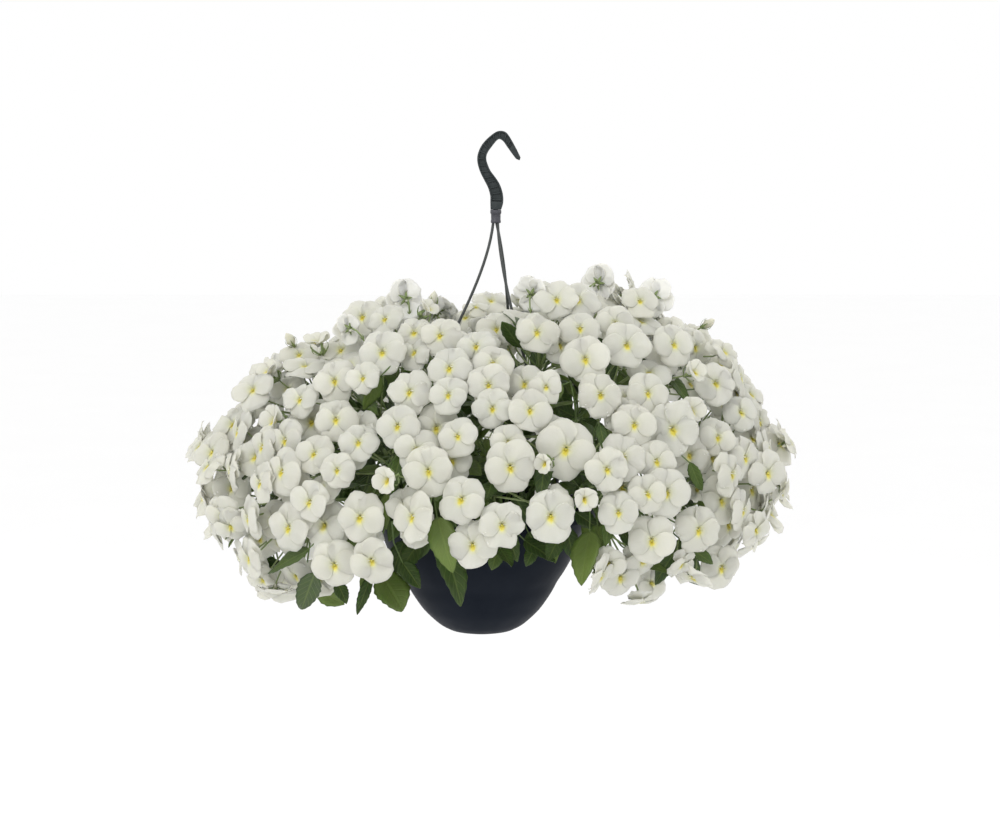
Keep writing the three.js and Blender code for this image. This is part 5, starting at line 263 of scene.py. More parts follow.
   [56.23,-135.48,-304.2,41.74,-226.43,-281.63,35.94,-253.24,-318.15,-0.181,-0.779,0.601,17.4],
   [78.86,-169.09,-305.72,91.17,-203.55,-257.44,95.57,-227.89,-278.7,0.165,-0.632,0.757,12.0],
   [88.57,-183.77,-309.02,56.34,-162.13,-366.29,44.95,-174.13,-387.65,0.122,-0.892,0.436,16.6]]},
 {"stem": [[-36.46,-25.43,-379.51],[-36.46,-25.43,-295.13],[-144.93,-120.57,-290.86],[-166.34,-141.32,-315.22]],
  "flowers": [
   [-168.2,-203.77,-282.77,-0.268,-0.892,0.364,0.253,38.2,0,-164.08,-139.25,-314.3,-165.47,-169.28,-299.45,-166.86,-199.31,-284.59,1,1],
   [-198.89,-197.95,-300.23,-0.641,-0.764,0.07,0.214,43.9,0,-147.42,-124.0,-307.55,-168.01,-158.17,-279.28,-195.68,-194.13,-300.58,2,1],
   [-210.06,-136.32,-261.68,-0.683,-0.683,0.259,-0.054,39.3,1,-155.08,-131.0,-310.65,-178.54,-129.63,-287.69,-202.0,-128.26,-264.73,1,1],
   [-221.34,-153.52,-283.72,-0.784,-0.612,0.104,0.293,39.1,0,-157.5,-133.22,-311.64,-187.46,-141.84,-297.94,-217.42,-150.46,-284.24,1,1],
   [-198.73,-168.56,-275.16,-0.691,-0.715,0.104,-0.092,40.7,0,-149.87,-126.24,-308.54,-172.57,-145.61,-292.11,-195.28,-164.98,-275.68,1,1],
   [-220.53,-184.5,-312.78,-0.808,-0.587,-0.035,-0.171,40.4,0,-164.08,-139.25,-314.3,-190.28,-160.41,-313.45,-216.49,-181.56,-312.61,1,1],
   [-192.23,-175.31,-315.41,-0.47,-0.848,0.244,-0.048,44.8,0,-150.71,-127.01,-308.88,-170.3,-149.04,-312.76,-189.88,-171.07,-316.63,1,0]],
  "leaves": [
   [-149.72,-126.1,-308.48,-149.49,-195.12,-404.14,-139.82,-204.26,-421.86,0.224,-0.811,0.541,13.2],
   [-140.9,-118.03,-304.91,-173.44,-211.88,-370.16,-219.05,-171.77,-399.45,-0.735,-0.511,0.445,18.8],
   [-85.08,-68.27,-310.78,-79.48,-81.92,-330.65,-67.67,-101.22,-357.33,0.437,-0.626,0.646,17.3]]},
 {"stem": [[-39.23,36.12,-379.51],[-39.23,36.12,-350.71],[-88.53,126.85,-335.83],[-115.08,175.7,-318.85]],
  "flowers": [
   [-160.24,177.98,-268.34,-0.622,0.747,0.234,0.22,48.0,0,-97.95,144.17,-328.3,-129.73,141.32,-279.82,-157.13,174.24,-269.51,1,0],
   [-120.84,228.62,-301.34,-0.265,0.94,0.213,0.408,42.7,0,-112.44,170.84,-320.3,-112.03,197.37,-308.41,-119.51,223.92,-302.4,1,0],
   [-73.18,216.25,-243.04,-0.43,0.872,0.235,0.303,43.4,0,-113.87,173.47,-319.52,-60.11,189.79,-250.16,-71.03,211.89,-244.21,2,0],
   [-176.55,202.42,-295.71,-0.41,0.827,0.385,0.01,37.2,0,-111.45,169.02,-320.85,-142.98,183.65,-309.24,-174.5,198.29,-297.63,1,0],
   [-167.49,222.58,-325.82,-0.368,0.929,-0.026,-0.156,45.2,0,-107.08,160.97,-323.26,-136.36,189.45,-324.48,-165.65,217.93,-325.69,1,0]],
  "leaves": [
   [-65.61,84.67,-346.3,-42.49,81.87,-348.07,-11.87,91.13,-365.55,0.181,0.702,0.689,16.4],
   [-87.9,125.68,-333.61,-101.63,138.42,-356.11,-113.36,155.19,-384.0,-0.659,0.49,0.571,16.3]]},
 {"stem": [[12.17,11.91,-379.51],[12.17,11.91,-341.49],[133.34,28.0,-322.03],[198.59,36.67,-299.67]],
  "flowers": [
   [247.16,93.65,-309.44,0.916,0.384,0.118,-0.019,41.9,0,182.32,34.51,-304.47,212.45,63.12,-307.25,242.58,91.73,-310.03,1,0],
   [244.63,41.94,-280.79,0.839,0.005,0.545,0.083,37.1,0,167.13,32.49,-308.95,203.78,37.2,-296.23,240.44,41.91,-283.51,1,0],
   [234.17,12.1,-253.48,0.935,0.023,0.354,-0.092,40.2,0,194.56,36.14,-300.86,212.03,24.06,-278.06,229.5,11.98,-255.25,1,0]],
  "leaves": [
   [164.89,32.2,-309.61,170.19,41.91,-296.59,181.03,67.2,-279.38,0.267,-0.618,0.74,17.2],
   [88.15,22.0,-331.9,72.12,2.73,-328.84,49.56,-21.66,-340.87,-0.337,-0.147,0.93,16.0],
   [133.46,28.02,-318.62,149.53,25.09,-311.7,183.46,17.65,-305.61,0.042,0.741,0.67,16.7]]},
 {"stem": [[15.66,-25.8,-379.51],[15.66,-25.8,-343.18],[111.45,-86.36,-323.57],[163.02,-118.96,-301.81]],
  "flowers": [
   [204.15,-111.27,-228.42,0.274,-0.869,0.412,-0.206,43.6,0,159.98,-117.04,-302.93,181.38,-111.98,-266.7,202.78,-106.92,-230.48,1,1],
   [158.75,-187.2,-262.35,0.369,-0.913,0.174,0.101,53.1,0,157.1,-115.22,-303.98,144.1,-152.15,-266.97,156.91,-182.63,-263.22,2,1],
   [203.51,-155.1,-274.44,0.256,-0.941,0.223,0.201,39.1,0,151.81,-111.88,-305.91,177.02,-131.14,-290.73,202.23,-150.4,-275.56,1,1],
   [231.14,-137.24,-296.07,0.741,-0.667,0.07,-0.033,43.2,0,148.4,-109.72,-307.15,187.92,-121.81,-301.78,227.43,-133.9,-296.42,1,1],
   [215.42,-172.18,-306.64,0.766,-0.643,0.0,0.09,42.6,0,156.77,-115.01,-304.1,184.18,-141.99,-305.37,211.59,-168.97,-306.64,1,1],
   [176.27,-162.64,-248.79,0.432,-0.885,0.174,-0.026,37.0,1,160.64,-117.45,-302.68,166.06,-135.13,-276.7,171.47,-152.81,-250.72,1,1],
   [175.82,-168.65,-289.17,0.094,-0.977,0.191,0.103,41.8,0,160.59,-117.43,-302.7,167.97,-140.6,-296.41,175.35,-163.76,-290.13,1,0]],
  "leaves": [
   [149.75,-110.57,-306.66,161.27,-88.57,-221.3,178.34,-138.01,-244.29,-0.223,-0.473,0.852,11.6],
   [156.62,-114.91,-304.15,163.34,-97.5,-293.43,175.68,-67.88,-279.12,0.462,-0.534,0.708,18.4]]},
 {"stem": [[20.8,-4.1,-379.51],[20.8,-4.1,-342.17],[149.43,-43.62,-315.8],[218.7,-64.9,-291.02]],
  "flowers": [
   [232.24,-72.42,-227.04,0.945,-0.253,0.208,-0.012,38.6,3,213.0,-63.15,-292.86,220.26,-67.15,-260.47,227.52,-71.15,-228.08,1,1],
   [280.76,-22.37,-295.12,0.992,-0.104,-0.07,0.341,41.5,0,213.66,-63.35,-292.65,244.73,-42.6,-293.71,275.8,-21.85,-294.77,1,1],
   [257.89,-94.52,-295.08,0.961,-0.276,0.035,0.087,40.4,0,215.53,-63.93,-292.04,234.31,-78.53,-293.65,253.09,-93.14,-295.25,1,1],
   [253.41,-55.02,-272.86,0.885,-0.432,0.174,0.032,41.0,0,209.85,-62.18,-293.88,229.42,-57.52,-283.8,248.98,-52.86,-273.73,1,1],
   [230.2,-102.23,-257.56,0.422,-0.798,0.431,-0.18,38.8,0,215.53,-63.93,-292.04,221.81,-81.08,-275.88,228.09,-98.24,-259.72,1,0],
   [273.09,-57.96,-293.62,0.663,-0.617,0.424,0.011,46.5,0,198.38,-58.66,-297.58,234.08,-56.77,-296.66,269.77,-54.88,-295.74,1,0],
   [229.42,-63.55,-242.74,0.62,-0.623,0.478,0.357,40.6,0,212.78,-63.08,-292.93,219.55,-61.76,-269.03,226.32,-60.44,-245.13,1,0]],
  "leaves": [
   [138.94,-40.39,-315.98,190.06,-110.58,-234.22,214.05,-81.04,-247.26,0.738,-0.342,0.581,11.1],
   [163.92,-48.07,-308.45,190.53,-44.73,-313.85,222.51,-37.52,-332.38,0.452,0.217,0.865,20.7],
   [106.58,-30.45,-326.43,120.47,-38.2,-301.86,141.57,-48.42,-267.67,0.83,-0.113,-0.546,22.5]]},
 {"stem": [[-30.54,-32.21,-379.51],[-30.54,-32.21,-344.56],[-78.69,-128.0,-319.2],[-104.61,-179.58,-295.74]],
  "flowers": [
   [-127.56,-212.74,-270.96,-0.168,-0.912,0.374,-0.028,39.8,0,-103.4,-177.18,-296.72,-115.06,-192.68,-284.77,-126.72,-208.18,-272.83,1,1],
   [-146.14,-227.27,-294.22,-0.084,-0.949,0.306,-0.035,34.2,0,-91.25,-153.0,-306.53,-140.31,-193.31,-311.03,-145.72,-222.53,-295.75,2,1],
   [-91.64,-222.93,-254.95,-0.171,-0.97,0.174,0.028,39.6,0,-101.45,-173.29,-298.29,-96.12,-195.69,-277.06,-90.78,-218.08,-255.82,1,1],
   [-127.78,-196.74,-281.26,-0.612,-0.601,0.514,-0.162,39.3,0,-101.08,-172.57,-298.59,-112.9,-183.15,-291.21,-124.72,-193.73,-283.83,1,0]],
  "leaves": [
   [-101.03,-172.45,-298.63,-92.11,-140.08,-396.17,-74.79,-152.08,-418.66,-0.105,-0.909,0.404,17.4],
   [-85.14,-140.84,-311.46,-92.54,-154.13,-290.57,-102.22,-180.64,-260.95,0.937,0.044,0.345,21.1]]},
 {"stem": [[-21.83,-33.68,-379.51],[-21.83,-33.68,-340.85],[-37.89,-136.98,-307.29],[-46.54,-192.61,-279.2]],
  "flowers": [
   [-45.95,-218.32,-227.14,-0.1,-0.954,0.285,0.084,36.0,0,-45.66,-186.97,-281.79,-45.56,-200.26,-255.18,-45.45,-213.55,-228.56,1,1],
   [-37.58,-240.4,-261.56,-0.139,-0.909,0.393,-0.256,37.5,0,-44.13,-177.13,-286.31,-40.51,-206.49,-274.92,-36.88,-235.86,-263.52,1,1],
   [-42.39,-233.02,-285.0,0.009,-0.979,0.202,-0.019,39.5,0,-46.13,-189.98,-280.41,-44.28,-209.05,-283.21,-42.44,-228.12,-286.01,1,0],
   [-56.59,-211.86,-258.37,0.105,-0.994,0.038,0.219,43.8,0,-44.45,-179.21,-285.35,-50.78,-193.05,-271.96,-57.12,-206.89,-258.56,1,0]],
  "leaves": [
   [-29.29,-81.65,-332.0,-55.17,-141.89,-372.84,-32.5,-153.89,-434.55,0.564,-0.747,0.352,29.2],
   [-29.57,-83.48,-330.99,-33.31,-107.72,-326.06,-35.62,-150.99,-332.03,-0.055,-0.134,0.99,20.1]]},
 {"stem": [[3.81,22.38,-379.51],[3.81,22.38,-336.13],[86.27,97.4,-303.85],[130.67,137.79,-274.43]],
  "flowers": [
   [151.6,169.98,-247.0,0.792,0.562,0.238,-0.346,41.4,0,112.6,121.35,-285.14,130.12,144.26,-266.66,147.64,167.17,-248.19,1,0],
   [146.86,192.59,-291.21,0.488,0.813,0.318,-0.273,41.4,0,128.56,135.87,-275.68,130.37,165.11,-301.95,144.42,188.52,-292.8,1,0],
   [200.08,162.86,-305.61,0.714,0.68,0.17,0.16,46.0,0,118.62,126.83,-281.57,157.57,143.15,-294.01,196.51,159.46,-306.46,1,0],
   [145.29,137.67,-203.29,0.389,0.881,0.27,0.029,45.4,0,124.66,132.32,-277.99,128.77,100.25,-214.78,143.35,133.27,-204.64,1,0],
   [100.92,191.5,-232.69,0.487,0.734,0.474,-0.221,29.8,1,108.94,118.02,-287.3,102.75,151.48,-262.11,96.57,184.95,-236.92,1,0],
   [181.29,143.93,-259.95,0.633,0.674,0.382,-0.023,39.7,0,127.98,135.34,-276.03,153.05,137.95,-268.94,178.13,140.56,-261.86,1,0]],
  "leaves": [
   [127.86,135.23,-276.1,145.26,117.34,-288.61,160.54,87.18,-301.24,0.594,-0.036,0.804,18.9],
   [56.64,70.44,-318.2,37.55,71.79,-305.64,7.93,66.36,-289.47,0.19,0.771,0.608,15.1],
   [77.05,89.01,-305.92,82.81,70.42,-318.71,92.2,46.47,-338.97,0.552,-0.402,0.731,17.6]]},
 {"stem": [[-45.48,7.55,-379.51],[-45.48,7.55,-338.92],[-137.95,33.43,-303.61],[-187.74,47.37,-274.09]],
  "flowers": [
   [-196.93,55.48,-210.56,-0.426,0.235,0.873,-0.373,44.1,0,-164.87,40.97,-286.41,-179.83,47.64,-250.67,-194.8,54.3,-214.93,1,0],
   [-244.25,24.21,-263.37,-0.581,-0.055,0.812,-0.234,44.3,0,-177.05,44.38,-279.85,-209.2,34.43,-273.64,-241.35,24.49,-267.43,1,0],
   [-222.73,70.79,-242.73,-0.74,0.456,0.495,0.095,45.9,0,-178.13,44.68,-279.26,-198.58,56.6,-262.23,-219.03,68.51,-245.2,1,0],
   [-240.5,74.0,-284.49,-0.856,0.293,0.426,0.144,46.3,0,-174.65,43.71,-281.14,-205.44,58.12,-283.88,-236.22,72.53,-286.62,1,0]],
  "leaves": [
   [-163.92,40.7,-286.92,-176.73,37.92,-280.52,-207.49,27.69,-278.92,-0.058,0.321,0.945,15.1],
   [-79.98,17.2,-335.21,-100.92,31.74,-344.31,-125.55,49.71,-361.29,0.209,0.808,0.552,17.0]]},
 {"stem": [[-39.3,15.05,-379.51],[-39.3,15.05,-324.09],[-101.77,72.73,-293.23],[-135.4,103.79,-259.67]],
  "flowers": [
   [-190.74,135.11,-263.86,-0.627,0.427,0.651,-0.418,47.0,0,-110.59,80.88,-281.02,-149.1,106.93,-274.07,-187.61,132.97,-267.12,1,0],
   [-175.58,88.81,-216.02,-0.386,0.335,0.86,-0.084,37.0,0,-121.64,91.08,-271.51,-147.64,89.11,-245.92,-173.65,87.14,-220.32,1,0],
   [-126.96,173.03,-242.58,-0.458,0.79,0.407,-0.372,38.3,0,-123.05,92.39,-270.29,-106.17,137.11,-261.08,-124.67,169.08,-244.62,1,0],
   [-169.76,138.81,-234.0,-0.554,0.274,0.786,0.337,47.3,0,-119.14,88.77,-273.66,-143.06,113.11,-255.79,-166.99,137.44,-237.93,1,0]],
  "leaves": [
   [-91.27,63.04,-297.26,-99.13,77.84,-280.12,-116.61,108.02,-262.06,0.347,-0.326,0.88,21.0],
   [-96.51,67.88,-292.88,-104.0,80.5,-281.76,-112.12,106.04,-261.53,0.16,-0.581,0.798,15.2]]},
 {"stem": [[-14.72,-24.48,-379.51],[-14.72,-24.48,-331.65],[5.65,-128.96,-298.95],[16.62,-185.22,-267.62]],
  "flowers": [
   [41.87,-212.55,-220.8,-0.068,-0.976,0.208,-0.106,30.6,0,11.78,-160.41,-279.85,27.0,-184.04,-250.84,42.21,-207.67,-221.84,1,1],
   [-6.15,-227.56,-238.29,0.042,-0.981,0.192,0.098,37.6,0,15.78,-180.88,-269.76,4.71,-201.77,-254.5,-6.36,-222.66,-239.25,1,1],
   [27.22,-230.84,-239.42,0.085,-0.961,0.262,0.055,41.1,0,15.37,-178.78,-270.79,21.08,-202.41,-255.76,26.79,-226.03,-240.73,1,1],
   [7.48,-244.23,-266.93,0.144,-0.974,0.175,0.141,33.9,0,12.17,-162.4,-278.86,9.47,-200.88,-273.33,6.76,-239.36,-267.8,1,1],
   [59.71,-239.26,-273.42,0.035,-0.994,0.104,0.324,56.2,0,15.43,-179.12,-270.63,61.51,-206.26,-267.21,59.54,-234.29,-273.94,2,1],
   [-5.41,-196.59,-200.7,0.0,-0.913,0.407,0.131,39.9,0,15.05,-177.16,-271.59,4.82,-184.59,-237.16,-5.41,-192.02,-202.73,1,1],
   [-10.02,-213.5,-218.57,-0.033,-0.951,0.309,-0.079,39.7,0,13.66,-170.02,-275.11,1.9,-189.38,-247.61,-9.85,-208.75,-220.11,1,1],
   [40.87,-253.15,-284.73,-0.503,-0.86,-0.087,0.062,26.6,1,16.04,-182.25,-269.09,30.47,-214.27,-276.56,44.89,-246.28,-284.04,1,1]],
  "leaves": [
   [12.38,-163.47,-278.34,-0.91,-150.09,-260.94,-17.54,-126.17,-237.92,0.003,-0.692,0.722,19.0],
   [12.82,-165.74,-277.22,7.63,-184.05,-260.14,7.57,-215.97,-235.31,0.065,0.613,0.788,19.8],
   [2.07,-110.58,-304.0,11.64,-124.46,-280.18,16.86,-153.04,-246.96,-0.687,0.494,0.533,23.4]]},
 {"stem": [[-39.62,-2.01,-379.51],[-39.62,-2.01,-336.18],[-133.92,-24.07,-297.77],[-184.7,-35.94,-265.98]],
  "flowers": [
   [-204.45,-35.42,-196.41,-0.413,-0.492,0.766,-0.015,21.6,2,-169.77,-32.45,-274.49,-185.99,-32.61,-237.51,-202.22,-32.77,-200.54,1,1],
   [-222.69,-61.17,-224.22,-0.587,-0.492,0.643,0.04,34.9,1,-168.26,-32.1,-275.35,-192.4,-44.05,-253.15,-216.54,-56.01,-230.95,1,1],
   [-237.32,-82.55,-238.09,-0.328,-0.688,0.648,-0.416,46.3,0,-182.24,-35.37,-267.38,-223.98,-58.88,-260.51,-235.68,-79.11,-241.33,2,0],
   [-186.64,3.92,-212.51,-0.475,-0.39,0.789,-0.299,42.1,0,-176.64,-34.06,-270.57,-180.45,-14.09,-243.51,-184.26,5.87,-216.45,1,0],
   [-243.9,-23.3,-257.52,-0.388,-0.702,0.597,-0.5,39.2,0,-172.4,-33.07,-272.99,-207.18,-26.43,-266.75,-241.96,-19.79,-260.5,1,0]],
  "leaves": [
   [-129.76,-23.09,-297.22,-157.97,-23.81,-289.57,-203.03,-23.18,-283.4,0.136,0.063,0.989,21.1],
   [-172.05,-32.99,-273.19,-183.88,-55.66,-262.79,-196.73,-91.85,-250.8,-0.129,0.353,0.927,22.2]]},
 {"stem": [[-30.12,-18.38,-379.51],[-30.12,-18.38,-329.62],[-84.93,-95.31,-291.88],[-114.44,-136.73,-257.8]],
  "flowers": [
   [-108.49,-158.14,-194.64,-0.153,-0.907,0.392,-0.107,44.4,0,-111.94,-133.22,-260.38,-109.83,-143.41,-228.49,-107.73,-153.6,-196.6,1,1],
   [-125.32,-176.34,-216.57,-0.181,-0.882,0.435,-0.048,33.0,0,-112.98,-134.68,-259.31,-118.7,-153.3,-239.03,-124.41,-171.93,-218.74,1,1],
   [-152.74,-161.29,-220.56,-0.103,-0.914,0.392,-0.13,42.5,0,-112.98,-134.68,-259.31,-132.6,-145.7,-240.91,-152.23,-156.72,-222.52,1,1],
   [-149.61,-190.72,-252.86,-0.078,-0.954,0.288,-0.04,42.0,0,-112.14,-133.51,-260.17,-130.68,-159.73,-257.23,-149.22,-185.95,-254.3,1,1],
   [-185.48,-153.31,-238.91,-0.537,-0.797,0.276,-0.032,37.2,0,-105.79,-124.59,-266.72,-144.29,-136.96,-253.51,-182.79,-149.33,-240.29,1,1]],
  "leaves": [
   [-110.76,-131.56,-261.6,-135.2,-138.94,-228.17,-112.53,-179.32,-248.57,0.001,-0.451,0.893,15.8],
   [-93.61,-107.49,-279.29,-89.76,-103.74,-260.57,-80.7,-93.54,-219.69,-0.634,-0.705,0.317,23.6]]},
 {"stem": [[9.29,3.75,-379.51],[9.29,3.75,-324.7],[105.51,39.34,-282.02],[157.32,58.5,-244.1]],
  "flowers": [
   [223.91,54.56,-231.74,0.905,0.154,0.397,0.116,39.8,0,154.65,57.51,-245.85,189.54,48.72,-246.82,219.39,53.79,-233.72,1,0],
   [181.52,71.28,-196.12,0.786,0.111,0.608,-0.114,37.8,0,154.75,57.55,-245.79,166.17,64.14,-222.47,177.59,70.72,-199.16,1,0],
   [222.12,96.82,-263.39,0.811,0.506,0.294,0.268,37.1,0,140.62,52.32,-255.06,179.34,73.31,-259.96,218.07,94.29,-264.86,1,0],
   [195.32,107.16,-236.71,0.764,0.529,0.368,-0.189,44.1,0,143.4,53.35,-253.23,164.08,85.52,-251.75,191.5,104.51,-238.55,1,0],
   [147.35,70.11,-174.88,0.744,0.24,0.624,-0.091,47.9,0,154.75,57.55,-245.79,118.47,60.81,-199.1,143.63,68.91,-178.0,1,0]],
  "leaves": [
   [129.97,48.39,-262.04,144.07,54.75,-251.89,178.01,69.92,-232.47,-0.465,-0.087,0.881,21.1],
   [89.55,33.43,-288.35,90.38,21.99,-271.59,93.76,-8.92,-254.43,0.121,0.492,0.862,18.8],
   [98.5,36.74,-282.56,99.63,21.26,-273.6,101.76,-12.17,-265.81,-0.029,0.225,0.974,15.6]]},
 {"stem": [[-12.55,-36.61,-379.51],[-12.55,-36.61,-326.2],[-34.9,-118.43,-282.19],[-46.93,-162.49,-244.34]],
  "flowers": [
   [-45.66,-199.22,-204.89,-0.165,-0.891,0.424,-0.037,43.5,0,-46.32,-160.25,-246.08,-45.58,-177.51,-226.54,-44.84,-194.77,-207.01,1,1],
   [-81.27,-207.68,-225.58,-0.154,-0.894,0.421,0.1,41.6,0,-44.12,-152.2,-252.31,-62.31,-177.7,-240.0,-80.5,-203.21,-227.68,1,1]],
  "leaves": [
   [-25.6,-84.41,-305.45,-23.23,-71.25,-288.51,-24.81,-47.96,-264.1,-0.319,-0.696,0.643,15.5],
   [-24.32,-79.7,-310.15,-28.52,-85.2,-294.36,-31.08,-105.35,-265.67,0.045,0.816,0.577,16.1]]},
 {"stem": [[-8.84,22.49,-379.51],[-8.84,22.49,-326.81],[15.4,92.66,-288.24],[28.45,130.44,-252.75]],
  "flowers": [
   [-17.09,148.2,-188.38,0.198,-0.513,0.835,0.07,46.7,0,27.08,126.46,-256.07,4.5,138.61,-224.31,-18.08,150.77,-192.55,1,0],
   [-9.6,151.09,-169.75,0.03,-0.616,0.787,-0.186,43.7,0,27.78,128.48,-254.38,9.01,141.33,-214.03,-9.75,154.17,-173.69,1,0],
   [33.59,225.94,-250.57,0.154,0.942,0.298,-0.014,44.5,0,26.33,124.28,-257.88,28.28,198.4,-241.03,32.82,221.23,-252.06,2,0],
   [-17.91,212.03,-236.89,-0.059,0.959,0.275,-0.079,40.5,0,27.78,128.48,-254.38,-15.48,172.55,-248.22,-17.61,207.23,-238.27,2,0],
   [-10.05,97.36,-193.76,0.167,0.763,0.625,0.14,48.3,0,21.44,110.13,-269.7,-17.48,63.39,-221.57,-10.88,93.55,-196.88,1,0],
   [70.62,215.06,-259.26,0.208,0.911,0.355,0.139,42.1,0,27.78,128.48,-254.38,48.68,169.49,-257.71,69.58,210.5,-261.04,1,0],
   [101.59,113.97,-170.41,0.375,0.879,0.296,0.171,42.5,0,26.71,125.4,-256.95,83.54,71.7,-184.64,99.71,109.58,-171.89,2,0],
   [56.63,138.96,-184.47,0.336,0.777,0.532,0.016,48.7,0,22.84,114.2,-266.3,40.3,101.19,-210.35,54.95,135.08,-187.13,1,0],
   [32.0,194.06,-225.47,0.04,0.523,0.851,0.026,45.9,0,26.56,124.96,-257.32,29.18,158.2,-243.52,31.8,191.44,-229.73,1,0]],
  "leaves": [
   [18.71,102.23,-276.29,6.5,114.57,-263.39,-29.09,132.03,-255.12,0.176,-0.104,0.979,21.9],
   [7.59,70.05,-303.01,-0.84,71.36,-288.34,-24.31,86.02,-265.4,0.432,-0.491,0.756,19.7]]},
 {"stem": [[4.54,-14.68,-379.51],[4.54,-14.68,-312.82],[72.31,-73.23,-274.72],[108.81,-104.76,-233.97]],
  "flowers": [
   [118.32,-148.89,-188.74,0.182,-0.915,0.36,0.11,46.4,0,95.65,-93.4,-246.65,103.87,-118.95,-205.9,117.41,-144.31,-190.54,2,1],
   [181.63,-129.14,-216.98,0.539,-0.77,0.342,-0.308,31.9,1,106.9,-103.12,-235.81,141.68,-112.44,-228.03,176.47,-121.77,-220.26,1,1],
   [135.98,-181.5,-229.83,0.233,-0.933,0.276,0.051,40.3,0,106.05,-102.38,-236.62,120.44,-139.61,-233.92,134.82,-176.84,-231.21,1,1],
   [107.96,-129.91,-170.17,0.156,-0.885,0.438,0.015,39.3,0,97.08,-94.63,-245.27,102.13,-110.06,-208.82,107.18,-125.48,-172.36,1,1],
   [164.2,-115.36,-191.1,0.377,-0.847,0.375,-0.072,43.4,0,102.57,-99.37,-239.98,132.44,-105.25,-216.48,162.31,-111.12,-192.97,1,1],
   [134.43,-80.53,-152.85,0.201,-0.804,0.559,0.142,38.3,0,106.64,-102.89,-236.06,120.03,-89.7,-195.85,133.43,-76.51,-155.65,1,1],
   [140.5,-131.45,-216.72,0.171,-0.69,0.704,0.222,43.2,0,96.26,-93.92,-246.07,117.95,-110.96,-233.15,139.65,-128.0,-220.24,1,0],
   [134.45,-85.09,-172.59,0.221,-0.49,0.843,0.022,46.4,0,84.21,-83.51,-257.68,128.4,-73.87,-179.88,133.34,-82.64,-176.81,2,0]],
  "leaves": [
   [34.88,-40.89,-308.23,46.24,-48.95,-300.13,83.63,-67.15,-286.39,-0.447,-0.274,0.852,21.7],
   [90.22,-88.71,-251.89,69.91,-99.52,-248.65,39.17,-122.81,-253.89,-0.063,-0.14,0.988,18.7],
   [102.77,-99.55,-239.79,110.69,-117.24,-232.0,126.71,-148.77,-227.77,0.151,0.206,0.967,18.2]]},
 {"stem": [[-40.82,-15.38,-379.51],[-40.82,-15.38,-312.34],[-98.11,-47.67,-278.97],[-128.96,-65.06,-239.87]],
  "flowers": [
   [-132.18,-63.27,-169.2,-0.16,-0.852,0.498,-0.009,42.5,0,-117.94,-58.85,-251.7,-124.66,-58.93,-211.69,-131.38,-59.01,-171.69,1,1],
   [-146.15,-89.1,-180.65,-0.615,0.733,-0.289,-0.018,32.5,3,-119.2,-59.56,-250.35,-117.82,-122.86,-167.36,-143.07,-92.77,-179.21,2,1],
   [-174.04,-83.83,-193.87,-0.25,-0.433,0.866,-0.112,36.4,1,-119.17,-59.54,-250.37,-145.24,-69.32,-226.85,-171.31,-79.1,-203.33,1,1],
   [-109.03,-95.41,-168.91,-0.296,-0.814,0.5,-0.122,36.2,0,-120.96,-60.55,-248.46,-114.25,-75.95,-209.93,-107.55,-91.34,-171.41,1,1],
   [-186.44,-72.06,-216.68,-0.158,-0.338,0.928,0.045,45.8,0,-127.26,-64.1,-241.69,-156.46,-67.24,-231.5,-185.65,-70.37,-221.32,1,0],
   [-143.29,-100.67,-212.1,-0.026,-0.609,0.793,-0.262,45.7,0,-125.82,-63.29,-243.24,-134.49,-80.46,-229.65,-143.16,-97.63,-216.07,1,0],
   [-153.45,-19.1,-193.21,-0.382,-0.352,0.855,0.004,38.5,0,-127.26,-64.1,-241.69,-139.4,-40.72,-219.59,-151.54,-17.34,-197.48,1,0]],
  "leaves": [
   [-62.15,-27.4,-316.47,-58.71,-30.67,-300.42,-51.32,-41.17,-267.09,0.976,0.131,-0.175,16.7],
   [-54.69,-23.2,-328.32,-67.53,-43.91,-334.13,-88.08,-75.19,-348.0,-0.434,-0.111,0.894,19.2]]},
 {"stem": [[-32.02,20.31,-379.51],[-32.02,20.31,-309.41],[-63.48,73.97,-269.35],[-80.41,102.87,-226.5]],
  "flowers": [
   [-63.1,59.89,-170.71,0.033,0.674,0.738,0.135,40.4,0,-75.87,95.11,-236.39,-64.44,32.46,-200.72,-63.26,56.52,-174.4,1,0],
   [-92.39,173.41,-211.35,-0.318,0.914,0.252,-0.107,40.8,0,-78.32,99.29,-231.06,-79.2,135.47,-221.82,-90.8,168.84,-212.61,1,0],
   [-80.72,116.12,-186.57,-0.61,0.678,0.409,-0.119,38.8,0,-70.77,86.42,-247.47,-58.15,91.03,-201.69,-77.67,112.73,-188.61,1,0],
   [-112.79,81.4,-185.23,-0.737,0.578,0.35,-0.198,45.5,0,-71.63,87.88,-245.61,-83.68,58.59,-199.07,-109.1,78.51,-186.98,1,0],
   [-130.61,111.6,-199.11,-0.698,0.658,0.284,0.218,45.5,0,-79.41,101.15,-228.69,-107.72,90.04,-208.41,-127.12,108.31,-200.53,1,0]],
  "leaves": [
   [-69.3,83.9,-250.68,-50.88,88.42,-236.86,-18.72,92.98,-220.59,-0.454,0.019,0.891,16.5],
   [-76.09,95.48,-235.91,-95.95,112.85,-226.83,-121.18,138.18,-233.42,-0.151,0.105,0.983,18.1]]},
 {"stem": [[-21.51,-17.37,-379.51],[-21.51,-17.37,-315.58],[-45.67,-83.85,-264.7],[-58.68,-119.65,-220.05]],
  "flowers": [
   [-68.43,-112.33,-159.45,0.709,-0.41,0.574,0.163,28.3,1,-56.79,-114.43,-225.89,-65.62,-111.64,-195.1,-74.45,-108.85,-164.32,1,1],
   [-21.59,-175.58,-187.16,-0.15,-0.853,0.5,-0.075,38.5,0,-57.09,-115.28,-224.94,-38.97,-143.3,-207.3,-20.84,-171.32,-189.66,1,1],
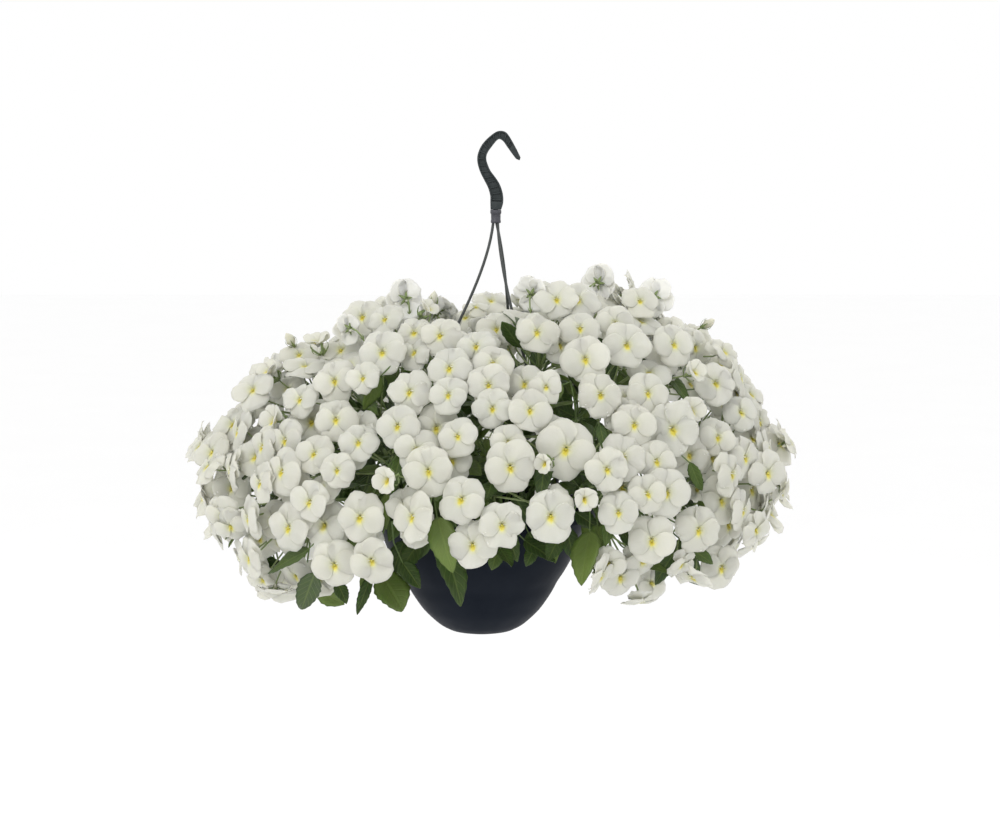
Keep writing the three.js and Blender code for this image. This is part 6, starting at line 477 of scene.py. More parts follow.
   [-54.78,-154.19,-179.08,-0.209,-0.84,0.5,0.099,40.7,0,-55.12,-109.86,-231.0,-54.43,-129.92,-206.29,-53.73,-149.99,-181.58,1,1],
   [-79.97,-135.72,-178.31,-0.243,-0.849,0.469,-0.117,39.2,0,-55.82,-111.78,-228.85,-67.29,-121.63,-204.75,-78.75,-131.48,-180.66,1,1],
   [-18.5,-111.23,-190.4,-0.08,-0.719,0.69,-0.089,40.8,0,-55.81,-111.75,-228.88,-16.08,-89.47,-211.26,-18.1,-107.63,-193.85,1,0],
   [-54.26,-85.07,-187.15,0.232,-0.378,0.896,-0.212,40.5,0,-56.06,-112.43,-228.12,-55.74,-97.81,-209.88,-55.42,-83.18,-191.63,1,0]],
  "leaves": [
   [-51.76,-100.6,-241.33,-109.93,-172.36,-216.08,-124.79,-173.84,-247.4,0.406,-0.902,-0.15,17.7],
   [-36.72,-59.23,-287.81,-33.97,-69.77,-264.83,-30.89,-93.75,-234.8,0.173,0.778,0.604,20.0]]},
 {"stem": [[11.04,-8.53,-379.51],[11.04,-8.53,-306.76],[107.48,-19.47,-254.95],[159.41,-25.36,-206.51]],
  "flowers": [
   [150.61,-54.48,-152.82,0.235,0.876,-0.421,-0.181,38.8,3,156.48,-25.03,-208.96,143.42,-81.3,-139.92,149.44,-58.86,-150.71,2,1],
   [206.44,0.0,-182.69,0.75,-0.433,0.5,-0.088,19.9,2,142.69,-23.46,-220.5,172.7,-10.65,-202.84,202.71,2.16,-185.18,1,1],
   [192.03,-43.71,-201.05,0.614,-0.782,0.104,0.458,43.8,0,156.71,-25.05,-208.77,177.35,-28.83,-197.26,188.96,-39.8,-201.57,2,0],
   [217.75,-52.63,-204.48,0.558,-0.574,0.6,-0.128,38.5,0,156.71,-25.05,-208.77,185.84,-37.41,-208.12,214.96,-49.76,-207.48,1,0],
   [156.53,-12.55,-171.3,0.826,-0.086,0.557,-0.035,43.7,0,147.83,-24.05,-216.19,134.88,-10.3,-185.88,152.4,-12.12,-174.08,1,0]],
  "leaves": [
   [127.71,-21.76,-233.02,139.84,-22.06,-222.27,179.74,-29.06,-204.01,-0.402,0.087,0.911,24.3],
   [125.18,-21.48,-235.14,104.5,-18.45,-216.43,72.22,-15.91,-200.64,0.42,-0.185,0.888,17.9],
   [138.23,-22.96,-224.22,136.21,-24.1,-197.95,128.42,-19.72,-159.95,0.776,-0.589,0.227,20.4]]},
 {"stem": [[-48.68,-12.12,-379.51],[-48.68,-12.12,-315.98],[-83.28,-12.43,-275.33],[-101.92,-12.59,-234.81]],
  "flowers": [
   [-93.11,-60.61,-153.74,-0.488,0.846,-0.216,0.13,42.5,3,-99.56,-12.57,-239.23,-78.28,-86.3,-147.17,-90.67,-64.84,-152.66,2,1],
   [-148.76,34.1,-186.31,-0.841,0.292,0.456,0.055,43.3,0,-100.62,-12.58,-237.23,-111.08,20.99,-206.73,-144.56,32.64,-188.59,1,0],
   [-65.94,-1.99,-159.14,0.134,0.136,0.982,-0.051,20.9,2,-87.81,-12.47,-261.21,-70.36,1.88,-160.56,-66.64,-2.7,-164.27,2,0],
   [-112.54,-23.72,-176.73,-0.793,0.038,0.609,-0.039,45.6,0,-96.34,-12.54,-245.24,-82.11,-25.19,-200.1,-108.58,-23.91,-179.77,1,0],
   [-34.99,-35.45,-201.42,0.096,0.116,0.989,-0.045,44.9,0,-96.51,-12.55,-244.92,-65.99,-24.29,-225.64,-35.47,-36.03,-206.36,1,0],
   [-98.64,26.17,-169.22,-0.808,0.408,0.425,0.065,45.8,0,-100.81,-12.58,-236.88,-64.89,9.12,-186.99,-94.6,24.13,-171.35,1,0]],
  "leaves": [
   [-95.11,-12.53,-247.55,-84.79,-22.92,-238.88,-54.76,-51.47,-232.12,-0.158,0.067,0.985,20.1],
   [-78.32,-12.38,-278.97,-67.98,-13.33,-256.2,-53.29,-5.5,-213.73,-0.637,-0.688,0.347,21.6]]},
 {"stem": [[-3.21,-28.17,-379.51],[-3.21,-28.17,-309.91],[26.85,-82.84,-252.07],[43.03,-112.28,-202.51]],
  "flowers": [
   [73.06,-114.88,-149.12,0.047,-0.791,0.61,-0.082,48.9,0,41.9,-110.23,-205.62,57.36,-110.58,-178.89,72.82,-110.92,-152.17,1,1],
   [74.63,-148.43,-172.95,0.103,-0.893,0.438,-0.015,39.0,0,42.14,-110.66,-204.97,58.13,-127.31,-190.05,74.11,-143.96,-175.14,1,1],
   [34.55,-159.65,-175.69,0.075,-0.929,0.362,0.074,42.5,0,37.85,-102.86,-216.77,36.02,-128.93,-197.14,34.18,-155.0,-177.5,1,1],
   [78.14,-181.09,-198.58,-0.1,-0.947,0.305,-0.191,47.6,0,35.29,-98.21,-223.82,86.24,-139.08,-197.8,78.64,-176.36,-200.11,2,1],
   [31.52,-103.8,-144.0,0.33,0.908,0.259,-0.117,37.4,3,39.54,-105.94,-212.12,26.21,-126.89,-151.61,29.87,-108.34,-145.29,2,1],
   [52.99,-125.14,-148.02,0.047,-0.878,0.476,-0.213,41.3,0,42.14,-110.66,-204.97,47.45,-115.7,-177.68,52.76,-120.75,-150.4,1,1],
   [14.32,-58.54,-177.09,0.313,-0.624,0.716,-0.271,43.9,0,36.45,-100.31,-220.64,3.29,-36.55,-202.35,12.76,-55.42,-180.67,1,0]],
  "leaves": [
   [25.72,-80.8,-250.29,21.03,-73.02,-234.93,6.69,-47.02,-209.24,0.332,-0.564,0.756,21.1],
   [8.95,-50.27,-301.96,-3.3,-64.33,-281.63,-26.16,-85.55,-263.32,0.302,0.416,0.858,17.5],
   [24.64,-78.82,-253.33,28.54,-94.35,-239.85,33.48,-122.51,-224.48,-0.079,0.467,0.881,17.1]]},
 {"stem": [[-0.58,7.43,-379.51],[-0.58,7.43,-297.0],[37.09,16.87,-252.77],[57.38,21.96,-203.47]],
  "flowers": [
   [99.19,-11.53,-141.1,0.495,0.858,-0.139,-0.078,39.5,3,56.15,21.65,-206.0,76.03,-51.65,-134.59,96.71,-15.82,-140.4,1,1],
   [106.72,44.62,-143.75,0.77,0.305,0.561,0.024,47.9,0,52.18,20.66,-214.19,69.22,29.79,-171.04,102.87,43.1,-146.55,1,0],
   [40.46,66.83,-159.83,0.151,0.745,0.65,-0.12,40.5,0,55.61,21.52,-207.12,34.99,39.79,-183.44,39.71,63.11,-163.08,1,0],
   [53.7,12.13,-158.58,0.595,0.631,0.498,-0.096,40.9,0,56.15,21.65,-206.0,37.22,-5.36,-172.38,50.73,8.97,-161.07,1,0],
   [11.81,1.1,-186.29,0.357,0.095,0.929,-0.009,39.9,0,56.15,21.65,-206.0,1.34,-1.69,-213.52,10.02,0.62,-190.93,1,0]],
  "leaves": [
   [16.37,11.68,-290.38,23.08,21.65,-279.81,39.6,39.55,-254.22,-0.589,-0.432,0.683,18.8],
   [6.86,9.29,-322.43,-8.29,21.15,-324.56,-37.74,36.18,-349.49,-0.703,-0.394,0.592,21.6]]}
]
# leaves deeper in the mound: shoot, stalk start, blade base, blade tip, blade normal, blade width
FILL = [
 [0,-174.5,-91.9,-341.8,-203.5,-92.0,-345.4,-229.5,-95.8,-354.0,-0.3,-0.1,0.9,14.3],
 [0,-182.2,-94.4,-361.4,-190.8,-94.9,-377.7,-208.7,-98.7,-405.2,-0.8,-0.3,0.6,14.3],
 [0,-121.3,-60.6,-297.5,-123.6,-68.3,-269.4,-120.5,-87.9,-241.9,-1.0,-0.2,-0.0,17.7],
 [0,-173.5,-91.5,-339.9,-200.8,-85.1,-344.5,-226.3,-67.2,-359.4,-0.6,-0.3,0.7,15.3],
 [0,-178.0,-93.3,-349.4,-147.9,-103.7,-343.5,-109.6,-113.1,-348.3,-0.1,-0.6,0.8,18.6],
 [0,-138.8,-71.9,-303.0,-135.4,-80.4,-295.5,-120.6,-103.4,-277.0,-0.9,-0.2,0.4,19.1],
 [0,-153.9,-81.1,-314.1,-173.4,-87.3,-303.5,-213.4,-91.6,-295.5,0.2,-0.3,0.9,17.8],
 [0,-146.6,-76.7,-308.0,-177.2,-87.4,-318.4,-198.9,-100.8,-330.7,-0.4,-0.2,0.9,13.1],
 [0,-136.2,-70.2,-301.7,-144.4,-78.1,-298.3,-177.7,-96.2,-298.5,-0.0,0.0,1.0,21.1],
 [0,-147.7,-77.4,-308.8,-170.1,-79.9,-309.4,-206.1,-75.2,-311.3,-0.1,-0.3,0.9,20.6],
 [1,-127.2,138.4,-337.0,-155.1,150.4,-339.0,-194.6,148.0,-357.5,-0.4,0.3,0.9,22.6],
 [1,-129.0,140.8,-341.4,-129.3,166.2,-333.5,-130.0,199.4,-337.0,-0.4,0.1,0.9,17.2],
 [1,-95.9,100.4,-303.8,-118.9,109.8,-303.9,-149.4,121.7,-319.7,-0.4,0.2,0.9,16.0],
 [1,-98.7,103.7,-304.8,-107.4,111.5,-308.5,-126.2,131.2,-324.8,-0.3,0.5,0.8,16.0],
 [1,-117.7,126.5,-320.9,-133.4,105.0,-333.5,-149.5,88.8,-348.9,-0.8,0.5,0.4,13.4],
 [1,-125.4,136.1,-333.3,-151.0,145.4,-348.7,-170.8,151.4,-369.9,-0.7,-0.0,0.7,16.2],
 [1,-127.6,139.0,-338.1,-133.8,149.0,-339.3,-161.0,177.3,-349.8,-0.1,0.2,1.0,22.5],
 [1,-105.8,112.2,-308.9,-96.7,124.8,-309.5,-79.7,144.0,-318.5,-0.2,0.6,0.8,15.6],
 [1,-89.0,92.2,-302.7,-106.6,114.0,-292.3,-129.4,146.5,-297.4,0.0,0.2,1.0,21.2],
 [1,-134.4,148.2,-360.7,-142.9,163.1,-362.3,-161.9,200.2,-374.5,0.1,0.3,0.9,23.5],
 [2,43.1,-101.8,-301.1,20.6,-114.9,-281.5,-0.1,-133.0,-269.2,0.5,-0.0,0.9,13.1],
 [2,86.0,-165.0,-333.1,96.9,-187.2,-321.2,108.7,-212.3,-322.3,0.3,0.1,1.0,13.6],
 [2,54.9,-119.4,-302.6,42.1,-128.7,-300.0,6.9,-154.4,-300.9,0.2,-0.3,0.9,18.9],
 [2,63.9,-132.8,-307.9,56.8,-145.3,-301.7,49.4,-180.7,-285.0,0.8,0.1,0.6,22.2],
 [2,75.8,-150.3,-319.5,84.9,-151.6,-328.4,112.0,-145.7,-345.7,0.5,-0.6,0.6,16.4],
 [2,79.9,-156.2,-324.5,73.1,-166.1,-320.0,48.9,-192.6,-319.3,0.5,-0.5,0.7,16.1],
 [2,69.3,-140.8,-312.6,49.0,-142.5,-315.1,8.8,-139.8,-326.1,-0.3,-0.1,1.0,17.8],
 [2,79.8,-156.1,-324.3,107.6,-148.6,-336.1,138.5,-152.7,-350.3,0.4,-0.1,0.9,15.4],
 [2,94.1,-176.6,-346.9,112.2,-167.1,-364.6,124.3,-157.8,-388.2,0.9,-0.4,0.3,14.2],
 [2,89.9,-170.6,-339.3,90.0,-191.6,-351.7,91.7,-212.2,-370.8,0.2,-0.7,0.7,15.5],
 [3,-222.7,-48.2,-355.5,-202.2,-23.0,-360.0,-184.1,-0.9,-368.2,-0.2,0.5,0.9,13.6],
 [3,-210.5,-44.7,-339.4,-210.6,-41.9,-305.8,-219.9,-23.3,-282.9,-0.9,-0.2,-0.2,13.5],
 [3,-222.6,-48.2,-355.3,-243.2,-71.0,-367.1,-263.3,-91.9,-390.0,-0.8,0.1,0.6,16.7],
 [3,-145.1,-24.3,-299.0,-152.0,-15.9,-313.1,-166.1,-3.8,-337.2,-0.9,-0.0,0.5,16.8],
 [3,-203.4,-42.6,-331.6,-215.5,-42.4,-339.5,-241.6,-43.2,-371.0,-0.8,-0.2,0.6,21.1],
 [3,-163.4,-30.1,-303.5,-180.2,-33.2,-298.3,-209.6,-33.3,-300.4,-0.1,-0.7,0.7,13.7],
 [3,-191.7,-39.0,-320.8,-213.2,-37.5,-318.7,-246.4,-39.1,-323.1,-0.1,-0.3,0.9,18.6],
 [3,-219.1,-47.2,-350.3,-239.3,-51.7,-342.2,-264.7,-59.3,-336.3,-0.1,0.8,0.6,11.5],
 [3,-174.0,-33.5,-308.6,-195.5,-24.3,-298.3,-229.6,-8.9,-289.2,-0.0,-0.5,0.8,20.4],
 [3,-226.5,-49.3,-361.6,-232.5,-43.3,-392.1,-229.1,-41.2,-418.3,-1.0,-0.2,-0.1,13.0],
 [4,135.1,-110.4,-323.7,147.2,-121.5,-319.9,174.3,-138.0,-319.9,0.0,0.0,1.0,16.0],
 [4,153.2,-122.7,-332.7,145.7,-111.8,-357.2,143.2,-95.8,-389.2,0.9,0.4,0.1,17.5],
 [4,149.9,-120.4,-330.9,164.3,-132.4,-332.7,184.6,-154.3,-344.4,0.2,-0.3,0.9,16.2],
 [4,164.7,-130.6,-339.4,163.4,-150.8,-341.3,162.7,-189.2,-344.5,0.8,-0.1,0.6,17.0],
 [4,182.7,-143.2,-351.5,185.0,-152.6,-348.8,191.1,-184.3,-335.0,0.9,0.3,0.2,18.7],
 [4,130.2,-107.1,-321.5,135.2,-127.3,-337.5,140.0,-149.5,-366.5,1.0,-0.1,0.2,15.8],
 [4,153.3,-122.7,-332.7,180.7,-124.9,-320.2,211.1,-130.9,-300.7,-0.6,-0.3,0.8,18.0],
 [4,79.2,-73.3,-309.9,106.6,-73.5,-319.1,130.2,-66.8,-332.2,0.3,0.5,0.8,15.9],
 [4,155.6,-124.4,-334.1,164.2,-128.8,-344.2,175.1,-137.2,-373.4,0.8,-0.5,0.4,13.8],
 [4,73.2,-69.4,-310.2,92.6,-75.2,-292.0,121.8,-91.3,-273.9,-0.6,-0.3,0.7,18.6],
 [5,135.7,80.2,-321.4,163.5,69.3,-334.3,194.8,52.9,-359.2,0.7,0.2,0.7,24.0],
 [5,171.3,95.5,-348.9,179.5,91.1,-357.3,198.0,78.1,-378.5,0.8,0.0,0.7,17.8],
 [5,152.9,88.1,-332.2,164.7,86.5,-324.4,200.0,85.4,-322.9,-0.0,-0.0,1.0,16.2],
 [5,124.1,74.6,-316.1,132.0,73.8,-329.5,150.3,62.8,-362.5,0.9,0.1,0.4,22.6],
 [5,170.8,95.3,-348.3,169.1,114.0,-332.5,171.9,144.0,-329.2,0.2,-0.1,1.0,13.0],
 [5,139.7,82.1,-323.6,149.2,87.3,-326.0,177.9,102.0,-347.5,0.7,-0.2,0.7,21.1],
 [5,173.0,96.1,-350.8,178.6,116.1,-347.6,189.3,152.8,-339.5,0.7,-0.3,0.6,20.1],
 [5,118.8,72.0,-314.1,117.6,86.7,-316.7,111.6,107.0,-335.2,0.7,0.6,0.4,15.5],
 [5,171.1,95.4,-348.6,181.7,104.8,-353.3,195.1,130.7,-381.7,0.4,0.6,0.7,21.5],
 [5,155.2,89.1,-333.9,160.8,106.9,-349.3,171.3,130.1,-378.0,0.7,0.4,0.6,17.6],
 [6,100.1,7.2,-309.0,113.6,-16.0,-314.2,131.0,-38.3,-326.6,0.7,0.2,0.7,17.7],
 [6,109.9,7.5,-308.5,140.7,15.4,-299.2,162.9,31.1,-312.1,0.5,0.0,0.9,13.0],
 [6,160.1,8.9,-318.2,171.8,25.0,-318.3,185.7,56.7,-328.3,0.7,-0.1,0.7,17.7],
 [6,116.9,7.7,-308.7,124.8,-1.0,-310.6,141.9,-27.0,-320.8,0.4,-0.1,0.9,14.4],
 [6,179.4,9.3,-326.0,209.9,21.7,-322.3,245.2,22.9,-330.4,0.2,-0.1,1.0,18.1],
 [6,165.1,9.0,-320.0,185.5,15.9,-325.0,215.4,35.5,-341.3,0.4,0.1,0.9,18.3],
 [6,156.7,8.8,-317.0,181.6,4.5,-319.4,213.6,7.3,-328.2,0.2,0.4,0.9,14.7],
 [6,206.8,9.7,-340.3,223.2,6.9,-327.7,250.3,1.7,-325.8,0.1,0.7,0.7,11.8],
 [6,140.0,8.3,-312.2,153.2,7.5,-310.2,179.9,1.5,-313.8,0.1,0.0,1.0,14.2],
 [6,185.1,9.4,-328.6,189.7,0.2,-330.7,206.6,-31.6,-342.8,0.7,0.1,0.7,21.6],
 [7,-134.6,-87.5,-307.7,-158.9,-101.2,-308.5,-195.9,-112.7,-324.9,-0.3,-0.2,0.9,22.8],
 [7,-165.0,-111.5,-320.5,-173.7,-124.6,-328.0,-181.5,-137.4,-354.3,-0.9,-0.3,0.4,17.2],
 [7,-112.5,-70.6,-306.0,-142.2,-81.7,-313.9,-163.7,-90.6,-348.8,-0.7,-0.4,0.6,23.5],
 [7,-184.1,-127.9,-337.0,-189.9,-137.5,-355.3,-192.1,-148.7,-380.4,-0.4,-0.8,0.4,14.2],
 [7,-118.2,-75.0,-305.7,-132.3,-97.3,-302.5,-148.0,-133.0,-305.8,-0.3,0.1,0.9,19.4],
 [7,-120.6,-76.7,-305.8,-123.8,-90.4,-303.1,-135.2,-124.8,-309.1,0.4,-0.3,0.9,20.1],
 [7,-109.3,-68.2,-306.4,-120.2,-69.1,-314.9,-144.7,-74.9,-332.5,-0.5,-0.3,0.8,17.1],
 [7,-170.8,-116.2,-324.4,-194.9,-132.6,-337.5,-210.2,-152.8,-368.4,-0.6,-0.5,0.6,18.8],
 [7,-110.9,-69.4,-306.2,-121.7,-71.8,-290.3,-153.0,-62.7,-263.1,0.1,-0.9,0.4,24.3],
 [7,-155.6,-103.9,-315.1,-182.2,-119.7,-314.1,-199.0,-131.6,-331.6,-0.6,-0.2,0.8,12.8],
 [8,133.2,-54.3,-305.0,142.6,-58.1,-301.2,169.2,-79.3,-289.6,-0.3,0.2,0.9,19.1],
 [8,121.8,-49.7,-302.1,134.4,-56.1,-312.9,155.9,-58.4,-335.7,0.6,-0.6,0.6,13.3],
 [8,203.6,-82.4,-343.3,207.5,-101.5,-367.2,202.6,-125.3,-403.2,0.6,-0.7,0.4,19.3],
 [8,160.1,-65.2,-315.5,185.1,-77.2,-319.5,216.5,-93.7,-329.9,0.3,0.0,0.9,17.0],
 [8,111.4,-45.5,-300.3,108.5,-52.8,-307.7,108.2,-68.6,-337.1,0.3,-0.8,0.5,15.8],
 [8,95.0,-38.8,-299.7,74.9,-36.9,-313.3,45.4,-37.8,-322.9,-0.3,-0.2,0.9,17.5],
 [8,88.9,-36.3,-300.2,120.5,-31.1,-293.0,157.5,-17.1,-308.6,0.4,0.1,0.9,18.7],
 [8,97.3,-39.7,-299.6,97.4,-48.8,-292.6,75.9,-73.4,-278.3,0.5,0.1,0.9,15.3],
 [8,178.7,-72.6,-325.7,205.2,-87.3,-337.9,223.3,-87.8,-358.5,0.7,-0.3,0.6,12.8],
 [8,187.2,-76.0,-331.1,200.6,-74.7,-341.0,232.2,-76.2,-370.6,0.7,0.0,0.7,19.1],
 [9,-206.2,26.8,-329.3,-215.8,22.2,-342.9,-240.0,11.1,-373.2,-0.8,0.3,0.5,18.6],
 [9,-200.1,26.3,-324.6,-211.2,19.1,-311.6,-218.7,-6.3,-290.0,-0.7,0.6,0.5,18.1],
 [9,-209.2,27.0,-331.9,-235.1,31.7,-334.6,-270.4,30.4,-346.0,-0.3,0.4,0.8,16.5],
 [9,-181.5,24.5,-314.5,-197.3,17.1,-316.5,-223.6,10.3,-328.5,-0.5,0.4,0.8,13.1],
 [9,-199.7,26.3,-324.3,-216.9,20.2,-334.0,-233.1,13.4,-356.0,-0.8,-0.0,0.6,14.8],
 [9,-198.5,26.2,-323.5,-211.8,25.8,-318.0,-249.2,20.8,-306.0,0.3,-0.0,0.9,19.5],
 [9,-163.9,22.5,-308.6,-170.1,15.4,-300.8,-179.5,-15.2,-278.6,-0.4,0.6,0.7,19.1],
 [9,-156.9,21.7,-307.1,-149.3,37.7,-325.9,-144.3,54.1,-348.5,-1.0,0.3,-0.0,13.8],
 [9,-210.8,27.1,-333.5,-220.7,27.9,-330.8,-251.0,28.7,-330.1,0.0,-0.1,1.0,14.4],
 [9,-175.2,23.8,-312.0,-183.2,31.7,-312.1,-195.9,55.6,-315.0,-0.5,-0.1,0.9,11.9],
 [10,-95.4,-130.7,-312.3,-96.3,-160.3,-319.4,-99.4,-183.2,-333.1,-0.5,-0.4,0.8,11.9],
 [10,-114.6,-167.7,-325.0,-131.9,-189.0,-340.6,-146.1,-203.2,-362.1,-0.5,-0.6,0.7,13.7],
 [10,-95.7,-131.3,-312.4,-106.5,-142.7,-308.0,-130.6,-158.7,-305.6,0.3,-0.4,0.8,15.4],
 [10,-83.3,-107.2,-309.9,-93.6,-111.7,-338.2,-97.2,-107.5,-365.2,-0.6,-0.8,-0.0,14.6],
 [10,-86.4,-113.1,-310.0,-78.4,-114.1,-304.1,-42.4,-116.0,-288.1,-0.4,-0.5,0.8,20.1],
 [10,-101.0,-141.5,-314.9,-111.9,-158.1,-314.8,-122.5,-183.5,-332.2,-0.0,-0.6,0.8,14.1],
 [10,-109.1,-157.1,-320.3,-121.7,-175.7,-316.1,-146.6,-210.1,-314.5,0.0,0.0,1.0,23.8],
 [10,-83.7,-108.0,-309.9,-89.8,-101.7,-294.6,-108.8,-76.3,-273.6,-0.7,-0.7,0.2,21.7],
 [10,-125.3,-188.2,-337.1,-127.8,-198.6,-346.3,-130.9,-231.1,-371.2,-0.3,-0.6,0.8,19.2],
 [10,-88.2,-116.7,-310.3,-88.6,-126.5,-306.0,-94.1,-154.2,-298.6,-0.3,0.3,0.9,16.2],
 [11,-24.9,103.7,-300.3,-19.5,120.4,-301.3,4.0,140.3,-316.2,0.4,0.2,0.9,17.5],
 [11,-24.9,119.3,-299.1,0.1,115.9,-304.2,22.5,112.4,-318.0,0.4,-0.4,0.8,15.0],
 [11,-24.9,143.5,-301.8,-14.6,162.0,-288.0,6.3,198.0,-285.3,-0.2,0.0,1.0,22.6],
 [11,-24.9,151.6,-303.8,-37.0,171.1,-280.0,-55.3,193.8,-248.8,0.9,0.1,0.4,21.7],
 [11,-24.9,153.5,-304.3,-42.2,161.4,-295.0,-73.3,180.6,-289.7,0.3,0.3,0.9,16.3],
 [11,-24.3,189.9,-322.6,-30.3,213.6,-325.3,-38.7,242.4,-329.6,0.4,0.2,0.9,12.8],
 [11,-24.9,120.3,-299.1,-5.2,125.6,-275.3,12.5,133.0,-251.8,-0.8,0.4,0.5,15.6],
 [11,-24.9,147.2,-302.6,-4.8,162.9,-304.9,22.0,181.0,-319.3,-0.0,0.6,0.8,20.5],
 [11,-24.5,181.9,-317.0,-24.7,199.2,-322.9,-25.1,222.4,-344.2,-0.2,0.7,0.7,16.4],
 [11,-24.9,149.9,-303.3,-3.0,160.0,-310.5,28.1,173.6,-337.5,0.4,0.6,0.7,24.3],
 [12,104.2,176.0,-324.6,115.2,195.7,-323.8,121.0,223.9,-328.0,0.1,0.1,1.0,12.6],
 [12,79.7,141.6,-310.1,87.8,164.8,-309.4,105.1,198.9,-309.1,-0.3,0.1,0.9,21.8],
 [12,72.9,131.4,-307.6,87.4,124.0,-301.4,125.4,105.3,-303.8,0.2,0.4,0.9,23.7],
 [12,89.9,156.3,-315.2,102.7,169.7,-325.3,132.0,190.2,-347.2,0.3,0.4,0.8,18.8],
 [12,97.4,166.8,-319.7,95.0,184.9,-346.4,95.5,191.7,-376.0,0.4,0.9,0.2,15.1],
 [12,53.8,102.4,-304.7,60.4,126.3,-317.8,62.6,147.0,-340.1,0.7,0.5,0.5,16.2],
 [12,50.6,97.5,-305.0,44.5,117.4,-315.0,39.0,137.6,-339.6,0.3,0.8,0.6,15.9],
 [12,74.1,133.2,-308.0,89.0,155.9,-297.5,100.7,179.9,-296.1,-0.3,0.1,1.0,12.7],
 [12,86.0,150.7,-313.1,96.5,160.5,-300.0,118.0,183.3,-280.0,-0.7,0.0,0.7,21.2],
 [12,91.3,158.3,-316.0,112.3,156.0,-307.1,146.3,153.9,-310.0,0.1,0.7,0.7,15.7],
 [13,-142.4,74.1,-302.6,-148.2,87.8,-296.7,-153.9,115.2,-295.0,0.2,-0.0,1.0,13.6],
 [13,-157.0,85.0,-306.7,-170.4,106.3,-312.6,-178.8,133.9,-326.3,-0.2,0.4,0.9,15.9],
 [13,-177.1,99.8,-317.0,-192.1,102.1,-311.7,-222.2,109.4,-300.3,0.4,0.4,0.8,18.5],
 [13,-129.3,64.2,-301.3,-140.5,84.7,-285.7,-158.2,121.5,-269.6,0.1,-0.3,0.9,21.8],
 [13,-140.4,72.6,-302.3,-141.4,85.0,-304.6,-137.0,122.2,-323.9,-0.3,0.5,0.8,18.0],
 [13,-161.9,88.6,-308.7,-152.9,105.1,-300.8,-138.1,137.8,-299.4,-0.3,0.1,0.9,17.4],
 [13,-175.0,98.3,-315.6,-177.3,104.2,-330.6,-186.2,122.0,-364.2,-0.5,0.7,0.5,21.6],
 [13,-178.7,101.0,-318.0,-183.3,112.1,-316.3,-185.2,146.1,-320.2,-0.7,0.0,0.7,18.7],
 [13,-146.5,77.2,-303.5,-172.8,87.7,-287.6,-191.4,102.8,-275.5,0.5,-0.1,0.9,15.3],
 [13,-113.9,52.6,-303.1,-124.2,63.7,-298.3,-143.3,88.8,-288.7,0.1,-0.3,0.9,17.6],
 [14,-11.0,-124.7,-304.4,-36.6,-121.0,-287.2,-75.8,-127.8,-285.0,0.0,0.2,1.0,21.0],
 [14,-5.1,-205.0,-318.4,1.0,-193.9,-311.8,6.0,-153.9,-303.3,-0.1,-0.2,1.0,18.6],
 [14,-8.8,-152.7,-305.0,-1.3,-178.4,-296.4,3.8,-217.3,-286.5,-0.2,0.2,0.9,19.8],
 [14,-12.5,-105.9,-307.1,3.0,-119.4,-307.1,31.8,-128.9,-313.6,0.2,-0.1,1.0,13.2],
 [14,-4.9,-208.1,-319.9,-9.2,-222.4,-338.7,-14.3,-237.6,-368.5,0.3,-0.9,0.4,15.5],
 [14,-10.7,-127.7,-304.2,-18.8,-143.0,-277.9,-37.5,-150.6,-247.1,0.9,-0.0,0.5,18.8],
 [14,-5.2,-202.4,-317.2,-9.8,-209.8,-322.9,-19.0,-239.5,-343.2,0.0,-0.6,0.8,15.8],
 [14,-5.5,-197.6,-315.3,-7.3,-210.3,-309.9,-11.1,-245.5,-317.3,0.3,-0.2,0.9,15.5],
 [14,-6.3,-185.3,-311.2,1.4,-192.8,-306.0,34.4,-211.9,-295.2,-0.5,-0.6,0.6,21.1],
 [14,-8.2,-160.1,-305.9,-11.4,-176.0,-288.7,-24.9,-195.1,-270.7,0.9,-0.1,0.5,12.6],
 [15,-136.4,-43.4,-304.1,-145.5,-42.3,-280.0,-182.0,-43.2,-255.9,0.4,0.7,0.6,23.5],
 [15,-200.3,-67.7,-318.8,-216.8,-74.8,-343.0,-235.7,-77.7,-381.3,-0.9,-0.2,0.4,19.0],
 [15,-213.0,-73.1,-329.1,-227.9,-90.0,-313.7,-245.2,-123.9,-317.8,-0.7,0.3,0.7,19.1],
 [15,-181.2,-60.2,-309.8,-208.2,-53.5,-300.8,-240.7,-47.9,-300.5,0.0,-0.1,1.0,14.0],
 [15,-131.0,-41.4,-304.6,-143.0,-36.9,-303.6,-172.8,-26.8,-310.4,-0.2,-0.0,1.0,16.7],
 [15,-152.5,-49.3,-304.1,-169.9,-53.0,-303.3,-206.0,-54.2,-300.1,0.1,-0.1,1.0,17.1],
 [15,-184.7,-61.5,-311.1,-194.6,-58.5,-311.7,-226.9,-42.5,-326.5,-0.6,-0.6,0.6,17.4],
 [15,-169.3,-55.6,-306.5,-178.7,-55.1,-294.7,-201.1,-44.1,-277.3,0.1,-0.8,0.6,17.1],
 [15,-157.0,-51.0,-304.5,-160.0,-56.3,-317.7,-172.4,-64.0,-354.6,-0.9,-0.1,0.3,17.0],
 [15,-188.0,-62.8,-312.4,-198.9,-77.3,-304.3,-217.0,-97.2,-304.6,-0.1,0.1,1.0,11.6],
 [16,-62.0,-208.3,-313.0,-68.9,-217.1,-324.2,-68.8,-224.6,-354.5,-0.6,-0.8,0.2,17.5],
 [16,-59.6,-191.3,-308.6,-70.5,-200.7,-320.0,-84.8,-212.7,-350.7,-0.3,-0.8,0.5,16.2],
 [16,-49.7,-134.6,-304.7,-29.7,-137.7,-278.0,-3.3,-121.6,-257.3,-0.5,-0.2,0.8,20.6],
 [16,-42.1,-95.6,-311.6,-45.6,-109.8,-285.0,-44.4,-131.9,-255.3,0.4,0.8,0.5,19.8],
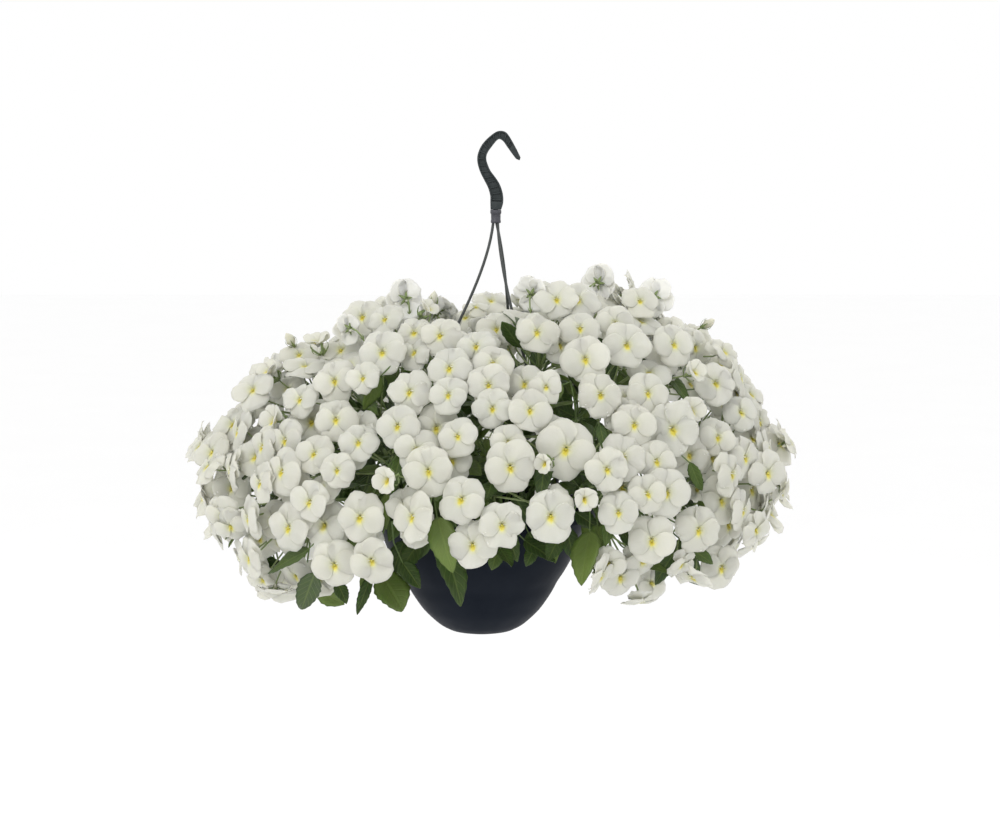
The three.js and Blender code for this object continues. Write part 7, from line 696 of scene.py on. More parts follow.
 [16,-56.9,-174.6,-305.9,-63.4,-201.8,-301.5,-63.9,-236.3,-316.8,-0.5,-0.3,0.8,21.0],
 [16,-44.0,-105.4,-308.9,-48.2,-126.1,-286.6,-46.6,-154.1,-278.0,0.0,0.3,1.0,15.2],
 [16,-62.5,-211.9,-314.2,-52.2,-219.4,-314.2,-19.8,-238.8,-330.3,-0.2,-0.8,0.6,19.7],
 [16,-52.7,-150.9,-304.3,-26.4,-166.5,-301.8,1.2,-191.1,-297.6,-0.3,-0.2,0.9,17.0],
 [16,-59.3,-189.2,-308.2,-31.3,-184.9,-310.6,8.2,-172.6,-323.9,0.4,-0.4,0.8,24.5],
 [16,-48.6,-128.9,-305.1,-36.9,-135.7,-299.2,-0.8,-158.5,-300.1,-0.2,-0.3,0.9,21.2],
 [17,48.6,-124.2,-304.3,53.3,-130.1,-297.1,76.7,-141.2,-287.5,-0.5,-0.7,0.5,12.5],
 [17,96.2,-195.2,-311.3,93.9,-216.8,-301.4,80.4,-253.9,-303.6,0.8,-0.3,0.5,21.5],
 [17,27.6,-93.5,-312.0,15.9,-105.1,-320.8,-1.5,-123.6,-332.0,-0.7,0.3,0.6,13.6],
 [17,91.3,-187.7,-308.8,87.5,-172.2,-310.7,81.2,-149.6,-326.2,0.2,0.6,0.8,13.1],
 [17,80.3,-171.1,-305.1,76.1,-183.4,-301.3,60.9,-205.3,-294.4,0.5,-0.1,0.8,15.0],
 [17,93.7,-191.5,-310.0,62.9,-183.0,-304.2,36.8,-180.3,-305.5,-0.1,-0.4,0.9,13.4],
 [17,64.5,-147.7,-303.1,66.4,-158.4,-302.0,73.7,-195.3,-313.0,0.5,-0.2,0.9,18.7],
 [17,89.7,-185.3,-308.1,97.0,-195.3,-300.5,115.9,-230.9,-299.9,-0.6,-0.3,0.8,19.8],
 [17,70.2,-156.1,-303.4,78.9,-168.6,-299.4,95.7,-198.8,-290.6,0.3,0.4,0.8,15.4],
 [17,49.2,-125.1,-304.2,62.9,-132.2,-307.4,92.6,-145.1,-328.6,0.3,-0.6,0.8,19.5],
 [18,-88.8,-71.5,-308.0,-100.3,-73.9,-322.7,-121.0,-77.4,-357.2,-0.6,-0.7,0.4,22.3],
 [18,-126.9,-105.4,-302.3,-145.6,-121.6,-296.9,-174.4,-143.9,-285.7,0.1,0.3,0.9,21.9],
 [18,-163.8,-138.9,-312.8,-172.9,-129.3,-290.3,-190.2,-101.1,-279.5,-0.1,-0.4,0.9,14.7],
 [18,-94.0,-76.1,-306.4,-100.0,-85.8,-314.2,-107.3,-104.2,-332.3,-0.5,-0.5,0.7,13.8],
 [18,-92.7,-75.0,-306.8,-115.5,-91.2,-313.2,-143.0,-106.7,-328.2,-0.4,-0.1,0.9,16.9],
 [18,-145.5,-122.1,-304.7,-172.4,-120.7,-302.1,-205.3,-127.2,-312.2,-0.2,-0.2,0.9,19.4],
 [18,-109.7,-90.0,-303.2,-132.0,-95.4,-289.5,-158.7,-102.7,-279.6,0.4,-0.5,0.8,15.3],
 [18,-129.3,-107.6,-302.4,-154.8,-116.8,-285.4,-189.1,-132.3,-289.5,-0.1,-0.1,1.0,16.2],
 [18,-106.1,-86.9,-303.7,-112.3,-104.8,-278.0,-130.6,-108.1,-250.0,0.8,-0.3,0.5,14.8],
 [18,-161.3,-136.5,-311.0,-181.0,-148.8,-326.0,-193.2,-161.3,-345.5,-0.3,-0.7,0.7,14.2],
 [19,-90.6,130.7,-332.1,-95.6,141.5,-327.8,-114.7,167.9,-324.4,0.2,-0.0,1.0,18.3],
 [19,-77.7,107.0,-338.8,-91.6,96.9,-350.0,-109.8,86.5,-368.1,0.6,0.3,-0.8,13.6],
 [19,-93.9,136.8,-330.5,-106.2,149.2,-333.6,-124.5,162.7,-366.4,-0.5,0.7,0.5,17.0],
 [19,-88.2,126.2,-333.4,-92.5,153.5,-341.5,-87.9,181.8,-371.0,-0.3,0.7,0.6,21.1],
 [19,-87.8,125.6,-333.6,-91.2,135.7,-334.4,-95.5,170.4,-339.2,0.1,0.1,1.0,20.1],
 [19,-113.9,173.5,-319.6,-119.4,187.7,-323.3,-137.9,219.5,-332.8,-0.1,0.2,1.0,21.3],
 [19,-97.2,142.8,-328.8,-103.2,149.5,-312.9,-94.2,168.9,-295.0,-0.6,0.7,-0.4,15.2],
 [19,-106.1,159.1,-324.1,-132.4,169.1,-326.0,-162.5,181.6,-343.0,-0.5,0.0,0.9,18.8],
 [19,-103.6,154.6,-325.4,-111.5,149.6,-318.3,-129.1,125.0,-301.0,-0.2,0.7,0.7,15.5],
 [19,-102.6,152.7,-326.0,-115.7,163.8,-335.8,-128.6,185.9,-351.8,-0.6,0.2,0.8,15.8],
 [20,170.8,33.0,-308.2,181.6,32.3,-306.7,216.7,27.2,-308.1,0.0,-0.0,1.0,16.0],
 [20,155.2,30.9,-312.6,158.0,0.7,-297.6,167.9,-34.6,-291.4,0.7,0.3,0.7,20.2],
 [20,155.0,30.9,-312.7,174.1,46.9,-302.1,204.2,75.0,-296.8,0.1,-0.2,1.0,21.3],
 [20,121.0,26.4,-321.9,133.2,42.0,-328.6,148.7,72.2,-334.6,0.8,-0.3,0.5,16.1],
 [20,173.9,33.4,-307.4,187.7,42.8,-316.1,215.4,48.9,-331.7,0.4,0.4,0.8,15.0],
 [20,133.9,28.1,-318.4,147.0,40.5,-313.8,161.6,68.5,-334.6,0.9,-0.1,0.5,21.4],
 [20,198.2,36.6,-299.8,206.9,34.8,-293.8,241.1,32.0,-283.2,-0.3,0.2,0.9,17.2],
 [20,99.5,23.5,-328.0,103.9,34.5,-330.7,108.0,65.5,-333.0,0.3,0.0,1.0,14.7],
 [20,123.0,26.6,-321.4,121.9,30.8,-334.9,127.2,28.5,-360.6,-0.0,1.0,-0.1,12.7],
 [20,165.1,32.2,-309.9,162.9,31.5,-285.6,166.5,28.1,-259.8,-1.0,0.1,0.2,15.2],
 [21,126.0,-95.6,-315.4,136.2,-113.5,-312.9,143.3,-156.2,-317.5,0.5,-0.0,0.9,18.8],
 [21,111.8,-86.6,-320.2,110.1,-117.5,-322.9,109.5,-142.7,-342.2,0.5,-0.5,0.7,17.0],
 [21,131.2,-98.9,-313.6,118.3,-92.1,-305.1,95.8,-63.4,-284.7,0.5,-0.2,0.8,22.7],
 [21,137.5,-102.8,-311.4,145.8,-104.7,-296.2,164.6,-112.2,-258.7,-0.9,0.1,0.5,24.4],
 [21,132.5,-99.6,-313.2,137.1,-95.5,-324.9,136.9,-84.7,-363.1,1.0,0.1,0.0,17.4],
 [21,98.2,-78.0,-324.8,85.1,-84.5,-332.8,66.4,-89.7,-354.9,0.4,0.8,-0.5,13.2],
 [21,157.4,-115.4,-304.1,160.5,-123.7,-275.2,177.0,-107.7,-244.5,-0.3,-0.7,0.6,20.9],
 [21,74.1,-62.7,-333.6,74.1,-45.9,-337.9,76.8,-14.7,-347.0,0.8,0.1,0.6,14.2],
 [21,83.4,-68.6,-330.1,86.8,-76.9,-339.8,97.7,-101.0,-374.6,1.0,0.2,0.2,19.8],
 [21,155.5,-114.2,-304.8,167.9,-115.6,-305.2,207.1,-109.3,-311.0,0.2,-0.6,0.8,17.9],
 [22,134.7,-39.1,-317.3,148.4,-55.5,-316.8,160.3,-87.9,-318.8,0.1,-0.0,1.0,18.9],
 [22,161.6,-47.4,-309.1,188.9,-50.0,-321.8,205.6,-56.2,-342.2,0.6,-0.4,0.7,15.5],
 [22,85.3,-23.9,-333.6,96.5,-48.5,-317.5,110.1,-87.5,-302.8,-0.2,-0.4,-0.9,18.5],
 [22,208.3,-61.7,-294.6,214.5,-70.6,-305.8,220.4,-88.7,-327.1,0.7,-0.5,0.6,13.3],
 [22,132.0,-38.3,-318.1,143.4,-23.1,-319.1,168.9,2.0,-325.4,0.3,-0.0,1.0,17.5],
 [22,195.4,-57.7,-298.8,206.4,-52.2,-303.3,232.5,-29.7,-327.8,0.7,-0.1,0.7,18.9],
 [22,216.0,-64.1,-292.0,229.5,-51.1,-294.5,247.9,-30.6,-309.4,0.7,-0.1,0.7,17.5],
 [22,194.2,-57.4,-299.2,173.7,-74.3,-301.1,147.1,-105.1,-313.0,0.3,-0.6,0.7,19.8],
 [22,181.8,-53.6,-303.0,178.3,-65.3,-276.0,181.2,-89.0,-243.4,-0.1,0.8,0.6,21.3],
 [22,112.2,-32.2,-324.3,124.3,-21.2,-346.7,138.3,-10.4,-378.0,-0.9,0.4,-0.3,19.6],
 [23,-104.2,-178.9,-296.1,-99.4,-197.7,-287.1,-99.3,-224.0,-281.2,-0.2,0.2,0.9,14.3],
 [23,-96.9,-164.2,-302.3,-104.4,-185.1,-322.4,-105.2,-200.4,-353.6,-0.7,-0.7,0.3,19.3],
 [23,-77.3,-125.3,-317.5,-68.1,-136.6,-308.1,-38.3,-162.5,-297.5,-0.7,-0.6,0.5,22.4],
 [23,-69.3,-109.2,-323.8,-79.9,-97.3,-331.5,-99.9,-90.0,-357.9,-0.8,0.0,0.6,16.6],
 [23,-63.0,-96.9,-328.8,-42.7,-108.0,-319.1,-12.9,-127.9,-318.3,-0.1,-0.0,1.0,20.1],
 [23,-67.3,-105.3,-325.3,-78.9,-116.4,-328.2,-102.1,-131.0,-339.0,0.6,-0.5,-0.6,13.3],
 [23,-72.4,-115.5,-321.3,-71.8,-122.7,-330.6,-70.0,-145.5,-357.4,-0.7,-0.6,0.5,17.2],
 [23,-73.2,-117.0,-320.7,-101.6,-106.0,-324.9,-138.3,-96.8,-346.3,-0.3,0.5,0.8,23.6],
 [23,-64.1,-99.0,-327.9,-70.1,-105.1,-315.9,-91.9,-137.7,-300.1,0.6,-0.0,0.8,23.0],
 [23,-75.5,-121.7,-318.8,-88.1,-131.2,-340.4,-105.6,-131.6,-378.0,-0.6,-0.7,0.3,21.7],
 [24,-46.0,-189.2,-280.9,-50.5,-182.5,-292.3,-60.6,-174.1,-333.0,-0.5,-0.9,-0.1,23.0],
 [24,-42.1,-163.9,-292.6,-38.9,-171.7,-287.0,-49.7,-207.4,-281.0,0.4,0.0,0.9,19.8],
 [24,-34.1,-112.7,-315.5,-40.7,-113.3,-324.1,-57.5,-103.2,-345.3,-0.7,0.3,0.7,12.9],
 [24,-37.4,-133.8,-305.9,-51.5,-135.4,-294.4,-86.1,-141.4,-287.9,0.2,-0.3,0.9,17.6],
 [24,-44.8,-181.2,-284.7,-41.5,-197.9,-270.9,-26.7,-228.7,-271.0,-0.5,-0.2,0.8,17.4],
 [24,-44.0,-176.3,-287.0,-53.9,-198.0,-294.0,-74.9,-219.8,-298.2,-0.1,-0.1,1.0,16.2],
 [24,-40.3,-152.2,-297.8,-39.7,-174.6,-295.1,-18.0,-212.5,-298.6,-0.4,-0.3,0.9,22.2],
 [24,-37.3,-132.9,-306.3,-31.7,-134.9,-295.0,-9.9,-150.6,-265.0,-0.8,-0.2,0.5,19.1],
 [24,-44.6,-180.2,-285.2,-45.8,-199.5,-284.8,-51.8,-239.6,-296.2,0.1,-0.3,0.9,19.1],
 [24,-45.2,-184.1,-283.3,-54.2,-199.5,-279.4,-73.2,-216.7,-284.1,0.1,-0.4,0.9,11.8],
 [25,122.6,130.5,-279.6,121.1,143.5,-271.5,113.3,184.5,-266.4,0.3,-0.1,1.0,21.5],
 [25,117.8,126.1,-282.5,128.3,121.4,-261.3,136.2,104.8,-236.3,0.1,0.8,0.5,17.6],
 [25,40.9,56.1,-328.4,12.6,63.3,-339.3,-27.2,67.1,-347.2,0.1,1.0,-0.1,21.1],
 [25,76.6,88.6,-305.9,75.1,100.0,-292.7,62.9,123.9,-286.0,0.8,0.2,0.6,12.0],
 [25,115.2,123.7,-284.0,122.6,132.9,-270.4,123.6,160.5,-238.9,0.9,-0.3,0.2,18.9],
 [25,72.2,84.6,-308.5,80.8,73.2,-302.9,103.7,48.8,-296.2,0.2,-0.1,-1.0,15.6],
 [25,56.6,70.4,-317.9,74.7,85.5,-311.9,97.1,102.7,-325.0,-0.7,0.4,-0.6,16.1],
 [25,109.8,118.8,-287.1,110.7,130.3,-270.7,108.7,162.7,-247.2,0.5,-0.5,0.7,20.7],
 [25,84.3,95.6,-301.6,88.4,108.6,-295.6,97.8,133.4,-292.8,0.2,-0.2,1.0,12.4],
 [25,69.8,82.4,-309.9,57.7,82.8,-321.0,28.5,90.2,-348.8,-0.7,-0.3,0.6,17.8],
 [26,-128.9,30.9,-305.4,-142.6,40.5,-299.6,-155.4,71.9,-308.1,-0.8,-0.1,0.6,19.7],
 [26,-154.2,38.0,-292.3,-172.7,36.7,-267.2,-203.9,30.9,-249.0,0.1,0.8,0.5,18.0],
 [26,-160.4,39.7,-289.1,-173.0,41.8,-287.6,-208.8,53.7,-298.4,-0.3,-0.1,0.9,19.8],
 [26,-128.4,30.8,-305.7,-144.6,44.2,-291.0,-159.8,64.4,-259.2,-0.7,-0.7,0.1,21.5],
 [26,-143.3,34.9,-297.9,-140.8,28.1,-315.2,-137.1,19.2,-346.0,-0.8,-0.6,0.1,18.0],
 [26,-124.4,29.6,-307.8,-147.7,19.8,-319.4,-171.8,14.7,-337.1,0.3,-0.9,-0.2,16.8],
 [26,-127.4,30.5,-306.2,-142.6,54.0,-313.2,-156.4,85.2,-329.7,-0.4,0.3,0.9,16.2],
 [26,-184.1,46.3,-276.2,-194.1,51.8,-268.7,-216.3,78.4,-263.9,0.1,-0.1,1.0,15.4],
 [26,-97.2,22.0,-323.1,-106.0,19.7,-316.9,-139.8,5.5,-300.2,-0.1,-0.7,-0.7,18.5],
 [26,-99.7,22.7,-321.6,-117.7,30.1,-334.9,-148.5,39.7,-363.9,-0.4,0.6,0.7,23.2],
 [27,-97.5,68.8,-291.7,-116.3,90.1,-295.6,-134.3,105.2,-311.5,-0.5,0.3,0.8,16.3],
 [27,-77.0,49.9,-309.2,-73.6,57.1,-323.9,-73.4,69.5,-354.9,0.4,0.8,0.3,17.4],
 [27,-89.0,61.0,-298.7,-85.0,81.3,-284.6,-87.4,110.5,-267.4,0.1,-0.5,0.9,18.2],
 [27,-118.6,88.3,-274.7,-131.2,94.0,-262.7,-170.7,107.2,-259.3,0.1,-0.0,1.0,22.1],
 [27,-91.8,63.5,-296.4,-90.8,68.8,-286.2,-82.2,96.7,-254.5,0.5,-0.7,0.5,23.5],
 [27,-115.3,85.2,-277.4,-130.3,90.1,-275.6,-169.3,87.8,-276.3,-0.1,0.5,0.9,16.4],
 [27,-71.4,44.7,-314.6,-44.8,23.9,-315.1,-22.6,8.3,-317.5,-0.0,0.1,-1.0,14.5],
 [27,-87.6,59.6,-299.9,-84.7,63.2,-279.1,-86.1,68.4,-253.0,0.5,-0.8,0.2,11.4],
 [27,-115.1,85.0,-277.6,-114.6,92.7,-263.2,-117.6,117.6,-231.3,-0.3,-0.8,0.6,21.4],
 [27,-128.0,97.0,-266.6,-138.2,92.5,-259.5,-161.5,69.7,-241.0,-0.1,0.7,0.7,16.0],
 [28,-1.4,-92.9,-312.5,4.3,-86.9,-306.3,18.6,-57.8,-306.3,-0.8,0.4,0.4,15.4],
 [28,12.6,-164.7,-278.2,14.1,-176.0,-270.6,15.2,-214.0,-268.4,0.0,0.1,1.0,22.0],
 [28,-4.9,-74.6,-322.5,-5.3,-99.7,-305.2,-13.8,-126.9,-281.2,0.3,-0.7,-0.7,21.1],
 [28,1.0,-105.0,-306.4,10.4,-106.2,-283.7,45.7,-106.0,-257.8,-0.6,-0.2,0.8,19.1],
 [28,-3.8,-80.6,-319.1,-25.1,-76.4,-333.6,-44.0,-72.0,-354.0,-0.7,-0.0,0.7,15.3],
 [28,-0.3,-98.7,-309.6,-1.8,-100.9,-281.6,2.2,-108.6,-256.5,-0.8,0.5,0.3,12.7],
 [28,-5.1,-73.7,-323.0,11.4,-62.8,-311.6,42.4,-41.5,-311.0,-0.3,0.5,-0.8,16.7],
 [28,1.8,-109.0,-304.5,-15.1,-100.6,-295.5,-48.2,-86.7,-308.9,-0.3,0.1,0.9,17.2],
 [28,13.2,-167.6,-276.8,20.2,-177.3,-254.1,33.0,-200.3,-229.8,-0.8,0.1,0.6,16.5],
 [28,3.0,-115.2,-301.5,9.9,-97.2,-298.7,39.0,-69.8,-302.8,-0.1,0.2,1.0,22.3],
 [29,-89.6,-13.7,-320.6,-89.5,2.8,-315.6,-94.3,28.1,-325.3,0.9,0.0,-0.4,12.4],
 [29,-120.0,-20.8,-302.4,-132.7,-25.4,-288.9,-159.8,-36.6,-272.7,0.3,0.5,0.8,18.6],
 [29,-149.3,-27.7,-286.3,-166.4,-23.1,-260.3,-195.0,-12.8,-239.8,0.4,-0.4,0.8,20.8],
 [29,-137.5,-24.9,-292.7,-140.1,-31.5,-275.2,-149.5,-41.1,-252.3,-0.5,0.8,0.1,14.4],
 [29,-125.0,-22.0,-299.6,-138.2,-44.6,-282.3,-167.6,-64.5,-276.1,0.1,0.2,1.0,19.1],
 [29,-183.1,-35.6,-267.0,-179.5,-26.1,-245.7,-165.7,-0.1,-235.7,-0.2,-0.2,0.9,16.5],
 [29,-95.5,-15.1,-316.9,-102.5,-33.5,-334.8,-118.3,-63.9,-359.4,0.3,-0.7,0.6,23.9],
 [29,-153.2,-28.6,-284.1,-146.7,-5.4,-296.8,-143.2,10.7,-322.6,-0.3,0.8,0.5,15.8],
 [29,-86.1,-12.9,-323.0,-91.3,-8.5,-312.2,-111.8,-2.2,-276.6,0.6,0.7,0.2,22.0],
 [29,-111.6,-18.8,-307.3,-132.1,-19.6,-307.8,-159.3,-28.4,-320.3,-0.4,-0.0,0.9,14.2],
 [30,-68.9,-72.9,-304.2,-57.3,-66.2,-282.0,-34.8,-53.7,-259.8,-0.1,-0.8,0.6,18.9],
 [30,-89.9,-102.2,-283.1,-96.3,-110.3,-284.1,-107.9,-138.7,-293.5,-0.4,-0.1,0.9,17.0],
 [30,-55.0,-53.3,-320.2,-57.2,-32.2,-330.4,-57.7,-11.1,-352.0,1.0,-0.1,-0.2,17.2],
 [30,-101.0,-117.8,-272.2,-111.3,-118.4,-271.6,-140.4,-120.8,-274.6,-0.1,-0.3,0.9,16.6],
 [30,-80.1,-88.6,-292.8,-88.8,-83.3,-282.0,-109.8,-65.4,-250.8,0.3,-0.7,0.6,17.5],
 [30,-111.5,-132.7,-261.1,-128.1,-142.0,-250.2,-156.6,-162.7,-251.2,0.0,-0.1,1.0,15.6],
 [30,-91.0,-103.8,-282.1,-95.5,-134.2,-269.4,-104.3,-171.5,-282.7,-0.2,-0.3,0.9,23.5],
 [30,-99.4,-115.7,-273.7,-111.1,-113.5,-245.2,-118.7,-103.7,-214.9,0.5,-0.8,0.4,17.7],
 [30,-103.9,-122.0,-269.1,-110.0,-150.0,-262.9,-125.8,-174.9,-268.8,-0.1,-0.1,1.0,12.7],
 [30,-88.9,-100.9,-284.1,-101.4,-105.3,-283.0,-127.5,-109.9,-296.5,-0.4,-0.1,0.9,14.9],
 [31,152.4,56.7,-247.6,144.2,77.0,-259.4,135.9,106.2,-277.0,0.5,0.5,0.7,17.0],
 [31,63.2,23.7,-306.0,84.4,30.5,-294.3,120.6,34.7,-299.3,-0.0,0.9,0.5,17.5],
 [31,61.2,22.9,-307.5,41.6,35.6,-330.8,20.9,41.4,-359.1,-0.1,-1.0,-0.1,20.6],
 [31,80.3,30.0,-294.0,82.5,32.3,-283.5,96.4,57.5,-258.3,-0.4,-0.5,0.8,17.3],
 [31,156.8,58.3,-244.5,173.2,51.9,-248.0,197.9,38.3,-261.9,0.6,0.4,0.7,13.6],
 [31,84.0,31.4,-291.6,83.7,16.1,-294.9,80.5,-11.1,-311.0,0.0,-0.5,0.9,14.3],
 [31,93.1,34.8,-285.7,109.6,56.8,-276.5,122.8,94.7,-288.6,0.2,0.2,0.9,23.1],
 [31,81.6,30.5,-293.2,63.9,5.9,-281.0,48.5,-31.0,-290.0,0.0,-0.2,1.0,21.6],
 [31,121.3,45.2,-267.9,107.3,50.6,-238.5,91.0,78.2,-216.6,0.7,-0.2,0.7,16.6],
 [31,97.2,36.3,-283.0,113.3,41.5,-265.6,130.3,58.3,-247.5,-0.6,-0.2,0.8,12.7],
 [32,-27.3,-90.5,-299.9,-0.9,-104.1,-297.0,32.0,-117.9,-290.6,-0.1,0.3,1.0,16.9],
 [32,-45.6,-157.7,-248.4,-36.3,-164.7,-242.1,-7.8,-192.3,-240.5,-0.2,-0.1,1.0,17.5],
 [32,-25.2,-82.8,-306.3,-29.2,-56.7,-287.0,-31.2,-21.8,-288.2,-0.2,0.0,1.0,19.7],
 [32,-22.3,-72.1,-316.0,-11.0,-77.9,-293.5,10.1,-89.5,-281.3,-0.3,0.3,0.9,11.4],
 [32,-22.1,-71.5,-316.6,-30.1,-95.1,-304.1,-50.9,-132.5,-296.6,-0.3,0.4,0.9,20.4],
 [32,-23.8,-77.9,-310.6,-39.0,-75.5,-291.2,-63.4,-78.1,-277.9,0.4,0.3,0.8,14.4],
 [32,-39.7,-135.9,-265.2,-57.4,-156.8,-258.4,-72.8,-182.4,-255.1,0.2,0.0,1.0,14.9],
 [32,-46.0,-159.2,-247.1,-50.7,-166.0,-239.8,-77.2,-177.1,-228.5,0.5,-0.5,0.7,15.5],
 [32,-46.1,-159.3,-247.0,-51.8,-151.3,-219.9,-51.8,-140.6,-195.2,0.3,-0.9,0.4,14.0],
 [32,-33.2,-112.1,-283.0,-56.6,-124.8,-263.1,-81.8,-136.8,-256.0,0.2,0.1,1.0,12.7],
 [33,25.8,122.7,-259.7,22.3,145.3,-253.7,20.5,182.1,-253.1,-0.2,-0.0,1.0,17.3],
 [33,5.1,62.8,-309.2,21.5,76.0,-289.4,42.9,91.5,-279.6,-0.5,0.1,0.9,14.4],
 [33,16.5,95.8,-281.5,27.3,96.9,-273.4,53.6,109.3,-257.3,-0.5,-0.1,0.9,17.6],
 [33,5.7,64.6,-307.6,-4.5,89.7,-295.2,-14.2,118.9,-296.3,-0.1,-0.0,1.0,15.5],
 [33,7.7,70.5,-302.3,-9.1,67.6,-291.0,-52.3,65.5,-285.3,0.1,-0.4,0.9,21.8],
 [33,19.9,105.6,-273.8,18.5,96.3,-261.1,25.7,70.1,-243.6,-0.5,0.4,0.8,18.1],
 [33,26.7,125.3,-257.4,31.6,140.2,-251.3,47.2,162.7,-245.4,-0.6,0.2,0.8,12.0],
 [33,23.7,116.8,-264.7,16.5,129.7,-250.2,10.4,154.8,-238.5,0.2,-0.4,0.9,12.1],
 [33,28.4,130.4,-252.8,15.0,144.7,-258.0,-13.2,161.4,-278.5,-0.5,0.2,0.8,16.6],
 [33,23.3,115.6,-265.7,20.2,129.0,-262.6,14.1,156.6,-260.8,0.1,-0.0,1.0,11.9],
 [34,73.6,-74.3,-267.7,75.6,-61.9,-244.2,96.9,-34.6,-219.5,-0.5,-0.4,0.8,24.4],
 [34,73.3,-74.1,-267.9,84.5,-71.9,-246.0,112.8,-63.2,-214.8,-0.3,-0.8,0.5,20.9],
 [34,59.5,-62.2,-280.6,57.2,-63.6,-270.7,46.5,-75.7,-247.0,0.5,0.7,0.6,14.4],
 [34,35.2,-41.2,-305.7,52.5,-37.1,-327.5,61.1,-43.0,-352.0,-0.9,-0.2,-0.3,13.0],
 [34,75.2,-75.7,-266.3,74.1,-74.0,-250.2,58.9,-72.1,-224.8,0.8,0.5,0.4,15.5],
 [34,49.2,-53.3,-290.6,47.4,-39.0,-286.3,44.3,-9.3,-282.0,-0.0,-0.1,1.0,16.3],
 [34,56.0,-59.1,-283.9,82.2,-72.2,-268.2,89.8,-96.8,-247.4,0.1,0.7,0.8,13.9],
 [34,73.6,-74.4,-267.7,78.6,-87.2,-268.0,90.7,-116.0,-278.4,0.4,-0.2,0.9,14.2],
 [34,95.5,-93.3,-247.6,81.8,-70.8,-239.4,63.2,-39.5,-232.4,0.4,0.0,0.9,16.6],
 [34,85.1,-84.3,-257.3,78.1,-103.4,-238.0,61.2,-122.7,-204.9,0.6,0.6,0.6,19.5],
 [35,-94.2,-45.5,-276.7,-102.0,-54.7,-250.6,-128.4,-51.3,-223.9,0.7,0.1,0.7,16.0],
 [35,-68.6,-31.0,-305.0,-55.6,-28.1,-299.4,-14.0,-30.3,-308.4,0.2,0.1,1.0,21.3],
 [35,-71.4,-32.6,-301.5,-55.9,-3.8,-292.1,-38.1,18.6,-295.6,0.5,-0.3,0.8,14.0],
 [35,-70.8,-32.2,-302.3,-94.0,-33.3,-306.3,-134.5,-48.5,-308.8,0.1,-0.3,0.9,23.3],
 [35,-101.6,-49.6,-269.3,-91.7,-54.6,-265.5,-55.3,-62.5,-266.6,0.0,0.0,1.0,21.1],
 [35,-122.7,-61.5,-247.4,-112.1,-74.8,-222.6,-92.7,-99.5,-204.5,-0.1,0.6,0.8,17.3],
 [35,-100.4,-48.9,-270.5,-94.1,-48.4,-237.2,-82.5,-58.8,-215.2,-0.4,0.7,0.6,13.7],
 [35,-114.3,-56.8,-256.4,-126.7,-70.9,-236.2,-149.0,-86.6,-221.4,0.6,-0.0,0.8,17.2],
 [35,-71.6,-32.7,-301.3,-54.8,-31.0,-286.5,-25.6,-21.8,-263.6,-0.6,0.2,0.7,18.8],
 [35,-81.6,-38.4,-289.7,-56.3,-20.3,-282.4,-33.6,3.7,-267.7,-0.1,-0.5,0.9,20.2],
 [36,-73.2,90.6,-243.0,-79.3,92.6,-228.6,-94.7,100.1,-199.7,0.8,0.5,0.3,16.2],
 [36,-53.1,56.2,-285.3,-50.5,75.6,-257.5,-58.1,99.3,-249.1,0.1,-0.3,0.9,14.2],
 [36,-61.1,69.9,-268.0,-62.8,84.3,-246.2,-71.0,106.5,-209.5,-0.0,-0.9,0.5,24.5],
 [36,-60.1,68.1,-270.2,-56.1,61.8,-237.8,-46.4,42.3,-217.7,-0.2,0.7,0.7,16.4],
 [36,-59.9,67.9,-270.5,-45.8,72.2,-264.3,-14.5,84.9,-277.7,0.3,0.2,0.9,19.7],
 [36,-58.4,65.4,-273.6,-53.4,62.8,-246.8,-50.2,75.2,-209.5,0.5,-0.9,0.2,18.8],
 [36,-70.6,86.1,-248.6,-76.4,112.6,-240.7,-79.4,154.6,-231.2,0.1,-0.2,1.0,24.9],
 [36,-80.0,102.2,-227.5,-87.8,107.6,-218.0,-113.7,118.2,-208.6,0.3,-0.1,0.9,15.8],
 [36,-58.0,64.6,-274.6,-35.2,76.8,-278.6,-8.2,89.7,-297.1,0.4,0.3,0.8,19.0],
 [36,-55.9,61.0,-279.1,-49.7,68.4,-274.6,-42.3,99.1,-257.1,0.1,-0.5,0.9,16.2],
 [37,-53.3,-104.7,-237.4,-41.8,-106.0,-239.1,-17.8,-109.7,-249.2,0.4,-0.0,0.9,11.2],
 [37,-47.6,-89.2,-254.1,-25.4,-99.2,-236.3,12.5,-112.0,-220.7,-0.2,0.4,0.9,19.1],
 [37,-40.6,-69.9,-275.1,-49.5,-65.4,-263.7,-66.9,-50.9,-246.4,0.7,-0.0,0.7,12.7],
 [37,-49.7,-95.0,-247.9,-36.2,-105.2,-232.0,-11.8,-128.0,-216.8,-0.1,0.4,0.9,16.7],
 [37,-55.1,-109.7,-231.8,-52.9,-140.2,-226.6,-64.2,-170.8,-229.4,0.4,-0.2,0.9,15.9],
 [37,-58.1,-118.2,-221.9,-56.4,-121.3,-206.7,-52.6,-143.6,-172.6,-0.3,0.8,0.6,18.8],
 [37,-57.8,-117.2,-223.0,-51.4,-122.2,-216.8,-26.6,-143.2,-196.2,-0.3,0.5,0.8,17.2],
 [37,-50.1,-95.9,-246.9,-38.3,-74.8,-237.7,-19.9,-35.4,-234.2,0.2,-0.2,0.9,20.3],
 [37,-38.4,-63.8,-282.1,-53.5,-81.6,-264.6,-77.8,-100.3,-264.8,0.2,-0.3,0.9,17.1],
 [37,-47.5,-88.9,-254.5,-73.5,-76.6,-262.1,-100.3,-59.4,-274.3,-0.3,0.2,0.9,18.0],
 [38,84.2,-16.8,-267.9,74.3,-19.9,-238.2,67.4,-29.5,-211.9,0.7,0.6,0.4,16.1],
 [38,56.7,-13.7,-292.5,50.5,-20.0,-274.1,44.2,-39.7,-239.0,0.1,0.9,0.5,17.2],
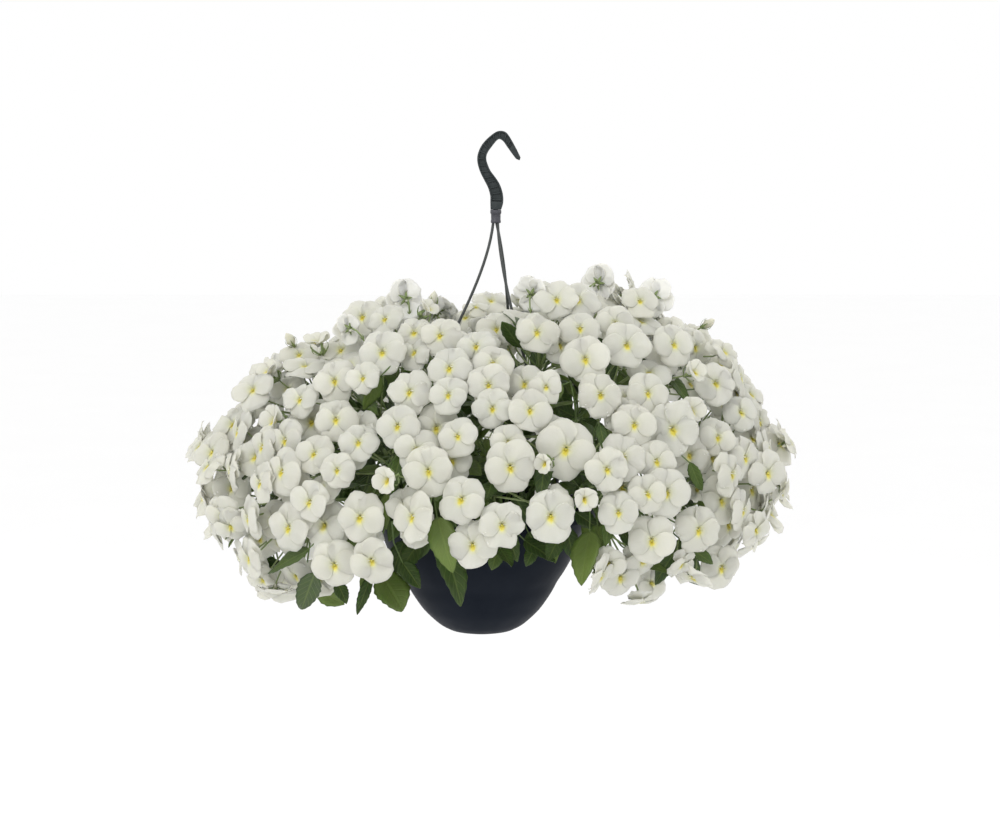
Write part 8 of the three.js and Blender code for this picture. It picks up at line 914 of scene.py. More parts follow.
 [38,123.5,-21.3,-236.6,130.2,-19.4,-227.0,154.1,-10.0,-201.4,-0.5,0.8,0.2,19.2],
 [38,126.2,-21.6,-234.4,130.2,-49.4,-220.6,122.3,-80.7,-213.6,-0.1,0.2,1.0,16.4],
 [38,113.7,-20.2,-244.2,109.2,-13.2,-224.8,99.0,9.1,-197.0,-0.4,-0.8,0.5,19.0],
 [38,53.9,-13.4,-295.3,33.6,10.5,-291.8,14.7,38.7,-310.1,0.0,0.6,0.8,17.4],
 [38,113.0,-20.1,-244.7,125.4,-11.4,-236.2,149.2,-4.9,-227.3,-0.4,0.1,0.9,13.8],
 [38,82.3,-16.6,-269.4,85.1,-23.5,-249.9,89.8,-17.8,-212.3,-0.8,-0.6,0.2,17.0],
 [38,57.4,-13.8,-291.8,64.0,-28.2,-292.3,79.3,-55.9,-300.0,0.2,-0.1,1.0,14.3],
 [38,93.9,-17.9,-259.9,106.9,-3.9,-260.8,123.7,30.7,-267.7,0.1,0.2,1.0,20.4],
 [39,-80.6,-12.4,-274.8,-101.6,-17.0,-272.9,-127.4,-11.4,-272.9,0.0,0.1,1.0,13.2],
 [39,-81.4,-12.4,-273.3,-70.0,-17.3,-283.4,-35.8,-26.7,-308.5,0.5,-0.4,0.8,24.5],
 [39,-65.9,-12.3,-303.8,-61.2,-9.1,-286.1,-49.9,-1.8,-245.0,0.8,-0.6,-0.1,24.4],
 [39,-80.0,-12.4,-275.9,-79.3,-13.2,-263.0,-62.8,-20.5,-242.4,-0.8,-0.2,0.6,14.3],
 [39,-100.9,-12.6,-236.9,-102.2,-12.1,-221.3,-119.0,-19.8,-197.9,0.2,0.9,0.5,14.8],
 [39,-72.1,-12.3,-290.9,-74.8,4.8,-272.6,-83.0,29.8,-256.3,0.2,-0.5,0.8,16.0],
 [39,-84.3,-12.4,-268.1,-73.8,-13.2,-259.6,-34.9,-17.2,-244.2,-0.4,-0.0,0.9,19.8],
 [39,-69.1,-12.3,-296.9,-58.7,4.8,-302.5,-38.7,25.9,-326.4,0.7,0.2,0.7,19.2],
 [39,-65.3,-12.3,-305.1,-55.3,-8.4,-317.6,-34.8,-7.8,-353.1,0.8,0.2,0.5,20.8],
 [39,-88.3,-12.5,-261.0,-99.2,-8.2,-241.1,-106.9,2.8,-217.1,0.9,-0.1,0.3,13.7],
 [40,40.9,-108.5,-208.7,26.6,-97.5,-182.7,3.7,-77.0,-161.1,0.4,-0.4,0.8,18.1],
 [40,37.4,-101.9,-218.9,33.8,-106.8,-201.1,27.2,-124.1,-176.7,0.6,0.6,0.6,17.6],
 [40,12.4,-56.5,-288.1,11.2,-54.2,-266.1,24.6,-48.8,-231.4,-0.7,-0.6,0.4,17.0],
 [40,29.7,-88.0,-239.5,33.6,-77.4,-218.9,41.7,-58.1,-199.9,-0.0,-0.7,0.7,16.0],
 [40,14.1,-59.6,-282.7,26.2,-66.6,-256.8,51.7,-73.8,-228.1,-0.7,0.2,0.7,22.5],
 [40,41.3,-109.2,-207.6,58.3,-102.2,-206.7,92.1,-86.5,-218.9,0.3,0.1,0.9,18.7],
 [40,24.0,-77.6,-254.6,38.8,-92.7,-235.6,65.8,-108.5,-226.2,-0.3,0.1,1.0,18.0],
 [40,37.0,-101.3,-219.8,38.3,-86.3,-199.8,49.0,-64.2,-178.0,-0.6,-0.4,0.7,16.4],
 [40,32.6,-93.3,-231.7,26.0,-102.5,-225.9,16.7,-130.1,-225.6,-0.5,0.2,0.9,15.8],
 [40,37.4,-102.0,-218.8,19.9,-107.9,-195.7,2.0,-126.1,-168.1,0.0,0.8,0.6,17.2],
 [41,36.5,16.7,-246.5,32.5,24.6,-240.7,21.8,49.1,-237.2,-0.1,-0.2,1.0,12.4],
 [41,40.8,17.8,-238.1,24.1,-4.5,-220.8,12.6,-30.5,-221.4,-0.1,0.0,1.0,12.7],
 [41,17.9,12.1,-286.0,13.0,7.9,-277.3,-12.7,-1.6,-252.7,0.7,-0.1,0.7,19.4],
 [41,43.5,18.5,-232.9,52.0,22.3,-227.4,86.7,40.9,-216.4,-0.0,-0.5,0.9,19.6],
 [41,31.3,15.4,-256.7,12.9,17.8,-237.7,-8.1,23.2,-206.7,0.8,0.3,0.5,21.0],
 [41,40.3,17.7,-239.2,44.3,17.6,-207.9,41.6,18.1,-175.2,-1.0,0.0,-0.1,14.8],
 [41,21.5,13.0,-277.5,-2.9,6.1,-274.4,-31.7,5.9,-279.8,-0.2,-0.0,1.0,16.1],
 [41,46.8,19.3,-226.5,53.6,11.6,-221.9,88.8,-13.2,-218.7,-0.0,0.1,1.0,22.3],
 [41,40.4,17.7,-238.9,9.9,18.5,-245.9,-10.6,19.7,-263.7,-0.7,0.1,0.8,15.5],
 [41,30.7,15.3,-257.9,11.3,21.9,-243.2,-21.9,31.7,-235.2,0.3,0.1,1.0,16.7]
]
# flowers deeper in the mound: shoot, then as above
FILL_FLOWERS = [
 [7,-175.9,-143.0,-261.01,-0.087,-0.96,0.265,-0.01,45.7,0,-155.3,-103.6,-315.01,-173.0,-111.3,-269.71,-175.5,-138.2,-262.31],
 [29,-196.2,-38.8,-208.51,-0.064,-0.679,0.731,-0.01,41.7,0,-184.7,-35.9,-266.01,-194.3,-18.6,-230.31,-195.8,-35.4,-212.21],
 [29,-228.3,-43.5,-223.51,-0.305,-0.462,0.833,-0.04,37.7,0,-184.7,-35.9,-266.01,-219.0,-29.3,-249.11,-226.8,-41.2,-227.71],
 [3,-260.0,-62.2,-274.01,-0.501,-0.691,0.521,-0.43,43.2,0,-207.6,-43.8,-336.01,-243.5,-39.4,-291.21,-257.5,-58.8,-276.61],
 [4,207.0,-162.5,-332.81,0.493,-0.867,-0.069,-0.07,46.9,0,175.8,-138.4,-346.61,196.2,-143.5,-331.31,204.5,-158.2,-332.51],
 [3,-213.5,-65.8,-435.31,0.082,-0.916,-0.393,-0.34,45.4,0,-228.7,-49.9,-365.31,-216.2,-35.6,-422.31,-213.9,-61.2,-433.41],
 [37,-78.9,-150.7,-195.61,-0.307,-0.872,0.382,0.17,36.9,0,-56.6,-114.1,-226.81,-70.7,-127.4,-205.81,-77.4,-146.3,-197.51],
 [40,56.9,-146.3,-189.21,0.505,-0.815,0.284,0.25,36.9,0,37.8,-102.8,-217.61,42.9,-123.7,-197.11,54.4,-142.2,-190.61],
 [8,245.5,-72.6,-337.21,0.572,-0.82,0.014,0.1,46.4,0,207.1,-83.7,-346.21,232.4,-53.9,-337.51,242.7,-68.5,-337.21],
 [28,23.0,-191.1,-220.31,0.006,-0.886,0.464,0.19,44.5,0,13.1,-167.0,-277.11,22.8,-163.2,-234.91,22.9,-186.6,-222.71],
 [9,-295.7,-21.5,-299.51,-0.642,-0.441,0.627,-0.07,42.1,0,-216.6,27.3,-340.71,-274.5,-6.9,-320.21,-292.5,-19.3,-302.61],
 [22,246.2,-65.3,-287.61,0.361,-0.715,0.599,0.04,40.5,0,218.7,-64.9,-291.01,240.2,-53.4,-297.51,244.4,-61.8,-290.51],
 [4,198.7,-152.6,-294.11,0.529,-0.758,0.381,0.14,46.3,0,165.9,-131.5,-340.21,182.6,-129.6,-305.61,196.0,-148.8,-296.01],
 [16,-74.1,-240.6,-344.71,0.07,-0.979,0.191,0.02,37.8,0,-63.5,-221.0,-317.81,-75.5,-221.0,-348.51,-74.5,-235.7,-345.61],
 [23,-127.8,-179.5,-266.01,-0.521,-0.837,0.165,0.03,40.7,0,-91.7,-153.9,-306.41,-112.0,-154.2,-271.01,-125.2,-175.3,-266.91],
 [15,-253.6,-145.2,-361.31,-0.21,-0.888,-0.409,-0.32,38.9,0,-215.8,-74.4,-332.31,-246.6,-115.9,-347.81,-252.5,-140.7,-359.21],
 [22,243.5,-62.7,-245.11,0.663,-0.469,0.584,0.16,38.0,0,207.9,-61.6,-294.71,223.2,-48.4,-263.01,240.2,-60.4,-248.11],
 [17,116.2,-178.0,-236.01,0.107,-0.813,0.572,0.35,41.3,0,75.5,-163.9,-304.11,112.7,-151.1,-254.81,115.7,-173.9,-238.81],
 [0,-207.2,-151.5,-374.51,-0.584,-0.693,-0.423,-0.07,37.4,0,-182.8,-94.5,-363.71,-188.9,-129.8,-361.31,-204.3,-148.1,-372.41],
 [20,220.4,-31.7,-260.81,0.432,-0.798,0.42,0.14,36.2,0,198.6,36.7,-299.71,206.1,-5.3,-274.61,218.2,-27.7,-262.91],
 [29,-206.8,-49.4,-241.41,-0.359,-0.716,0.599,-0.2,38.5,0,-184.7,-35.9,-266.01,-199.9,-35.7,-252.81,-205.0,-45.8,-244.41],
 [3,-274.4,-73.3,-337.61,-0.754,-0.647,0.116,0.15,38.6,0,-228.7,-49.9,-365.31,-252.4,-54.4,-341.01,-270.6,-70.1,-338.21],
 [16,-84.3,-243.8,-325.61,-0.172,-0.982,0.08,-0.06,36.7,0,-63.5,-221.0,-317.81,-81.2,-226.5,-327.01,-83.4,-238.9,-326.01],
 [22,181.9,-97.4,-230.91,0.416,-0.649,0.637,0.11,38.1,0,184.2,-54.3,-302.31,168.2,-75.9,-252.01,179.9,-94.1,-234.11],
 [10,-161.9,-207.2,-314.01,-0.405,-0.716,0.569,-0.22,41.4,0,-127.6,-192.5,-340.51,-152.3,-190.3,-327.51,-159.9,-203.6,-316.81],
 [15,-229.6,-134.8,-295.71,-0.461,-0.797,0.39,0.21,43.5,0,-215.8,-74.4,-332.31,-214.4,-108.5,-308.61,-227.3,-130.8,-297.61],
 [10,-126.1,-210.3,-364.71,-0.316,-0.949,-0.012,0.13,43.3,0,-127.6,-192.5,-340.51,-120.6,-193.8,-364.51,-124.5,-205.6,-364.61],
 [35,-152.5,-73.8,-200.31,-0.146,-0.639,0.755,-0.03,45.0,0,-129.0,-65.1,-239.91,-148.9,-58.3,-218.61,-151.7,-70.6,-204.11],
 [34,156.2,-101.4,-202.41,0.518,-0.65,0.556,-0.24,41.6,0,108.8,-104.8,-234.01,141.1,-82.4,-218.61,153.6,-98.1,-205.21],
 [14,47.8,-250.9,-320.81,0.094,-0.969,0.229,-0.01,38.5,0,-4.8,-211.1,-321.61,44.7,-218.9,-328.41,47.3,-246.1,-322.01],
 [33,-35.4,119.6,-184.71,-0.207,-0.563,0.8,-0.04,45.1,0,28.4,130.4,-252.71,-28.6,138.2,-211.21,-34.4,122.4,-188.71],
 [17,114.1,-194.6,-249.61,-0.072,-0.915,0.397,-0.08,40.7,0,81.6,-173.1,-305.41,116.5,-164.4,-262.71,114.5,-190.1,-251.61],
 [2,111.8,-212.5,-312.21,0.273,-0.962,0.003,-0.01,42.8,0,87.3,-167.0,-335.21,104.0,-185.2,-312.31,110.4,-207.7,-312.31],
 [28,48.7,-217.2,-257.61,0.425,-0.768,0.48,-0.06,37.8,0,14.9,-176.4,-272.31,37.0,-196.0,-270.81,46.6,-213.4,-260.01],
 [13,-222.0,141.2,-300.11,-0.56,0.78,0.279,0.14,46.1,0,-195.6,112.9,-333.51,-207.5,120.9,-307.41,-219.2,137.3,-301.51],
 [38,165.2,26.2,-182.81,0.96,0.152,0.234,0.15,44.1,0,133.5,-22.4,-228.61,133.5,21.2,-190.61,160.4,25.5,-184.01],
 [41,97.7,62.2,-161.11,0.824,0.424,0.374,0.15,37.1,0,57.4,22.0,-203.51,70.5,48.2,-173.51,93.6,60.1,-163.01],
 [19,-86.0,238.3,-352.11,-0.126,0.986,-0.105,-0.06,41.3,0,-110.9,168.1,-321.41,-81.9,205.7,-348.61,-85.4,233.3,-351.61],
 [41,25.0,94.1,-184.41,0.034,0.851,0.523,-0.33,45.1,0,47.3,19.4,-225.41,23.8,66.0,-201.71,24.8,89.8,-187.01],
 [5,227.4,104.7,-300.11,0.891,0.163,0.424,0.03,41.3,0,173.6,96.3,-351.61,198.0,99.3,-314.11,222.9,103.9,-302.21],
 [9,-264.2,57.8,-340.81,-0.979,0.127,-0.16,0.09,44.9,0,-216.6,27.3,-340.71,-236.3,54.2,-336.31,-259.3,57.2,-340.01],
 [5,179.0,176.7,-376.31,0.555,0.81,-0.193,-0.35,37.6,0,173.6,96.3,-351.61,160.7,150.0,-370.01,176.2,172.7,-375.41],
 [31,189.6,78.1,-228.11,0.872,0.436,0.22,-0.15,39.7,0,149.2,55.5,-249.81,167.0,66.8,-233.71,185.2,75.9,-229.21],
 [11,-35.4,262.7,-352.91,0.019,0.995,-0.102,0.17,38.9,0,-23.5,203.2,-336.41,-36.0,231.7,-349.71,-35.5,257.7,-352.41],
 [31,128.1,105.7,-184.21,0.72,0.528,0.451,-0.04,45.5,0,140.6,52.3,-255.61,104.4,88.3,-199.11,124.5,103.0,-186.41],
 [19,-115.6,241.1,-363.61,-0.393,0.863,-0.317,-0.14,37.0,0,-115.1,175.7,-318.81,-102.7,212.6,-353.21,-113.7,236.8,-362.01],
 [13,-236.7,131.8,-330.21,-0.77,0.605,-0.204,0.12,36.4,0,-195.6,112.9,-333.51,-218.8,117.6,-325.51,-232.9,128.7,-329.21],
 [26,-211.7,45.8,-239.41,-0.972,0.136,0.19,0.35,45.4,0,-180.0,45.2,-278.61,-186.4,42.3,-244.41,-206.9,45.2,-240.41],
 [36,-85.5,89.7,-190.71,-0.699,0.633,0.333,-0.1,42.3,0,-72.0,88.5,-245.71,-64.9,71.1,-200.51,-82.0,86.6,-192.31],
 [33,80.9,172.8,-214.61,0.563,0.708,0.427,-0.17,37.0,0,28.4,130.4,-252.71,62.4,149.4,-228.71,78.1,169.2,-216.71],
 [41,135.9,23.3,-149.91,0.954,0.075,0.29,-0.2,42.2,0,57.4,22.0,-203.51,104.4,20.8,-159.51,131.1,22.9,-151.41],
 [25,169.6,112.4,-233.41,0.697,0.496,0.518,-0.11,42.2,0,116.3,124.7,-283.31,146.6,96.0,-250.51,166.1,109.9,-236.01],
 [39,-69.4,26.4,-174.41,-0.932,0.33,0.149,0.19,40.0,0,-101.9,-12.6,-234.81,-38.6,15.5,-179.31,-64.7,24.7,-175.21],
 [11,-55.2,196.2,-240.01,0.092,0.94,0.33,-0.01,39.2,0,-24.9,146.4,-302.41,-58.2,165.2,-250.91,-55.7,191.5,-241.71],
 [12,54.7,233.2,-281.31,0.164,0.889,0.428,-0.25,39.5,0,94.9,163.3,-318.11,49.2,203.9,-295.41,53.8,228.7,-283.41],
 [6,257.0,-10.8,-303.21,0.973,0.211,0.091,-0.23,46.5,0,210.0,9.8,-342.31,225.3,-17.6,-306.11,252.1,-11.8,-303.61],
 [11,45.5,244.6,-319.31,0.269,0.962,0.049,-0.09,40.1,0,-23.5,203.2,-336.41,36.6,212.9,-320.91,44.1,239.8,-319.61],
 [11,29.4,246.5,-373.31,0.356,0.864,-0.356,0.17,44.6,0,-23.5,203.2,-336.41,17.6,218.0,-361.61,27.6,242.2,-371.51],
 [6,266.0,-41.7,-317.91,0.937,-0.298,0.184,-0.08,38.4,0,219.8,9.8,-348.61,235.1,-31.9,-323.91,261.3,-40.3,-318.81],
 [5,209.8,136.7,-286.01,0.833,0.451,0.321,0.0,38.2,0,160.4,91.3,-338.11,182.3,121.8,-296.61,205.6,134.4,-287.61],
 [6,268.3,51.7,-332.51,0.823,0.566,-0.053,0.01,45.7,0,219.8,9.8,-348.61,241.5,33.2,-330.81,264.2,48.8,-332.31],
 [19,-133.7,238.6,-329.31,-0.625,0.78,0.004,-0.1,41.4,0,-115.1,175.7,-318.81,-113.2,213.0,-329.41,-130.6,234.7,-329.31],
 [19,-154.5,209.4,-309.31,-0.712,0.683,0.161,-0.08,36.8,0,-115.1,175.7,-318.81,-135.6,191.3,-313.51,-150.9,206.0,-310.11],
 [8,247.6,-90.4,-376.11,0.955,-0.296,0.022,-0.36,36.7,0,207.1,-83.7,-346.21,222.6,-82.6,-376.71,242.8,-88.9,-376.21],
 [36,-113.8,50.7,-189.91,-0.766,0.262,0.588,-0.1,40.7,0,-65.7,77.8,-258.61,-88.6,42.0,-209.31,-110.0,49.4,-192.81],
 [22,222.9,-28.8,-233.41,0.961,0.073,0.267,-0.02,38.3,0,184.2,-54.3,-302.31,191.2,-31.2,-242.21,218.1,-29.2,-234.71],
 [36,-71.7,141.9,-190.91,-0.07,0.927,0.369,0.28,46.5,0,-80.4,102.9,-226.51,-69.8,116.8,-200.91,-71.3,137.3,-192.71],
 [9,-273.8,-9.7,-321.71,-0.979,-0.191,-0.07,0.0,45.1,0,-216.6,27.3,-340.71,-241.4,-3.4,-319.41,-268.9,-8.7,-321.31],
 [12,103.9,225.8,-340.41,0.371,0.916,-0.155,-0.01,38.1,0,111.2,185.0,-330.41,95.6,205.4,-336.91,102.0,221.2,-339.61],
 [12,94.8,209.2,-257.11,0.584,0.805,0.099,-0.15,38.4,0,88.8,154.7,-314.51,75.5,182.6,-260.31,91.9,205.2,-257.61],
 [39,-174.5,-26.5,-213.61,-0.969,-0.07,0.237,-0.17,40.1,0,-101.9,-12.6,-234.81,-142.5,-24.2,-221.41,-169.7,-26.2,-214.81],
 [31,204.6,27.4,-205.81,0.896,0.303,0.325,0.09,40.3,0,157.3,58.5,-244.11,175.0,17.4,-216.51,200.1,25.9,-207.41],
 [41,119.2,-3.4,-159.01,0.832,0.148,0.534,-0.1,42.3,0,57.4,22.0,-203.51,91.7,-8.3,-176.61,115.1,-4.1,-161.61],
 [29,-229.3,0.1,-239.91,-0.881,0.053,0.469,-0.08,42.2,0,-184.7,-35.9,-266.01,-201.6,-1.6,-254.61,-224.9,-0.2,-242.21],
 [27,-162.6,114.0,-229.71,-0.709,0.374,0.598,0.13,37.0,0,-130.2,98.9,-264.71,-144.7,104.6,-244.91,-159.1,112.2,-232.71],
 [33,84.5,151.4,-199.51,0.21,0.926,0.313,0.17,39.2,0,28.4,130.4,-252.71,77.6,120.9,-209.81,83.5,146.8,-201.11],
 [41,66.4,-29.2,-168.71,0.744,-0.385,0.545,-0.28,45.3,0,50.8,20.3,-218.11,41.9,-16.5,-186.71,62.7,-27.3,-171.51],
 [11,-20.9,233.5,-291.61,-0.116,0.655,0.747,0.11,39.3,0,-23.5,203.2,-336.41,-17.7,215.7,-311.91,-20.3,230.3,-295.41],
 [3,-263.2,-19.7,-380.01,-0.602,-0.286,-0.745,0.03,38.8,0,-228.7,-49.9,-365.31,-247.7,-12.4,-360.91,-260.2,-18.3,-376.31],
 [9,-252.0,81.6,-306.21,-0.581,0.658,0.48,-0.04,45.0,0,-216.6,27.3,-340.71,-232.9,59.9,-322.01,-249.1,78.3,-308.61],
 [8,256.1,-59.3,-355.01,0.994,-0.051,-0.094,0.25,45.6,0,207.1,-83.7,-346.21,228.2,-57.9,-352.31,251.1,-59.0,-354.51],
 [11,-92.3,193.1,-241.81,-0.515,0.557,0.651,0.12,41.8,0,-24.8,166.7,-309.21,-75.3,174.7,-263.31,-89.7,190.3,-245.11],
 [39,-155.2,23.0,-210.51,-0.891,-0.177,0.418,0.05,37.3,0,-101.9,-12.6,-234.81,-125.8,28.9,-224.31,-150.8,23.9,-212.61],
 [25,115.4,158.6,-222.51,0.536,0.841,-0.073,0.62,44.9,0,123.7,131.5,-278.91,97.7,130.9,-220.11,112.7,154.4,-222.11],
 [11,3.9,230.1,-258.21,0.038,0.96,0.279,0.44,45.6,0,-24.6,176.0,-313.61,2.7,198.4,-267.41,3.8,225.3,-259.61],
 [13,-219.4,104.7,-263.71,-0.841,0.479,0.251,0.15,38.4,0,-171.5,95.8,-313.51,-191.6,88.9,-272.01,-215.1,102.3,-264.91],
 [1,-186.0,185.5,-310.51,-0.673,0.713,0.196,-0.51,36.3,0,-131.2,143.7,-347.51,-163.7,162.0,-317.01,-182.6,181.9,-311.51],
 [41,71.4,-51.9,-148.31,0.53,-0.434,0.728,-0.03,39.8,0,57.4,22.0,-203.51,53.9,-37.6,-172.31,68.8,-49.7,-151.91],
 [11,-29.2,225.5,-255.81,0.018,0.913,0.407,-0.21,46.6,0,-24.6,176.0,-313.61,-29.8,195.3,-269.21,-29.3,220.9,-257.81],
 [41,49.8,-46.2,-157.61,0.696,-0.717,0.017,0.51,43.8,0,57.4,22.0,-203.51,26.8,-22.5,-158.21,46.3,-42.6,-157.71],
 [19,-96.3,225.7,-303.41,-0.199,0.971,-0.132,-0.18,38.6,0,-115.1,175.7,-318.81,-90.6,198.2,-299.61,-95.3,220.9,-302.71],
 [36,-56.9,82.9,-183.61,0.301,0.884,0.358,-0.11,37.3,0,-72.0,88.5,-245.71,-66.8,53.7,-195.41,-58.4,78.5,-185.31],
 [33,71.6,108.4,-168.61,0.675,0.539,0.503,-0.15,46.6,0,28.4,130.4,-252.71,49.4,90.6,-185.21,68.3,105.7,-171.11],
 [12,141.5,209.1,-309.71,0.67,0.713,0.207,0.21,43.3,0,111.2,185.0,-330.41,126.4,193.0,-314.31,138.2,205.5,-310.71],
 [38,194.3,-17.9,-199.11,0.895,-0.238,0.378,-0.2,45.8,0,142.6,-23.5,-221.21,169.0,-11.2,-209.81,189.9,-16.7,-201.01],
 [11,-71.6,253.6,-366.21,0.008,0.99,-0.139,-0.15,42.8,0,-23.5,203.2,-336.41,-71.9,220.9,-361.61,-71.6,248.6,-365.51],
 [41,111.3,-29.6,-168.31,0.605,-0.654,0.454,0.21,46.3,0,57.4,22.0,-203.51,91.3,-8.1,-183.31,108.3,-26.4,-170.61],
 [41,44.2,90.8,-166.81,0.549,0.788,0.28,-0.06,42.8,0,57.4,22.0,-203.51,26.1,64.9,-176.11,41.5,86.9,-168.21],
 [19,-137.6,211.5,-292.01,-0.262,0.925,0.276,-0.04,45.2,0,-115.1,175.7,-318.81,-130.9,187.9,-299.01,-136.3,206.9,-293.31],
 [6,254.2,-9.5,-373.41,0.949,-0.161,-0.27,-0.14,42.7,0,219.8,9.8,-348.61,231.4,-5.7,-367.01,249.4,-8.7,-372.11],
 [11,-36.4,176.1,-222.31,-0.418,0.843,0.339,0.24,45.1,0,-24.9,135.7,-300.31,-22.6,148.3,-233.51,-34.3,171.9,-224.01],
 [40,-12.3,-85.5,-206.31,-0.326,-0.623,0.711,-0.1,38.1,0,19.8,-70.0,-266.21,-1.6,-65.0,-229.81,-10.7,-82.4,-209.91],
 [11,-7.0,264.6,-318.61,0.073,0.878,0.473,-0.1,36.2,0,-23.5,203.2,-336.41,-9.4,236.0,-334.01,-7.4,260.2,-321.01],
 [40,-2.7,-90.8,-179.41,-0.275,-0.878,0.392,0.19,41.3,0,29.0,-86.7,-241.31,6.4,-61.8,-192.31,-1.3,-86.4,-181.31],
 [11,-74.9,220.2,-273.31,-0.264,0.921,0.287,0.23,37.1,0,-24.6,176.0,-313.61,-66.1,189.8,-282.81,-73.5,215.6,-274.81],
 [36,-40.5,154.0,-201.41,-0.011,0.956,0.294,0.04,41.4,0,-77.8,98.4,-232.91,-40.2,122.4,-211.11,-40.5,149.2,-202.91],
 [5,212.5,139.9,-335.61,0.934,0.324,0.148,-0.14,45.6,0,173.6,96.3,-351.61,184.2,130.0,-340.11,207.8,138.2,-336.41],
 [9,-264.9,21.5,-303.41,-0.883,0.135,0.449,-0.16,41.7,0,-216.6,27.3,-340.71,-238.0,17.4,-317.01,-260.5,20.9,-305.61],
 [41,125.1,68.4,-157.71,0.735,0.326,0.595,0.1,40.5,0,57.4,22.0,-203.51,100.9,57.6,-177.31,121.4,66.7,-160.71],
 [5,245.1,91.0,-358.61,0.893,0.438,0.107,-0.35,42.6,0,173.6,96.3,-351.61,215.7,76.6,-362.11,240.6,88.8,-359.11],
 [13,-227.9,149.7,-361.91,-0.84,0.425,-0.338,-0.13,36.8,0,-195.6,112.9,-333.51,-204.0,137.7,-352.31,-223.7,147.6,-360.21],
 [12,107.4,237.2,-375.71,0.685,0.714,-0.144,-0.37,41.8,0,111.2,185.0,-330.41,84.8,213.6,-370.91,104.0,233.6,-375.01],
 [33,72.9,188.1,-236.61,0.236,0.968,0.084,0.39,37.5,0,28.4,130.4,-252.71,65.1,156.2,-239.41,71.7,183.3,-237.01],
 [25,127.0,175.7,-244.71,0.458,0.889,0.003,-0.16,36.7,0,123.7,131.5,-278.91,113.9,150.3,-244.81,124.7,171.3,-244.71],
 [41,110.5,22.6,-155.21,0.902,0.357,0.242,0.23,40.0,0,57.4,22.0,-203.51,80.7,10.8,-163.21,106.0,20.8,-156.41],
 [33,-13.3,196.0,-216.91,-0.103,0.967,0.233,-0.09,37.1,0,28.4,130.4,-252.71,-9.9,164.1,-224.61,-12.8,191.2,-218.01],
 [27,-191.2,121.9,-236.21,-0.735,0.642,0.219,-0.07,42.4,0,-135.4,103.8,-259.71,-168.2,101.8,-243.11,-187.6,118.7,-237.31],
 [33,40.7,116.4,-181.11,0.413,0.815,0.407,0.14,44.6,0,26.4,124.5,-258.11,27.1,89.5,-194.61,38.6,112.3,-183.21],
 [33,32.5,148.2,-192.61,-0.009,0.806,0.591,-0.05,42.3,0,28.4,130.4,-252.71,32.8,122.7,-211.21,32.5,144.1,-195.51],
 [37,-45.3,-106.5,-196.81,-0.158,-0.807,0.569,0.02,46.3,0,-47.4,-88.6,-254.81,-40.5,-81.8,-214.21,-44.6,-102.5,-199.61],
 [13,-199.8,149.0,-293.21,-0.743,0.492,0.454,-0.23,42.6,0,-190.7,109.6,-328.11,-179.6,135.5,-305.61,-196.1,146.5,-295.51],
 [31,154.7,65.1,-197.91,0.965,0.051,0.256,0.12,39.8,0,140.6,52.3,-255.61,124.4,63.5,-205.91,149.9,64.9,-199.11],
 [31,190.2,48.1,-201.11,0.809,0.45,0.378,0.1,42.3,0,157.3,58.5,-244.11,167.3,35.4,-211.81,186.2,45.8,-203.01],
 [1,-194.5,174.2,-340.31,-0.64,0.769,0.011,0.07,42.2,0,-135.2,149.5,-366.01,-173.4,148.9,-340.61,-191.3,170.4,-340.31],
 [2,98.9,-233.0,-379.71,-0.051,-0.935,-0.351,0.19,32.5,0,101.4,-186.6,-361.81,100.2,-209.5,-370.81,99.1,-228.3,-377.91],
 [4,167.9,-199.2,-386.81,0.423,-0.669,-0.611,0.4,31.0,0,185.2,-145.0,-353.41,153.9,-177.1,-366.61,165.7,-195.8,-383.71],
 [2,130.6,-207.7,-382.01,0.478,-0.792,-0.38,-0.28,39.0,0,101.4,-186.6,-361.81,120.3,-190.6,-373.91,128.2,-203.8,-380.11],
 [3,-295.0,-45.0,-298.71,-0.682,-0.396,0.615,-0.28,39.1,0,-228.7,-49.9,-365.31,-272.5,-31.9,-319.01,-291.6,-43.0,-301.71],
 [3,-293.3,-19.3,-352.71,-0.789,-0.399,0.467,-0.07,43.7,0,-228.7,-49.9,-365.31,-267.3,-6.1,-368.11,-289.3,-17.3,-355.11],
 [3,-281.0,-32.8,-375.61,-0.674,-0.268,0.689,0.33,40.5,0,-228.7,-49.9,-365.31,-261.3,-25.0,-395.81,-277.6,-31.5,-379.01],
 [3,-255.5,-28.8,-409.01,-0.978,-0.169,0.122,-0.44,40.9,0,-228.7,-49.9,-365.31,-226.8,-23.8,-412.51,-250.6,-27.9,-409.61],
 [22,281.8,-65.3,-291.11,0.859,-0.164,0.485,0.71,37.9,0,218.7,-64.9,-291.01,254.8,-60.1,-306.41,277.5,-64.5,-293.51],
 [6,275.1,-48.0,-345.21,0.649,-0.144,0.747,0.22,38.0,0,219.8,9.8,-348.61,253.7,-43.3,-369.91,271.9,-47.3,-349.01],
 [6,268.6,-21.6,-371.11,0.668,-0.348,0.658,-0.66,43.2,0,219.8,9.8,-348.61,247.2,-10.4,-392.21,265.3,-19.8,-374.41],
 [6,151.8,-17.3,-440.71,0.318,-0.946,0.067,-0.65,34.9,0,210.0,9.8,-342.31,141.3,13.9,-442.91,150.2,-12.6,-441.01],
 [3,-231.3,-41.3,-438.61,-0.462,-0.676,0.574,0.13,30.8,0,-228.7,-49.9,-365.31,-216.0,-19.0,-457.61,-228.9,-38.0,-441.51],
 [39,-116.2,6.3,-170.71,-0.284,-0.929,-0.238,0.17,27.9,0,-101.9,-12.6,-234.81,-106.9,37.0,-162.91,-114.8,11.0,-169.51],
 [3,-253.8,-56.5,-269.11,-0.558,-0.687,0.466,0.16,40.4,0,-199.4,-41.3,-327.71,-235.5,-33.9,-284.51,-251.1,-53.1,-271.41],
